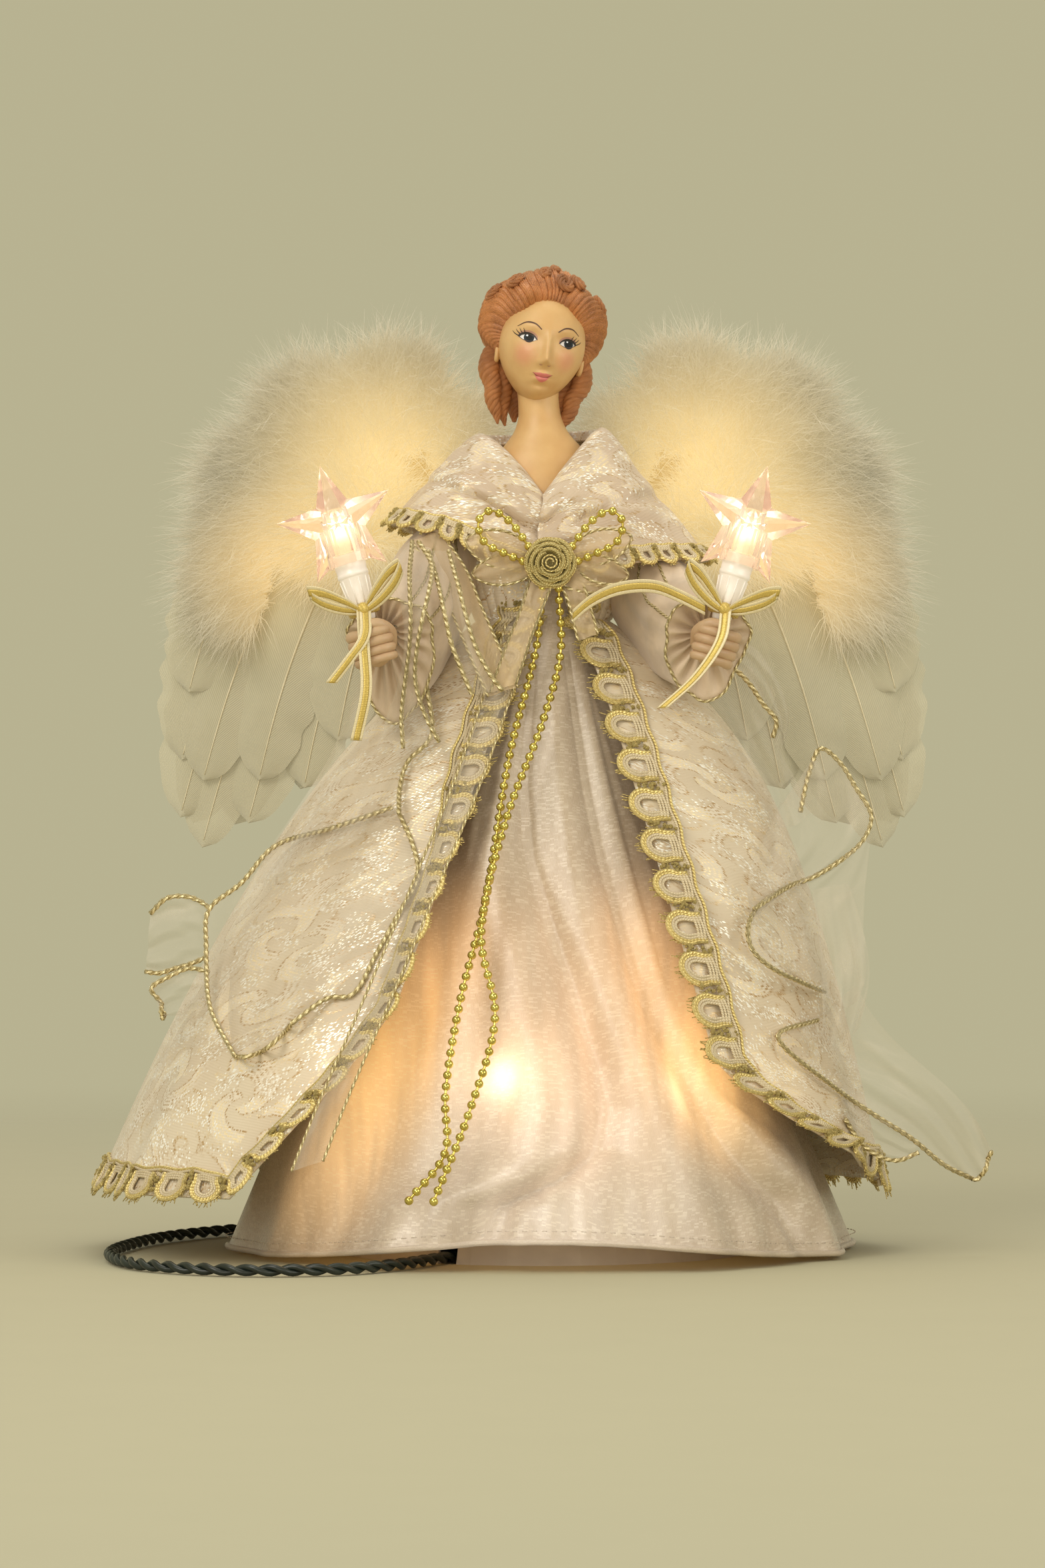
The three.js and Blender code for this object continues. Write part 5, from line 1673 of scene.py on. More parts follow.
@dataclass
class ChestTrim:
    """Sheer bow, rosette, bead loops and strands, and the long ribbon tail."""

    sheer: SheerPanel
    thin: SheerPanel
    middle: Place = (2.0, -31.55, 204.0)
    bow_back: float = -27.5
    bead: float = 1.3
    pitch: float = 3.4
    string: float = 0.4

    def strip(self, path: np.ndarray, across: Place, width: float, waves: float = 0.5) -> np.ndarray:
        """A ribbon's grid, its width along a given direction.

        Args:
            path: Middle line.
            across: Direction of its width.
            width: Its width.
            waves: Depth of its ripple.

        Returns:
            Grid of points.
        """
        across = unit(np.broadcast_to(np.asarray(across, float), path.shape))
        u = np.linspace(-0.5, 0.5, 7)
        side = np.cross(unit(np.gradient(path, axis=0)), across)
        ripple = waves * np.sin(u[None] * 9 + np.linspace(0, 7, len(path))[:, None])
        flat = path[:, None] + across[:, None] * (u * width)[None, :, None]
        return flat + side[:, None] * ripple[..., None]

    def bow(self) -> None:
        """Build the sheer bow's two loops, its short ends and the swag from the left shoulder."""
        x0, _, z0 = self.middle
        back = self.bow_back
        grids, lines = [], []
        t = np.linspace(0, 1, 50)
        u = np.linspace(-1, 1, 11)
        for reach, rise, half in ((-25.0, 7.0, 5.5), (-23.0, -3.0, 4.5), (24.0, 8.0, 5.0), (23.0, -3.5, 4.5)):
            way = np.array((reach, 0.0, rise))
            side = unit(np.array((-rise, 0.0, reach)) * np.sign(reach))
            wide = half * np.sin(math.pi * t**1.3) ** 0.7
            depth = back - 1.5 - 4.0 * np.sin(math.pi * t[:, None]) * (1 - 0.4 * u**2)
            depth = depth + 0.5 * np.sin(5 * u + 8 * t[:, None])
            grid = np.array((x0, 0.0, z0)) + t[:, None, None] * way + (wide[:, None] * u)[..., None] * side
            grid[..., 1] = depth
            grids.append(grid)
        ends = [
            smooth_line([(x0 + 5, -31, z0 - 3), (10, -33.5, 198), (16, -34.0, 196.5), (22, -33.0, 197)], 60),
            smooth_line([(x0 + 5, -31, z0 - 4), (9.5, -33.5, 195), (11.5, -34.5, 188), (13, -35, 182)], 60),
            smooth_line(
                [(-35, -18.5, 213), (-27, -24.5, 201), (-22, -29, 189), (-16, -33, 175), (-12, -36, 166)], 60
            ),
            smooth_line([(x0 - 2, -31, z0 - 3), (-3, -34.5, 192), (-7.5, -35.5, 180), (-12, -36.5, 167)], 60),
        ]
        for path, width in zip(ends, (7.0, 6.0, 9.0, 8.0)):
            grids.append(self.strip(path, (1.0, -0.2, 0.35), width))
        for grid in grids:
            lines += [grid[:, 0], grid[:, -1]]
        made = settle(self.sheer.cloth("bow_sheer", grids), "figure", "organza", "chest_bow")
        edge = settle(self.sheer.cords("bow_edges", lines, 0.45), "figure", "gold_ribbon")
        declare_sheet(made, grids)

    def rosette(self) -> None:
        """Build the rosette from a coiled and frilled ribbon."""
        x0, y0, z0 = self.middle
        v = np.linspace(0, 1, 70)[:, None]
        u = np.linspace(0, 1, 9)[None]
        turn = TAU * 2.1 * v
        reach = 0.5 + 2.2 * v + 0.3 * u
        coil = np.stack([reach * np.cos(turn), -4.6 - 1.2 * u + 1.2 * v, reach * np.sin(turn)], -1)
        petals = [coil]
        rings = ((4, 2.4, 4.3, -4.6), (5, 3.8, 6.0, -3.8), (6, 5.2, 7.5, -2.8))
        for ring, (count, near, far, front) in enumerate(rings):
            for n in range(count):
                side = np.linspace(-1, 1, 17)[:, None]
                angle = TAU * (n + 0.37 * ring) / count + side * 0.72 * TAU / count
                tip = 1 - 0.22 * side**2 - 0.12 * np.abs(side) ** 6
                radius = near + (far - near) * u * tip + 0.35 * side
                level = front + 2.2 * (1 - u) ** 2 - 0.5 * u - 0.9 * np.sin(math.pi * u**2)
                level = level + 0.35 * side + 0.7 * u**6
                petal = [radius * np.cos(angle), level + 0 * angle, radius * np.sin(angle)]
                petals.append(np.stack(petal, -1))
        sparkle = GoldThread("rosette_lame", (0.66, 0.55, 0.23), (0.46, 0.36, 0.12), 0.4, 0.2, 0.7)
        gold = GoldThread("rosette_edge", (1.0, 0.82, 0.36), (0.66, 0.49, 0.16), 0.28, 0.3)
        draft = Draft()
        for petal in petals:
            placed = petal + (x0, y0, z0)
            draft.cloth(placed, 0.3)
            draft.tube(placed[:, -1], 0.24, 6, 1)
        turn = np.linspace(0, TAU, 48, endpoint=False)[None]
        rows = np.array([0.0, 5.6, 6.6, 6.4, 0.0])[:, None]
        depth = np.array([-0.1, -0.1, -0.7, -1.5, -1.7])[:, None]
        base = np.stack([x0 + rows * np.cos(turn), y0 + depth + 0 * turn, z0 + rows * np.sin(turn)], -1)
        draft.grid(base, True)
        made = draft.build("rosette_gold", [sparkle.make(), gold.make()])
        settle(made, "figure", "gold_ribbon", "chest_rosette")

    def string_beads(self, draft: Draft, points: Sequence) -> None:
        """Thread beads along a line."""
        line = smooth_line(points, 200)
        count = max(3, round(length_of(line) / self.pitch) + 1)
        draft.beads(evenly(line, count), self.bead, 8, 14)
        draft.tube(line, self.string, 6)

    def beads(self) -> None:
        """Build the bead loops and the hanging strands."""
        gold = Paint(
            "bead_gold", (0.80, 0.68, 0.20), (0.64, 0.52, 0.13), 0.14, 0.95, grain=600.0, depth=0.02
        ).make()
        middle = np.array(self.middle)
        edge = 7.2 + 0.3 + 0.5
        for side in Side:
            loop = [
                (edge * 0.8, -1, edge * 0.62), (edge + 4, -5, 12), (edge + 9.5, -7, 15), (edge + 13, -7, 12),
                (edge + 11.5, -6, 6), (edge + 5, -4, 2.5), (edge + 0.2, -1, 0.6),
            ]
            draft = Draft()
            self.string_beads(draft, [middle + np.array(p) * (side.value, 1, 1) for p in loop])
            made = draft.build(f"beads_loop_{side.word}", [gold])
            settle(made, "figure", "gold_bead", f"bead_loop_{side.word}")
        paths = {
            Side.LEFT: (
                -2.4, 6.4, [(-2, 180), (-10, 147), (-17, 104), (-24, 76), (-28, 50), (-28, 34), (-38, 21)],
            ),
            Side.RIGHT: (
                2.4, 9.56, [(5, 178), (0, 158), (-11, 128), (-18, 95), (-14, 72), (-21, 46), (-31, 21)],
            ),
        }
        for side, (out, lift, seen) in paths.items():
            top = middle + (out, -1.0, -7.5)
            places = [FORM.in_front(np.array(float(x)), np.array(float(z)), np.array(lift)) for x, z in seen]
            draft = Draft()
            self.string_beads(draft, [top, *places])
            made = draft.build(f"beads_strand_{side.word}", [gold])
            settle(made, "bead_strands", "gold_bead", f"bead_strand_{side.word}")

    def tail(self) -> None:
        """Build the long sheer tail with its two gold edges."""
        seen = [(-6, 190), (-12, 170), (-22, 140), (-34, 110), (-48, 76), (-60, 48), (-67, 30)]
        line = through(seen, np.linspace(0, 1, 90))
        u = np.linspace(-0.5, 0.5, 9)[None]
        x = line[:, :1] + u * 9.0
        z = line[:, 1:] + u * 3.0
        ripple = 0.5 * np.sin(6 * u + np.linspace(0, 16, 90)[:, None])
        points = FORM.in_front(x, z, 4.2 + ripple)
        made = settle(self.thin.cloth("tail_sheer", [points]), "figure", "organza", "ribbon_tail")
        cords = self.sheer.cords("tail_edges", [points[:, 0], points[:, -1]], 0.4)
        edge = settle(cords, "figure", "gold_ribbon")
        declare_sheet(made, [points])

    def build(self) -> None:
        """Build all of the chest trim."""
        self.bow()
        self.rosette()
        self.beads()
        self.tail()


class FacePaint(IntEnum):
    """The face's paints, in the order of the painted face's slots."""

    WHITE = 0
    IRIS = 1
    PUPIL = 2
    GLINT = 3
    LASH = 4
    BROW = 5
    LIPS = 6
    LIP_LINE = 7
    # Painted shade over the upper lids and in the nostrils.
    LID = 8


@dataclass
class Bust:
    """Resin head, hair, neck and chest."""

    middle: Place = (-0.5, -3.0, 271.0)
    roll: float = 9.0
    yaw: float = 8.0
    half: Place = (13.0, 15.0, 17.0)
    features: tuple[tuple[float, float, float, float, float], ...] = (
        (0.0, -5.6, 1.5, 1.5, 2.3), (0.0, -3.6, 1.35, 2.6, 1.6), (0.0, 0.4, 1.2, 3.0, 0.9),
        (-1.6, -6.3, 1.0, 0.9, 0.8), (1.6, -6.3, 1.0, 0.9, 0.8),
        (-5.6, 0.6, 3.0, 2.1, -1.5), (5.6, 0.6, 3.0, 2.1, -1.5),
        (-5.6, 0.3, 2.3, 1.35, 0.8), (5.6, 0.3, 2.3, 1.35, 0.8),
        (-5.4, 4.2, 3.6, 1.5, 0.5), (5.4, 4.2, 3.6, 1.5, 0.5),
        (-6.6, -5.0, 3.4, 3.4, 0.8), (6.6, -5.0, 3.4, 3.4, 0.8),
        (0.0, -9.5, 2.2, 0.75, 0.95), (0.0, -11.1, 1.9, 0.85, 1.1), (0.0, -10.25, 2.4, 0.32, -0.5),
        (0.0, -12.7, 2.6, 0.8, -0.5), (0.0, -15.0, 3.0, 1.9, 1.2), (0.0, -8.0, 0.7, 0.8, -0.25),
    )

    def turned(self, local: np.ndarray) -> np.ndarray:
        """Head coordinates brought into the frame."""
        turn = Matrix.Rotation(math.radians(self.roll), 3, "Y")
        turn = turn @ Matrix.Rotation(math.radians(self.yaw), 3, "Z")
        return np.asarray(local) @ np.array(turn).T + self.middle

    def face(self) -> np.ndarray:
        """The head's surface in its own coordinates."""
        turn = np.linspace(-math.pi, math.pi, 260, endpoint=False)
        turn = turn - 0.55 * np.sin(turn)
        lift = np.linspace(-math.pi / 2 + 0.02, math.pi / 2 - 0.02, 190)[::-1]
        turn, lift = np.meshgrid(turn, lift)
        x = self.half[0] * np.cos(lift) * np.sin(turn)
        y = -self.half[1] * np.cos(lift) * np.cos(turn)
        z = self.half[2] * np.sin(lift)
        low = np.clip(-z / self.half[2], 0, 1)
        x = x * (1 - 0.26 * low**1.7)
        y = np.where(y < 0, y * (1 + 0.05 * low), y * (1 - 0.3 * low))
        front = step(-y, 1.0, 7.0)
        for cx, cz, wide, tall, rise in self.features:
            y = y - front * rise * np.exp(-(((x - cx) / wide) ** 2) - ((z - cz) / tall) ** 2)
        return np.stack([x, y, z], -1)

    def build(self) -> None:
        """Build the head with its painted features, the hair and the chest."""
        face = self.face()
        rows, columns = face.shape[:2]
        cheeks = tuple(tuple(self.turned(np.array((x, -13.0, -4.6)))) for x in (-6.8, 6.8))
        skin = Skin(cheeks=cheeks).make()
        head = Draft()
        head.grid(self.turned(face.reshape(-1, 3)).reshape(face.shape), True)
        self.neck(head)
        self.ears(head)
        bust = settle(head.build("bust_skin", [skin]), "figure", "painted_resin", "resin_bust")
        LOG.info("bust at %s", bust.name)
        corners = np.arange(rows * columns).reshape(rows, columns)
        after = np.roll(corners, -1, 1)
        quads = np.stack([corners[:-1], corners[1:], after[1:], after[:-1]], -1).reshape(-1, 4)
        places = [tuple(p) for p in face.reshape(-1, 3)]
        tree = BVHTree.FromPolygons(places, [tuple(map(int, q)) for q in quads])
        self.painted(tree)
        HairStyle(self).build()

    def neck(self, draft: Draft) -> None:
        """Loft the neck and the chest that shows in the neckline."""
        rows = (
            (188.2, 13.3, 13.3, 0.0, 0.0), (196.2, 13.3, 13.3, 0.0, 0.0), (197, 15.6, 13.0, 0.0, 0.0),
            (206, 21.0, 12.4, 0.0, -0.5), (213, 23.0, 12.2, 0.0, -0.5), (219, 20.5, 12.0, 0.0, -0.5),
            (226, 16.5, 12.0, 0.0, -0.8), (232, 15.8, 11.6, 0.0, -0.9), (237, 14.6, 10.6, -0.1, -0.9),
            (241, 11.6, 9.2, -0.3, -0.9), (245, 8.4, 7.9, -0.6, -0.8), (249, 6.7, 6.9, -0.9, -0.6),
            (253, 6.2, 6.5, -1.3, -0.5), (258, 6.3, 6.7, -1.6, -0.4), (264, 7.4, 7.6, -1.8, 0.4),
        )
        turn = np.linspace(0, TAU, 64, endpoint=False)
        shares = np.linspace(0, 1, 90)
        z, wide, deep, x, y = through(np.array(rows)[:, None, :], shares)[:, 0].T
        grid = np.stack([
            x[:, None] + wide[:, None] * np.sin(turn), y[:, None] - deep[:, None] * np.cos(turn),
            z[:, None] + 0 * turn,
        ], -1)
        draft.grid(grid[::-1], True)

    def ears(self, draft: Draft) -> None:
        """Add two small ears with a rolled rim."""
        for sign in (-1, 1):
            turn = np.linspace(-2.3, 2.4, 16)
            rim = np.stack([
                np.full(16, sign * 12.6) + 0.3 * sign * np.cos(turn), 2.2 - 1.6 * np.cos(turn + 0.3),
                -3.2 + 3.1 * np.sin(turn),
            ], -1)
            draft.tube(self.turned(rim), 0.75, 7)
            draft.ball(self.turned(np.array((sign * 12.2, 1.6, -3.4))), (0.9, 1.5, 2.6), 6, 10)

    def patch(
        self, tree: BVHTree, draft: Draft, outline: Callable, slot: int, lift: float, steps: int = 18
    ) -> None:
        """Lay a thin painted shape on the face.

        Args:
            tree: The face's surface.
            draft: Where the shape's faces go.
            outline: Gives x, and the lower and upper edge, for a share from -1 to 1.
            slot: Material slot.
            lift: Height above the face.
            steps: Columns of faces.
        """
        points = np.zeros((5, steps + 1, 3))
        for i, u in enumerate(np.linspace(-1, 1, steps + 1)):
            x, low, high = outline(u)
            for j, share in enumerate(np.linspace(1, 0, 5)):
                z = blend(low, high, share)
                spot, normal, _, _ = tree.ray_cast(Vector((x, -40.0, z)), Vector((0, 1, 0)))
                points[j, i] = spot + normal * (lift if normal.y < 0 else -lift)
        draft.grid(self.turned(points.reshape(-1, 3)).reshape(points.shape), False, slot)

    def stroke(
        self, tree: BVHTree, draft: Draft, line: Sequence, widths: Sequence[float], slot: int, lift: float
    ) -> None:
        """Paint a brush stroke on the face.

        Args:
            tree: The face's surface.
            draft: Where its faces go.
            line: Points x, z along the stroke.
            widths: Its width at the start, middle and end.
            slot: Material slot.
            lift: Height above the face.
        """
        path = through(line, np.linspace(0, 1, 22))
        wide = np.interp(np.linspace(0, 2, 22), (0, 1, 2), widths)
        along = unit(np.gradient(path, axis=0))
        across = np.stack([-along[:, 1], along[:, 0]], -1)
        points = np.zeros((3, 22, 3))
        for j, share in enumerate((0.5, 0.0, -0.5)):
            for i, (x, z) in enumerate(path + across * (share * wide)[:, None]):
                spot, normal, _, _ = tree.ray_cast(Vector((x, -40.0, z)), Vector((0, 1, 0)))
                points[j, i] = spot + normal * (lift if normal.y < 0 else -lift)
        draft.grid(self.turned(points.reshape(-1, 3)).reshape(points.shape), False, slot)

    def painted(self, tree: BVHTree) -> None:
        """Paint eyes, lashes, brows and lips, with painted shade over the upper lids and in the nostrils."""
        paints = [
            Paint("eye_white", (0.80, 0.76, 0.70), (0.74, 0.68, 0.62), 0.25),
            Paint("iris", (0.022, 0.034, 0.045), (0.012, 0.018, 0.024), 0.75),
            Paint("pupil", (0.006, 0.006, 0.007), (0.004, 0.004, 0.005), 0.7),
            Paint("glint", (0.95, 0.95, 0.95), (0.9, 0.9, 0.9), 0.2),
            Paint("lash", (0.03, 0.018, 0.012), (0.02, 0.012, 0.008), 0.4),
            Paint("brow", (0.12, 0.055, 0.03), (0.09, 0.04, 0.02), 0.5),
            Paint("lips", (0.74, 0.23, 0.19), (0.66, 0.19, 0.155), 0.4),
            Paint("lip_line", (0.28, 0.08, 0.05), (0.22, 0.06, 0.04), 0.4),
            # Painted shade for the upper lids and the nostrils.
            Paint("lid", (0.52, 0.27, 0.17), (0.47, 0.24, 0.15), 0.45),
        ]
        draft = Draft()
        for sign in (-1, 1):
            cx, cz = sign * 6.0, 0.4

            def lid(u: float, grow: float, rise: float) -> tuple[float, float, float]:
                """The eye's almond outline, tilted up at its outer corner."""
                tilt = 0.25 * u * sign
                upper = 1.4 * max(0.0, 1 - abs(u) ** 2.2) ** 0.75
                lower = -0.95 * max(0.0, 1 - abs(u) ** 2.0)
                return cx + 2.55 * grow * u, cz + tilt + lower, cz + tilt + upper + rise

            def disc(radius: float, dx: float, dz: float) -> Callable:
                """A round outline in the eye, cut off by the upper lid."""
                def edge(u: float) -> tuple[float, float, float]:
                    """One column of the disc."""
                    half = radius * math.sqrt(max(0.0, 1 - u * u))
                    return cx + dx + radius * u, cz + dz - half, min(cz + dz + half, cz + 1.35)
                return edge

            # A band of painted shade over the upper lid.
            self.patch(
                tree, draft,
                lambda u: (lid(u, 1.08, 0.0)[0], lid(u, 1.08, 0.0)[2] - 0.2, lid(u, 1.0, 0.9)[2]),
                FacePaint.LID, 0.035,
            )
            self.patch(tree, draft, lambda u: lid(u, 1.0, 0.0), FacePaint.WHITE, 0.06)
            self.patch(tree, draft, disc(1.5, 0.3, 0.2), FacePaint.IRIS, 0.10)
            self.patch(tree, draft, disc(0.85, 0.3, 0.24), FacePaint.PUPIL, 0.13)
            self.patch(tree, draft, disc(0.28, -0.25, 0.75), FacePaint.GLINT, 0.16, 8)
            top = [(lid(u, 1.03, 0.0)[0], lid(u, 1.0, 0.0)[2]) for u in np.linspace(-1, 1, 9) * sign]
            self.stroke(tree, draft, top, (0.35, 0.85, 0.6), FacePaint.LASH, 0.19)
            low = [(lid(u, 1.0, 0.0)[0], lid(u, 1.0, 0.0)[1]) for u in np.linspace(-0.9, 1, 9) * sign]
            self.stroke(tree, draft, low, (0.06, 0.14, 0.2), FacePaint.BROW, 0.12)
            for n, u in enumerate((0.35, 0.6, 0.8, 0.98)):
                x, _, z = lid(sign * u, 1.03, 0.0)
                lash = [(x, z), (x + sign * (0.3 + 0.3 * n), z + 0.8), (x + sign * (0.7 + 0.35 * n), z + 1.5)]
                self.stroke(tree, draft, lash, (0.3, 0.2, 0.06), FacePaint.LASH, 0.2)
            brow = [(sign * 2.5, 3.4), (sign * 4.6, 4.9), (sign * 7.0, 5.1), (sign * 9.3, 3.7)]
            self.stroke(tree, draft, brow, (0.3, 0.5, 0.15), FacePaint.BROW, 0.08)

        def upper_lip(u: float) -> Place:
            """One column of the upper lip: place across, lower and upper edge."""
            dip = 1.15 - 0.26 * math.exp(-((u / 0.22) ** 2))
            top = -10.25 + 0.9 * u * u + dip * max(0.0, 1 - abs(u) ** 1.6)
            return 2.8 * u, -10.3 - 0.1 * (1 - u * u) + 0.85 * u * u, top

        def lower_lip(u: float) -> Place:
            """One column of the lower lip: place across, lower and upper edge."""
            bottom = -10.3 + 0.7 * u * u - 1.5 * max(0.0, 1 - abs(u) ** 2.1)
            return 2.45 * u, bottom, -10.3 + 0.7 * u * u - 0.1 * (1 - u * u)

        self.patch(tree, draft, upper_lip, FacePaint.LIPS, 0.06, 26)
        self.patch(tree, draft, lower_lip, FacePaint.LIPS, 0.06, 26)
        mouth = [(-3.0, -9.3), (-1.5, -10.12), (0.0, -10.42), (1.5, -10.12), (3.0, -9.3)]
        self.stroke(tree, draft, mouth, (0.08, 0.24, 0.08), FacePaint.LIP_LINE, 0.1)
        # Painted shade in the nostrils.
        for sign in (-1, 1):
            nostril = [(sign * 0.7, -6.95), (sign * 1.2, -7.05), (sign * 1.7, -6.8)]
            self.stroke(tree, draft, nostril, (0.1, 0.26, 0.1), FacePaint.LID, 0.05)
        settle(draft.build("painted_face", [p.make() for p in paints]), "figure", "painted_resin")


@dataclass
class HairStyle:
    """Hair combed back from the face, curled on the crown, with a ringlet behind each ear."""

    bust: Bust
    middle: Place = (0.0, 6.6, 4.6)
    half: Place = (19.0, 16.2, 17.6)
    pole: Place = (0.0, 0.93, 0.36)

    def cap(self, draft: Draft) -> None:
        """Comb the cap: ridges run back from the hairline all round the face."""
        axis = Vector(self.pole).normalized()
        turn = np.array(axis.to_track_quat("Z", "Y").to_matrix())
        from_top = np.linspace(-math.pi, math.pi, 900, endpoint=False)[None]
        around = from_top + math.pi / 2
        down = np.linspace(0.06, math.pi - 0.25, 100)[:, None]
        sway = from_top * (1 + 0.8 * step(down, 1.1, 2.9)) + 0.05 * np.sin(4 * around + 5 * down)
        ridge = np.abs(np.sin(19 * sway + 1.5 * np.sin(5 * sway))) ** 0.6
        fine = np.abs(np.sin(67 * sway + 2 * down))
        wave = np.sin(5 * around + 4 * down)
        local = np.stack([
            np.sin(down) * np.cos(around), np.sin(down) * np.sin(around), np.cos(down) + 0 * around
        ], -1) @ turn.T
        grow = 1 + (0.65 * ridge + 0.35 * fine + 0.5 * wave - 0.6)[..., None] / 17.0
        points = self.shaped(local * np.asarray(self.half) * grow)
        marks = np.stack([sway / TAU, down + 0 * around], -1)
        draft.grid(self.bust.turned(points.reshape(-1, 3)).reshape(points.shape), True, 0, marks)

    def shaped(self, points: np.ndarray) -> np.ndarray:
        """Push an ellipsoid into the head of hair: full over the brow, narrow at the nape."""
        lift = step(points[..., 2], 0.0, 9.0)
        ahead = points[..., 1] < 0
        points[..., 1] = np.where(ahead, points[..., 1] * (0.72 + 0.48 * lift), points[..., 1])
        temple = step(np.abs(points[..., 0]), 4.0, 9.0) * step(points[..., 2], -2.0, 4.0)
        points[..., 1] -= np.where(ahead, 2.2 * temple, 0.0)
        points[..., 2] += 2.0 * lift * step(-points[..., 1], -8.0, 6.0)
        points[..., 0] *= 1 - 0.32 * step(-points[..., 2], 2.0, 15.0) - 0.14 * step(points[..., 2], 6.0, 19.0)
        return points + np.asarray(self.middle)

    def lock(
        self, draft: Draft, points: Sequence[Place], radii: Sequence[float], strands: int, twist: float
    ) -> None:
        """Add a lock as a bundle of strands that wind round each other.

        Args:
            draft: Where its faces go.
            points: Its middle line in head coordinates.
            radii: Its radius along that line.
            strands: Number of strands.
            twist: How many times they wind round.
        """
        path = smooth_line(points, 80)
        radius = np.interp(np.linspace(0, 1, 80), np.linspace(0, 1, len(radii)), radii)
        _, across, up = frames(path)
        for n in range(strands):
            turn = (TAU * (n / strands + twist * np.linspace(0, 1, 80)))[:, None]
            line = path + (across * np.cos(turn) + up * np.sin(turn)) * (radius * 0.6)[:, None]
            draft.tube(self.bust.turned(line), radius * (0.28 + 0.9 / strands), 8)

    def curl(self, draft: Draft, turn: float, rise: float, size: float) -> None:
        """Coil a flat curl on the cap.

        Args:
            draft: Where its faces go.
            turn: Its place to the right of the brow, in radians.
            rise: Its place above the cap's middle, in radians.
            size: Its radius.
        """
        wind = np.linspace(0, 2.3 * TAU, 40)
        reach = np.linspace(size, 0.5, 40)
        a = turn + reach * np.cos(wind) / self.half[0]
        b = rise + reach * np.sin(wind) / self.half[2]
        local = np.stack([np.sin(a) * np.cos(b), -np.cos(a) * np.cos(b), np.sin(b)], -1)
        path = self.shaped(local * (np.asarray(self.half) + 0.4))
        self.lock(draft, path, (0.4, 1.0, 1.0, 0.9, 0.5), 4, 3.0)

    def build(self) -> None:
        """Build the hair."""
        draft = Draft()
        self.cap(draft)
        for sign in (-1, 1):
            self.lock(draft, [
                (sign * 12.6, 5.2, 0.0), (sign * 14.2, 4.6, -5.0), (sign * 14.0, 3.4, -10.0),
                (sign * 12.2, 2.8, -14.0),
                (sign * 11.9, 2.2, -18.0), (sign * 10.2, 2.4, -21.5), (sign * 9.2, 1.8, -25.0),
            ], (1.2, 2.7, 3.2, 2.7, 2.4, 1.8, 0.3), 5, 3.2)
            self.lock(draft, [
                (sign * 9.4, 7.6, -2.0), (sign * 10.6, 6.8, -8.0), (sign * 9.0, 6.0, -14.0),
                (sign * 8.2, 5.0, -20.0),
                (sign * 6.6, 4.4, -25.0),
            ], (2.6, 3.6, 3.2, 2.2, 0.3), 5, 2.6)
            self.lock(draft, [
                (sign * 4.5, 10.0, 0.0), (sign * 5.4, 10.4, -8.0), (sign * 4.6, 9.4, -16.0),
                (sign * 3.6, 8.0, -23.0),
            ], (3.0, 4.4, 3.6, 0.6), 6, 2.2)
        for turn, rise, size in (
            (0.28, 0.78, 3.4), (0.72, 0.86, 2.8), (-0.30, 0.98, 3.0), (-0.95, 0.66, 2.6), (0.10, 1.25, 2.6),
            (1.25, 0.5, 2.4),
            (-1.35, 0.42, 2.4),
        ):
            self.curl(draft, turn, rise, size)
        self.lock(draft, [
            (0.0, 20.0, 8.0), (-5.5, 21.5, 3.0), (0.0, 22.5, -3.0), (5.5, 21.5, 3.0), (0.0, 20.5, 6.5)
        ], (2.4, 4.0, 4.0, 4.0, 2.4), 9, 1.6)
        made = draft.build("hair_copper", [Hair().make()])
        settle(made, "figure", "painted_resin")


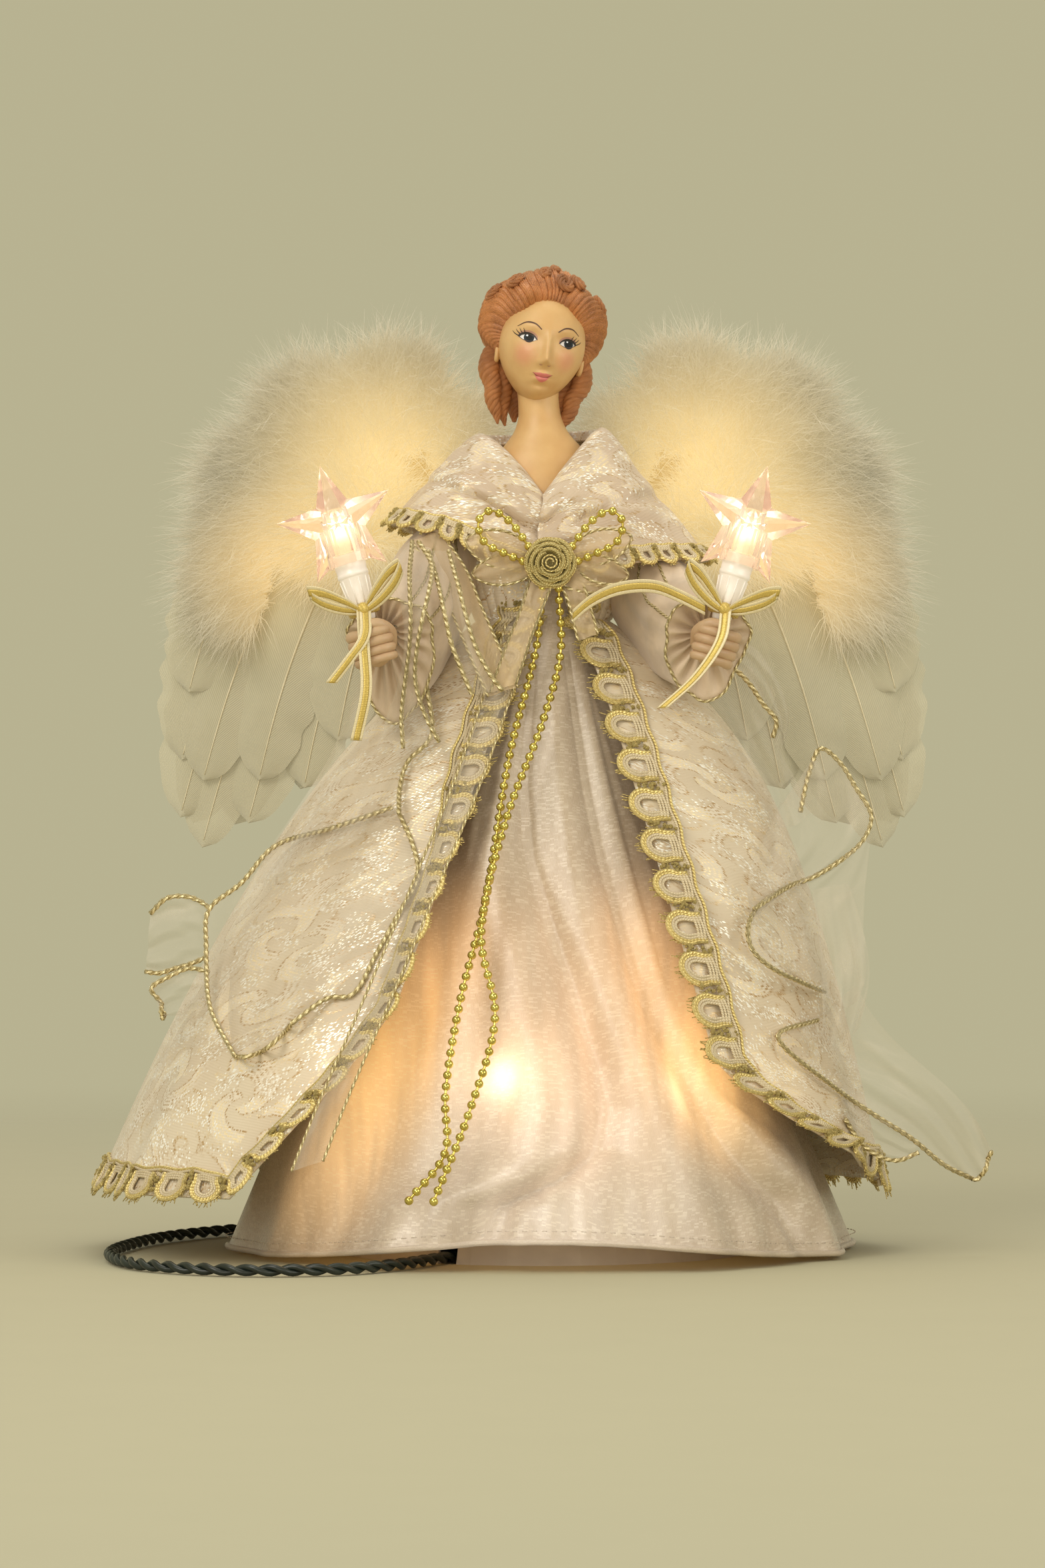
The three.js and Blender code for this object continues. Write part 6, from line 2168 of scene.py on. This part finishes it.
@dataclass
class Arm:
    """One arm: sleeve, drape, hand, lamp holder, ribbon bow and star."""

    side: Side
    sheer: SheerPanel
    lined: SheerPanel
    gold: tuple[bpy.types.Material, bpy.types.Material]
    pivot: Place = (27.5, -0.5, 214.0)
    elbow: Place = (43.0, -17.5, 192.0)
    foot: Place = (51.5, -46.0, 186.5)
    tilt: float = 17.0
    fist: float = 7.5
    cuff_gathers: int = 17
    gather_depth: float = 3.2
    cuff_drawn_in: float = 0.72
    drape_still: Place = (60.0, -40.0, 130.0)
    drape_led: Place = (60.0, -40.0, 176.0)
    tie_still: Place = (14.0, -40.0, 194.0)
    tie_led: Place = (42.0, -46.0, 191.0)

    def out(self, local: np.ndarray) -> np.ndarray:
        """Right-hand points brought to this side."""
        return np.asarray(local, float) * (self.side.value, 1, 1)

    def seat(self, local: np.ndarray) -> np.ndarray:
        """Points about the holder's foot brought into the frame."""
        turn = np.array(Matrix.Rotation(math.radians(self.tilt), 3, "Y"))
        return self.out(np.asarray(local, float) @ turn.T + self.foot)

    @property
    def body(self) -> str:
        """The body that the arm rides on."""
        return f"arm_{self.side.word}"

    def wrist(self) -> tuple[np.ndarray, np.ndarray]:
        """The fist's middle and the way from it to the elbow, on the right-hand side."""
        turn = np.array(Matrix.Rotation(math.radians(self.tilt), 3, "Y"))
        fist = turn @ (0, 0, -self.fist) + self.foot
        return fist, unit(np.array(self.elbow) - fist)

    def bend(self, obj: bpy.types.Object, slot: str, start: Place, end: Place) -> None:
        """Bake a piece of cloth's place into its mesh."""
        self.body
        tuple(MM * self.out(start))
        tuple(MM * self.out(end))
        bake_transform(obj)

    def sleeve(self) -> None:
        """Build the wide sleeve that hangs below the wrist and is gathered in round it."""
        fist, way = self.wrist()
        narrow, drop = (0.93, 0.0) if self.side is Side.LEFT else (1.0, 8.0)
        rows = [
            (27, -3, 217 - drop), (34, -8, 207 - drop), (40, -17, 195 - 0.6 * drop),
            (44, -27, 188 - 0.2 * drop),
            fist + way * 8.0,
        ]
        shares = np.linspace(0, 1, 70)
        line = smooth_line(np.array(rows, float) * (narrow, 1, 1), 70)
        along = unit(np.gradient(line, axis=0))
        across = unit(np.cross(along, (0.0, 0.0, 1.0)))
        up = np.cross(across, along)
        angle = np.linspace(0, TAU, 141)[None]
        v = shares[:, None]
        pleat = 1 + 0.05 * np.sin(5 * angle + 3 * v) * v + 0.02 * np.sin(11 * angle + 5 * v)
        radius = np.interp(v, (0, 0.3, 0.7, 1), (8.0, 12.0, 13.5, 13.0)) * pleat
        low = np.maximum(0, -np.cos(angle)) ** 2
        points = line[:, None] + across[:, None] * (radius * np.sin(angle))[..., None]
        points = points + up[:, None] * (0.9 * radius * np.cos(angle))[..., None]
        points[..., 2] -= (9.0 * np.sqrt(v) + (6.0 if self.side is Side.LEFT else -1.0) * v**2) * low
        points[..., 0] -= 7.0 * low * (1 - v)
        inward = np.linspace(0, 1, 10)[1:, None, None]
        gathers = np.sin(self.cuff_gathers * angle + 2 * np.sin(3 * angle))[..., None] * inward
        drawn = (fist + way * 11.0 - points[-1]) * self.cuff_drawn_in * inward * (1 + 0.1 * gathers)
        cuff = points[-1] + drawn
        cuff = cuff + way * self.gather_depth * gathers * (1 - 0.7 * inward)
        whole = self.out(np.concatenate([points, cuff]))
        points = self.out(points)
        word = self.side.word
        cloth = self.lined.cloth(f"sleeve_sheer_{word}", [whole])
        edge = self.sheer.cords(f"sleeve_edge_{word}", [points[-1], points[6:, 12], points[6:, 26]], 0.45)
        self.bend(cloth, "organza", self.pivot, self.elbow)
        self.bend(edge, "gold_ribbon", self.pivot, self.elbow)
        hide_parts(f"sleeve_{word}")
        declare_sheet(cloth, [whole])

    def panels(self) -> list[tuple[list, list, float, str]]:
        """Panels as seen from the front: two edges (x, z), distance from the coat and corded edges."""
        if self.side is Side.LEFT:
            return [
                (
                    [(-52, 176), (-56, 166), (-63, 148), (-72, 133), (-80, 121), (-88, 110)],
                    [(-37, 182), (-34, 166), (-33, 153), (-40, 145), (-42, 137), (-42, 130)], 4.0, "far",
                ),
                (
                    [
                        (-44, 132), (-62, 126), (-79, 121), (-89, 110), (-98.5, 102), (-99, 92), (-97, 74),
                        (-89, 60),
                    ],
                    [
                        (-42, 130), (-38, 121), (-36.4, 112), (-42, 101), (-48, 90), (-55, 78), (-62, 77),
                        (-72, 70),
                    ],
                    1.6,
                    "near far hem",
                ),
                (
                    [(-98.3, 102.6), (-101, 104.5), (-105, 106), (-111, 105.5), (-116, 101)],
                    [(-98.5, 88.5), (-103, 86.5), (-108, 85), (-113, 83.5), (-117, 84)], 3.0, "near far",
                ),
                (
                    [(-98, 84), (-104, 85), (-110, 82.5), (-115, 79), (-112, 75)],
                    [(-96.5, 74), (-100, 72.5), (-104, 71.5), (-108, 71), (-111, 72)], 4.2, "near hem",
                ),
            ]
        return [
            (
                [(34, 184), (41, 180), (49, 176), (57, 173), (61, 169), (65, 163), (69, 158), (68, 153)],
                [(46, 190), (52, 186), (58, 183), (64, 179), (68, 173), (71, 167), (73, 160), (72, 153)],
                5.0, "near",
            ),
            (
                [(38, 182), (45, 164), (54, 148), (62, 136), (67, 128)],
                [(62, 174), (67, 162), (70, 150), (75, 140), (79, 131)], 3.4, "",
            ),
            (
                [(70, 134), (66, 126), (61, 117), (59, 108), (60, 102)],
                [
                    (76, 131), (79, 143), (82.5, 150), (88, 146), (93, 138), (97.4, 130), (95, 123),
                    (88.4, 117), (80, 112), (71, 108.5), (61, 102.5),
                ],
                2.0, "far",
            ),
            (
                [
                    (89, 117.5), (80, 112), (71, 108.5), (62, 103), (59, 97), (60, 91), (65.5, 85.7),
                    (74, 81.5), (82.6, 78),
                ],
                [
                    (97, 124), (96, 116), (95, 108), (94.5, 100), (94.5, 93), (95, 87), (95, 83), (94, 79),
                    (92, 75),
                ],
                3.2, "near",
            ),
            (
                [(79, 108), (81, 92), (81, 76), (81, 62)],
                [(90, 110), (94, 97), (96, 84), (93, 68)], 5.0, "",
            ),
            (
                [(80, 70), (67.5, 66), (84, 51), (97, 42), (108, 35), (118, 27), (126, 23)],
                [(92, 80), (97, 71), (104, 63), (112, 56), (120, 49), (127, 41), (132, 31)], 2.0, "near hem",
            ),
            (
                [(86, 50), (92, 45), (98, 41), (104, 38), (109, 35)],
                [(88, 41), (92, 35), (98, 30), (104, 28.6), (110, 31)], 3.2, "far",
            ),
        ]

    def loose_ribbons(self) -> list[tuple[list[Place], list[Place], int]]:
        """Ribbons from under the cape over the left sleeve: two edges and the first gold column."""
        if self.side is Side.RIGHT:
            return []
        return [
            (
                [
                    (-40, -22, 211), (-43.5, -33, 204), (-42.5, -46.5, 195), (-41, -48, 187),
                    (-40.8, -46, 178),
                    (-42.5, -43.5, 168), (-46, -42.5, 158), (-48, -43.5, 148),
                ],
                [
                    (-37, -24, 211), (-33, -31, 204), (-33.5, -43, 195), (-35.5, -48, 186), (-37, -46, 178),
                    (-37.5, -43.5, 169), (-35, -42.5, 160), (-30.5, -43.5, 151),
                ],
                8,
            ),
            (
                [
                    (-34, -27, 208), (-31, -37, 198), (-29, -43, 189), (-27, -43, 180), (-23.5, -42, 171),
                    (-21, -42, 165),
                ],
                [
                    (-28, -27, 208), (-25, -36, 197), (-22.5, -40, 187), (-19.5, -41, 178), (-15, -41, 170),
                    (-12, -41, 166),
                ],
                0,
            ),
        ]

    def drape(self) -> None:
        """Build the sheer drape that falls from the sleeve over the coat."""
        t = np.linspace(0, 1, 90)
        rise = t[:, None]
        grids, lines = [], []
        for near, far, lift, corded in self.panels():
            first, second = through(near, t), through(far, t)
            u = np.linspace(0, 1, 51)[None]
            belly = np.sin(math.pi * u) * step(rise, 0.6, 1.0) * 3.0
            x = blend(first[:, :1], second[:, :1], u)
            z = blend(first[:, 1:], second[:, 1:], u) - belly
            wave = 0.5 + 0.5 * np.cos(TAU * 2.4 * u + 2 * rise + 1.1 * np.sin(7 * rise))
            frill = 0.8 * np.sin(TAU * 5 * u + 9 * rise) * rise
            depth = lift + (1.5 + 4.5 * rise) * wave + np.maximum(frill, -0.5)
            points = FORM.in_front(x, z, depth + 13.0 * step(z, 148.0, 178.0))
            grids.append(points)
            edges = {"near": points[:, 0], "far": points[:, -1], "hem": points[-1]}
            lines += [line for word, line in edges.items() if word in corded.split()]
        for near, far, gold_at in self.loose_ribbons():
            share = np.linspace(0, 1, 21)[None, :, None]
            points = blend(smooth_line(near, 90)[:, None], smooth_line(far, 90)[:, None], share)
            points[..., 1] += 0.8 * np.sin(TAU * 1.5 * share[..., 0] + 6 * rise)
            grids.append(points)
            lines += [points[:, gold_at], points[:, -1]]
        word = self.side.word
        cloth = self.sheer.cloth(f"drape_sheer_{word}", grids)
        edge = self.sheer.cords(f"drape_edge_{word}", lines, 0.7)
        for made, slot in ((cloth, "organza"), (edge, "gold_ribbon")):
            self.bend(made, slot, self.drape_still, self.drape_led)
        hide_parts(f"drape_{word}")
        declare_sheet(cloth, grids)

    def hand(self) -> None:
        """Build the fist: palm, four curled fingers, thumb and wrist."""
        draft = Draft()
        palm = np.array((0.0, 0.6, -self.fist))
        polar_angle = np.linspace(0.05, math.pi - 0.05, 16)[:, None]
        turn = np.linspace(0, TAU, 28, endpoint=False)[None]
        local = np.stack([
            5.2 * np.sin(polar_angle) * np.cos(turn), 5.4 * np.sin(polar_angle) * np.sin(turn),
            6.6 * np.cos(polar_angle) + 0 * turn,
        ], -1) + palm
        draft.grid(self.seat(local.reshape(-1, 3)).reshape(local.shape), True)
        for level, size in ((3.6, 1.75), (0.9, 1.8), (-1.8, 1.7), (-4.3, 1.45)):
            z = palm[2] + level
            finger = smooth_line([
                (5.2, 1.0, z), (5.6, -3.2, z), (3.0, -6.0, z - 0.2), (-1.8, -6.4, z - 0.3),
                (-4.6, -4.4, z - 0.3), (-4.2, -1.6, z),
            ], 30)
            share = np.linspace(0, 1, 30)
            radius = size * (1 - 0.25 * share**2) * (1 + 0.08 * np.sin(np.linspace(0, 9, 30)))
            draft.tube(self.seat(finger), radius, 10)
        thumb = smooth_line([
            (-4.6, 1.0, palm[2] - 1.0), (-5.4, -3.0, palm[2] + 2.6), (-2.6, -5.8, palm[2] + 5.4),
            (0.8, -6.2, palm[2] + 5.9),
        ], 24)
        draft.tube(self.seat(thumb), np.linspace(2.1, 1.5, 24), 10)
        fist, way = self.wrist()
        wrist = fist + np.linspace(0, 11, 14)[:, None] * way
        draft.tube(self.out(wrist), np.linspace(3.9, 3.1, 14), 14)
        # The hands' skin is a darker, greyer copy of the face's skin: painted shade.
        skin = Skin("hand_skin", (0.58, 0.40, 0.22), (0.50, 0.32, 0.17)).make()
        made = draft.build(f"fist_{self.side.word}", [skin])
        settle(made, self.body, "painted_resin", f"hand_{self.side.word}")

    def holder(self) -> None:
        """Build the white candle-shaped lamp holder."""
        profile = [
            (0.0, -9.0), (2.3, -9.0), (2.3, -0.1), (2.7, 0.2), (3.0, 1.6), (3.3, 4.2), (3.9, 9.0),
            (4.3, 13.0),
            (4.4, 13.2), (4.65, 13.4), (4.65, 14.4), (4.45, 14.6), (4.7, 17.0), (4.95, 19.2), (4.9, 19.9),
            (4.2, 20.0), (0.0, 20.0),
        ]
        draft = Draft()
        draft.turned(profile, 32, self.seat)
        for n in range(10):
            a = TAU * n / 10
            ridge = ((3.5, 5.0), (3.9, 8.5), (4.3, 12.6))
            rib = np.array([(r * math.cos(a), r * math.sin(a), z) for r, z in ridge])
            draft.tube(self.seat(rib), 0.22, 6)
        warm = Glow(tuple(self.seat(np.array((0.0, 0.0, 22.0)))), 13.0, (1.0, 0.72, 0.4), 0.4)
        soft = Glow(tuple(self.seat(np.array((0.0, 0.0, 11.0)))), 18.0, (1.0, 0.86, 0.66), 0.24, 1.0)
        finish = Paint(
            "holder_white", (0.84, 0.79, 0.70), (0.78, 0.72, 0.62), 0.3, coat=0.3, glows=(warm, soft)
        )
        made = draft.build(f"holder_{self.side.word}", [finish.make()])
        settle(made, self.body, "white_plastic", f"lamp_holder_{self.side.word}")

    def ribbon(
        self, draft: Draft, path: np.ndarray, across: Place, width: np.ndarray, place: Callable
    ) -> None:
        """Lay a gold ribbon with two pale edges along a line.

        Args:
            draft: Where its faces go; slot 0 is the gold, slot 1 the edges.
            path: Its middle line.
            across: Direction of its width.
            width: Its width along the line.
            place: Brings the grid into the frame.
        """
        way = unit(np.array(across)) * width[:, None, None]
        for low, high, slot in ((-0.5, -0.24, 1), (-0.25, 0.25, 0), (0.24, 0.5, 1)):
            grid = path[:, None] + way * np.linspace(low, high, 4)[None, :, None]
            draft.cloth(place(grid), 0.4 if slot == 0 else 0.32, slot=slot)

    def bow(self) -> None:
        """Tie the gold ribbon bow round the holder."""
        draft = Draft()
        ring = [(3.6, 1.5), (3.9, 5.0), (4.7, 4.8), (4.9, 3.2), (4.6, 1.8), (3.6, 1.5)]
        draft.turned(ring, 28, self.seat)
        draft.ball(self.seat(np.array((0.0, -5.4, 3.2))), (1.9, 1.6, 1.9), 8, 12)
        loops = [
            smooth_line([
                (sign * 1.0, -5.6, 3.4), (sign * 5.0, -7.2, 7.0), (sign * 10.5, -7.8, 11.0),
                (sign * 14.0, -7.2, 12.0),
                (sign * 11.5, -6.6, 8.4), (sign * 6.0, -6.0, 4.6), (sign * 1.0, -5.4, 2.6),
            ], 48)
            for sign in (-1, 1)
        ]
        tails = [smooth_line([(0.5, -5.4, 3.0), (1.5, -10.4, -6), (-2, -12.5, -18), (-9, -12, -30)], 36)]
        if self.side is Side.LEFT:
            tails = [smooth_line([(0.5, -5.4, 2.8), (3, -10.0, -8), (6, -12.0, -20), (13, -11.5, -33)], 36)]
            short = [(-0.5, -5.4, 2.8), (2, -10.0, -5), (8, -11.5, -10), (15, -11.5, -15)]
            tails.append(smooth_line(short, 30))
        for path in loops:
            pinch = 0.4 + 0.6 * np.sin(np.linspace(0, math.pi, len(path))) ** 0.5
            self.ribbon(draft, path, (0.0, -0.6, 1.0), 4.4 * pinch, self.facing)
        for path in tails:
            self.ribbon(draft, path, (1.0, -0.3, 0.35), np.full(len(path), 3.4), self.facing)
        made = draft.build(f"bow_{self.side.word}", list(self.gold))
        settle(made, self.body, "gold_ribbon", f"holder_bow_{self.side.word}")

    def facing(self, local: np.ndarray) -> np.ndarray:
        """A grid about the holder's foot, brought into the frame with its face kept outward."""
        points = self.seat(local.reshape(-1, 3)).reshape(local.shape)
        return points[:, ::-1] if self.side is Side.LEFT else points

    def tie(self) -> None:
        """Build the gold ribbon from the right holder to the chest."""
        path = smooth_line([
            (46.8, -50.5, 189.5), (40, -50, 193.0), (32, -47, 196.2), (22, -43.5, 195.8), (14, -40.0, 192.5),
            (8.5, -38.5, 188.0),
        ], 60)
        draft = Draft()
        self.ribbon(draft, path, (0.0, -0.4, 1.0), np.full(60, 4.0), lambda grid: grid)
        made = draft.build("tie_gold", list(self.gold))
        self.bend(made, "gold_ribbon", self.tie_still, self.tie_led)
        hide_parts("gold_tie")

    def star(self) -> None:
        """Give the star cap its clear lit acrylic and the bulb inside it its glow."""
        middle = tuple(self.seat(np.array((0.0, 0.0, 27.0))))
        glows = (Glow(middle, 28.0, (1.0, 0.52, 0.30), 0.14, 1.0), Glow(middle, 9.0, (1.0, 0.80, 0.5), 0.5))
        filament = (
            Glow(middle, 15.0, (1.0, 0.62, 0.36), 0.55, 1.0), Glow(middle, 6.0, (1.0, 0.86, 0.62), 3.0),
        )
        word = self.side.word
        bulb = Paint(f"lit_star_bulb_{word}", (0.90, 0.78, 0.60), (0.84, 0.70, 0.50), 0.15, glows=filament)
        for name, finish, slot in (
            ("star_cap", Acrylic(f"star_acrylic_{word}", glows), "clear_acrylic"),
            ("star_bulb", bulb, "lit_glass"),
        ):
            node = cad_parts[f"{name}_{word}"]
            node.data.materials.clear()
            node.data.materials.append(finish.make())

    def build(self) -> None:
        """Build the whole arm."""
        self.sleeve()
        self.drape()
        self.hand()
        self.holder()
        self.bow()
        self.star()
        if self.side is Side.RIGHT:
            self.tie()


@dataclass
class Wing:
    """One wing: broad quill feathers below and a bank of marabou above."""

    side: Side
    hinge_x: float = 8.0
    hinge_y: float = 36.2
    sweep: float = 12.0
    base: float = 196.0
    barbs: int = 57000
    puffs: tuple[tuple[float, float, float, float], ...] = (
        (17, 46, 13, 17), (38, 60, 21, 20), (61, 55, 21, 21), (78, 36, 18, 22), (86, 11, 13, 21),
        (52, 28, 26, 24),
    )

    def out(self, local: np.ndarray) -> np.ndarray:
        """Wing coordinates (outward, back, above the cone) brought into the frame."""
        local = np.asarray(local, float)
        a = math.radians(self.sweep)
        x = self.hinge_x + local[..., 0] * math.cos(a) - local[..., 1] * math.sin(a)
        y = self.hinge_y + local[..., 0] * math.sin(a) + local[..., 1] * math.cos(a)
        return np.stack([self.side.value * x, y, self.base + local[..., 2]], -1)

    def glows(self, strength: float, pale: float) -> tuple[Glow, ...]:
        """The wing lamp's light in the feathers."""
        middle = tuple(self.out(np.array((40.0, -6.0, 39.0))))
        outer = tuple(self.out(np.array((74.0, -6.0, 10.0))))
        return (
            Glow(middle, 54.0, (1.0, 0.69, 0.25), strength, 1.0),
            Glow(outer, 36.0, (1.0, 0.63, 0.20), strength * 0.75, 1.0),
            Glow(middle, 500.0, (1.0, 0.94, 0.72), pale, 1.0),
        )

    def feather(
        self, draft: Draft, root: Sequence[float], tip: Sequence[float], half: float, level: float,
        bend: float,
    ) -> None:
        """Add one long feather with its quill.

        Args:
            draft: Where its faces go; slot 0 is the vane, slot 1 the quill.
            root: Where it starts in the wing's plane.
            tip: Where it ends.
            half: Half of its width.
            level: Place from back to front.
            bend: Sideways bow of its quill.
        """
        t = np.linspace(0, 1, 48)
        root, tip = np.asarray(root, float), np.asarray(tip, float)
        along = (tip - root) / np.linalg.norm(tip - root)
        across = np.array((-along[1], along[0]))
        line = root + np.outer(t, tip - root) + across * (bend * np.sin(math.pi * t))[:, None]
        taper = np.clip((t - 0.6) / 0.4, 0, 1) ** 2.8
        width = half * step(t, -0.15, 0.3) * np.sqrt(np.clip(1 - taper, 0, 1)) + 0.1
        u = np.linspace(-1, 1, 15)
        ragged = 1 + (0.05 * np.sin(37 * t) + 0.04 * np.sin(61 * t))[:, None] * np.abs(u) ** 3
        spread = width[:, None] * ragged * u[None] * np.where(u < 0, 0.85, 1.1)
        plane = line[:, None] + across * spread[..., None]
        plane = plane - along * (0.1 * width[:, None] * np.abs(u)[None] ** 1.5)[..., None]
        back = level + 1.0 * (u**2)[None] * (width / half)[:, None] - 2.5 * (t**2)[:, None]
        back = back + 0.4 * np.sin(3 * u + 5 * t[:, None])
        local = np.stack([plane[..., 0], back, plane[..., 1]], -1)
        length = np.linalg.norm(tip - root)
        marks = np.stack(np.broadcast_arrays(u[None] * half / 100, (t * length / 100)[:, None]), -1)
        draft.grid(self.out(local), False, 0, marks)
        quill = np.stack([line[:, 0], level - 0.2 - 2.5 * t**2 + 0.4 * np.sin(5 * t), line[:, 1]], -1)
        draft.tube(self.out(quill[:-1]), np.linspace(0.6, 0.14, 47), 6, 1)

    def quills(self) -> None:
        """Build the fan of broad feathers, front and back."""
        draft = Draft()
        dice = np.random.default_rng(11)
        fan = [(50, -44), (68, -57), (86, -67), (101, -75), (106, -60), (106, -38)]
        for level, count, reach, half in ((-1.4, 6, 1.0, 13.0), (-3.6, 4, 0.86, 12.5), (3.6, 5, 0.97, 12.0)):
            for i in range(count):
                way = (i + (0.4 if level < -3 else 0.0)) / (count - 0.6)
                root = np.array((blend(30, 78, way), blend(22, 34, way)))
                tip = blend(root, through(fan, np.array([way]))[0], reach) + dice.normal(0, 1.0, 2)
                self.feather(
                    draft, root, tip, half + dice.normal(0, 0.6), level - 0.15 * i, dice.normal(4.0, 1.2)
                )
        vane = Plume(
            "goose_vane", (0.57, 0.525, 0.345), (0.51, 0.465, 0.295), 620.0, 0.80, self.glows(0.16, 0.06)
        )
        quill = Paint("goose_quill", (0.80, 0.72, 0.50), (0.72, 0.64, 0.42), 0.4)
        made = draft.build(f"quills_{self.side.word}", [vane.make(), quill.make()])
        settle(made, f"wing_{self.side.word}", "feather", f"wing_quills_{self.side.word}")

    def bank(self, draft: Draft) -> None:
        """Add the soft mass under the down, one rounded pillow for each tuft of marabou."""
        for x, z, wide, tall in self.puffs:
            polar_angle = np.linspace(0.04, math.pi - 0.04, 14)[:, None]
            turn = np.linspace(0, TAU, 24, endpoint=False)[None]
            local = np.stack([
                x + 0.7 * wide * np.sin(polar_angle) * np.cos(turn),
                -4.4 + 4.4 * np.sin(polar_angle) * np.sin(turn),
                z + 0.7 * tall * np.cos(polar_angle) + 0 * turn,
            ], -1)
            draft.grid(self.out(local), True, 1)

    def down(self) -> None:
        """Build the marabou: many thin curved barbs that lie outward from the wing's middle."""
        dice = np.random.default_rng(23)
        draft = Draft()
        self.bank(draft)
        puffs = np.array(self.puffs, float)
        area = puffs[:, 2] * puffs[:, 3]
        tufts = self.barbs // 38
        pick = dice.choice(len(puffs), tufts, p=area / area.sum())
        turn = dice.uniform(0, TAU, tufts)
        far = np.sqrt(dice.uniform(0.02, 1.0, tufts)) * 0.8
        root = np.stack([
            puffs[pick, 0] + puffs[pick, 2] * far * np.cos(turn),
            -3.0 - 6.0 * np.sqrt(np.clip(1 - far**2, 0, 1)),
            puffs[pick, 1] + puffs[pick, 3] * far * np.sin(turn),
        ], -1)
        hub = np.array((46.0, 0.0, 20.0))
        spread = unit((root - hub) * (1, 0, 1))
        lean = unit(spread + np.array((0.0, -0.34, 0.0)) + dice.normal(0, 0.32, root.shape))
        n = tufts * 38
        start = np.repeat(root, 38, 0) + dice.normal(0, 1.0, (n, 3)) * (1, 0.5, 1)
        way = unit(np.repeat(lean, 38, 0) + dice.normal(0, 0.26, (n, 3)))
        size = dice.uniform(7.0, 18.0, n)[:, None]
        curl = unit(dice.normal(0, 1, (n, 3))) * 0.4 + np.array((0.0, 0.0, -0.22))
        shares = np.array((0.0, 0.3, 0.65, 1.0))
        line = np.stack([start + way * size * s + curl * size * s * s * 0.8 for s in shares], 1)
        line[..., 1] = np.minimum(line[..., 1], 9.0)
        across = unit(np.cross(way, dice.normal(0, 1, (n, 3))))
        thin = (0.12 * (1 - shares) ** 0.7 + 0.012)[None, :, None]
        ribbon = np.stack([line - across[:, None] * thin, line + across[:, None] * thin], 2)
        places = self.out(ribbon.reshape(-1, 3))
        base = (np.arange(n) * 8)[:, None]
        steps = (2 * np.arange(3))[None]
        corners = [base + steps, base + steps + 1, base + steps + 3, base + steps + 2]
        corners = np.stack(corners, -1).reshape(-1, 4)
        marks = np.tile(np.repeat(shares, 2), n)
        draft.add(places, corners, 0, np.stack([marks, np.repeat(dice.uniform(0, 1, n), 8)], -1))
        barbs = Plume(
            "marabou_barb", (0.60, 0.555, 0.415), (0.54, 0.495, 0.355), glows=self.glows(0.34, 0.10)
        )
        mass = Plume("marabou_mass", (0.58, 0.50, 0.30), (0.52, 0.44, 0.25), glows=self.glows(0.36, 0.08))
        made = draft.build(f"down_{self.side.word}", [barbs.make(), mass.make()])
        settle(made, f"wing_{self.side.word}", "marabou", f"wing_fluff_{self.side.word}")

    def build(self) -> None:
        """Build the wing."""
        self.quills()
        self.down()


class CarriedOver:
    """CAD pieces that show as they are, with their finishes."""

    def build(self) -> None:
        """Dress every node that no piece stands for."""
        card = Paint("grey_card", (0.62, 0.57, 0.47), (0.54, 0.49, 0.40), 0.85, grain=300.0, depth=0.1).make()
        pale = Paint("pale_card", (0.84, 0.74, 0.48), (0.78, 0.67, 0.42), 0.85, grain=300.0, depth=0.1).make()
        steel = Paint("bent_steel", (0.55, 0.55, 0.53), (0.45, 0.45, 0.44), 0.3, 0.95).make()
        green = Paint("green_socket", (0.02, 0.035, 0.024), (0.012, 0.022, 0.015), 0.45).make()
        white = Paint("white_socket", (0.80, 0.77, 0.70), (0.72, 0.69, 0.62), 0.35).make()
        brass = Paint("brass_blade", (0.66, 0.50, 0.24), (0.54, 0.40, 0.18), 0.28, 0.95).make()
        bulb = LitGlass().make()
        dress = {
            "inner_cone": (card, "card"), "wing_card": (pale, "card"),
            "harness_trunk": (green, "green_plastic"),
            "lamp_loop_wire": (green, "green_plastic"), "skirt_socket": (green, "green_plastic"),
            "skirt_bulb": (bulb, "lit_glass"), "wing_bulb": (bulb, "lit_glass"),
            "wing_socket": (white, "white_plastic"), "wing_bracket": (steel, "steel_wire"),
            "arm_wire": (steel, "steel_wire"), "lead_tie": (green, "green_plastic"),
            "plug_blade": (brass, "blade_brass"),
        }
        for name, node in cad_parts.items():
            found = [value for start, value in dress.items() if name.startswith(start)]
            if found:
                node.data.materials.clear()
                node.data.materials.append(found[0][0])


def main() -> None:
    """Build the stage and every piece of the topper in order."""
    logging.basicConfig(level=logging.INFO, format="%(name)s: %(message)s")
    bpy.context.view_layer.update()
    Studio().build()
    LampLead().build()
    Skirt().build()
    coat, cape = Coat(), Cape()
    coat.build()
    cape.build()
    Trim(coat, cape).build()
    cord_gold = GoldThread("cord_gold", (0.88, 0.75, 0.42), (0.36, 0.27, 0.10), 0.3, 0.4, 2.4, 1.2).make()
    ribbon_gold = GoldThread(
        "ribbon_gold", (0.74, 0.55, 0.15), (0.54, 0.38, 0.08), 0.28, 0.35, 0.5, 0.3
    ).make()
    ribbon_edge = GoldThread("ribbon_edge", (0.84, 0.73, 0.45), (0.70, 0.58, 0.32), 0.3, 0.1, 0.5, 0.3).make()
    sheer = SheerPanel(Organza().make(), cord_gold)
    thin = Organza("sheer_ribbon", (0.80, 0.61, 0.35), (0.68, 0.49, 0.25), 0.46)
    ribbon = SheerPanel(thin.make(), cord_gold)
    lining = Organza("lined_sleeve", (0.76, 0.595, 0.40), (0.67, 0.505, 0.325), 0.80)
    lined = SheerPanel(lining.make(), cord_gold)
    ChestTrim(ribbon, sheer).build()
    Bust().build()
    for side in Side:
        Arm(side, sheer, lined, (ribbon_gold, ribbon_edge)).build()
        Wing(side).build()
    CarriedOver().build()


if __name__ == "__main__":
    main()
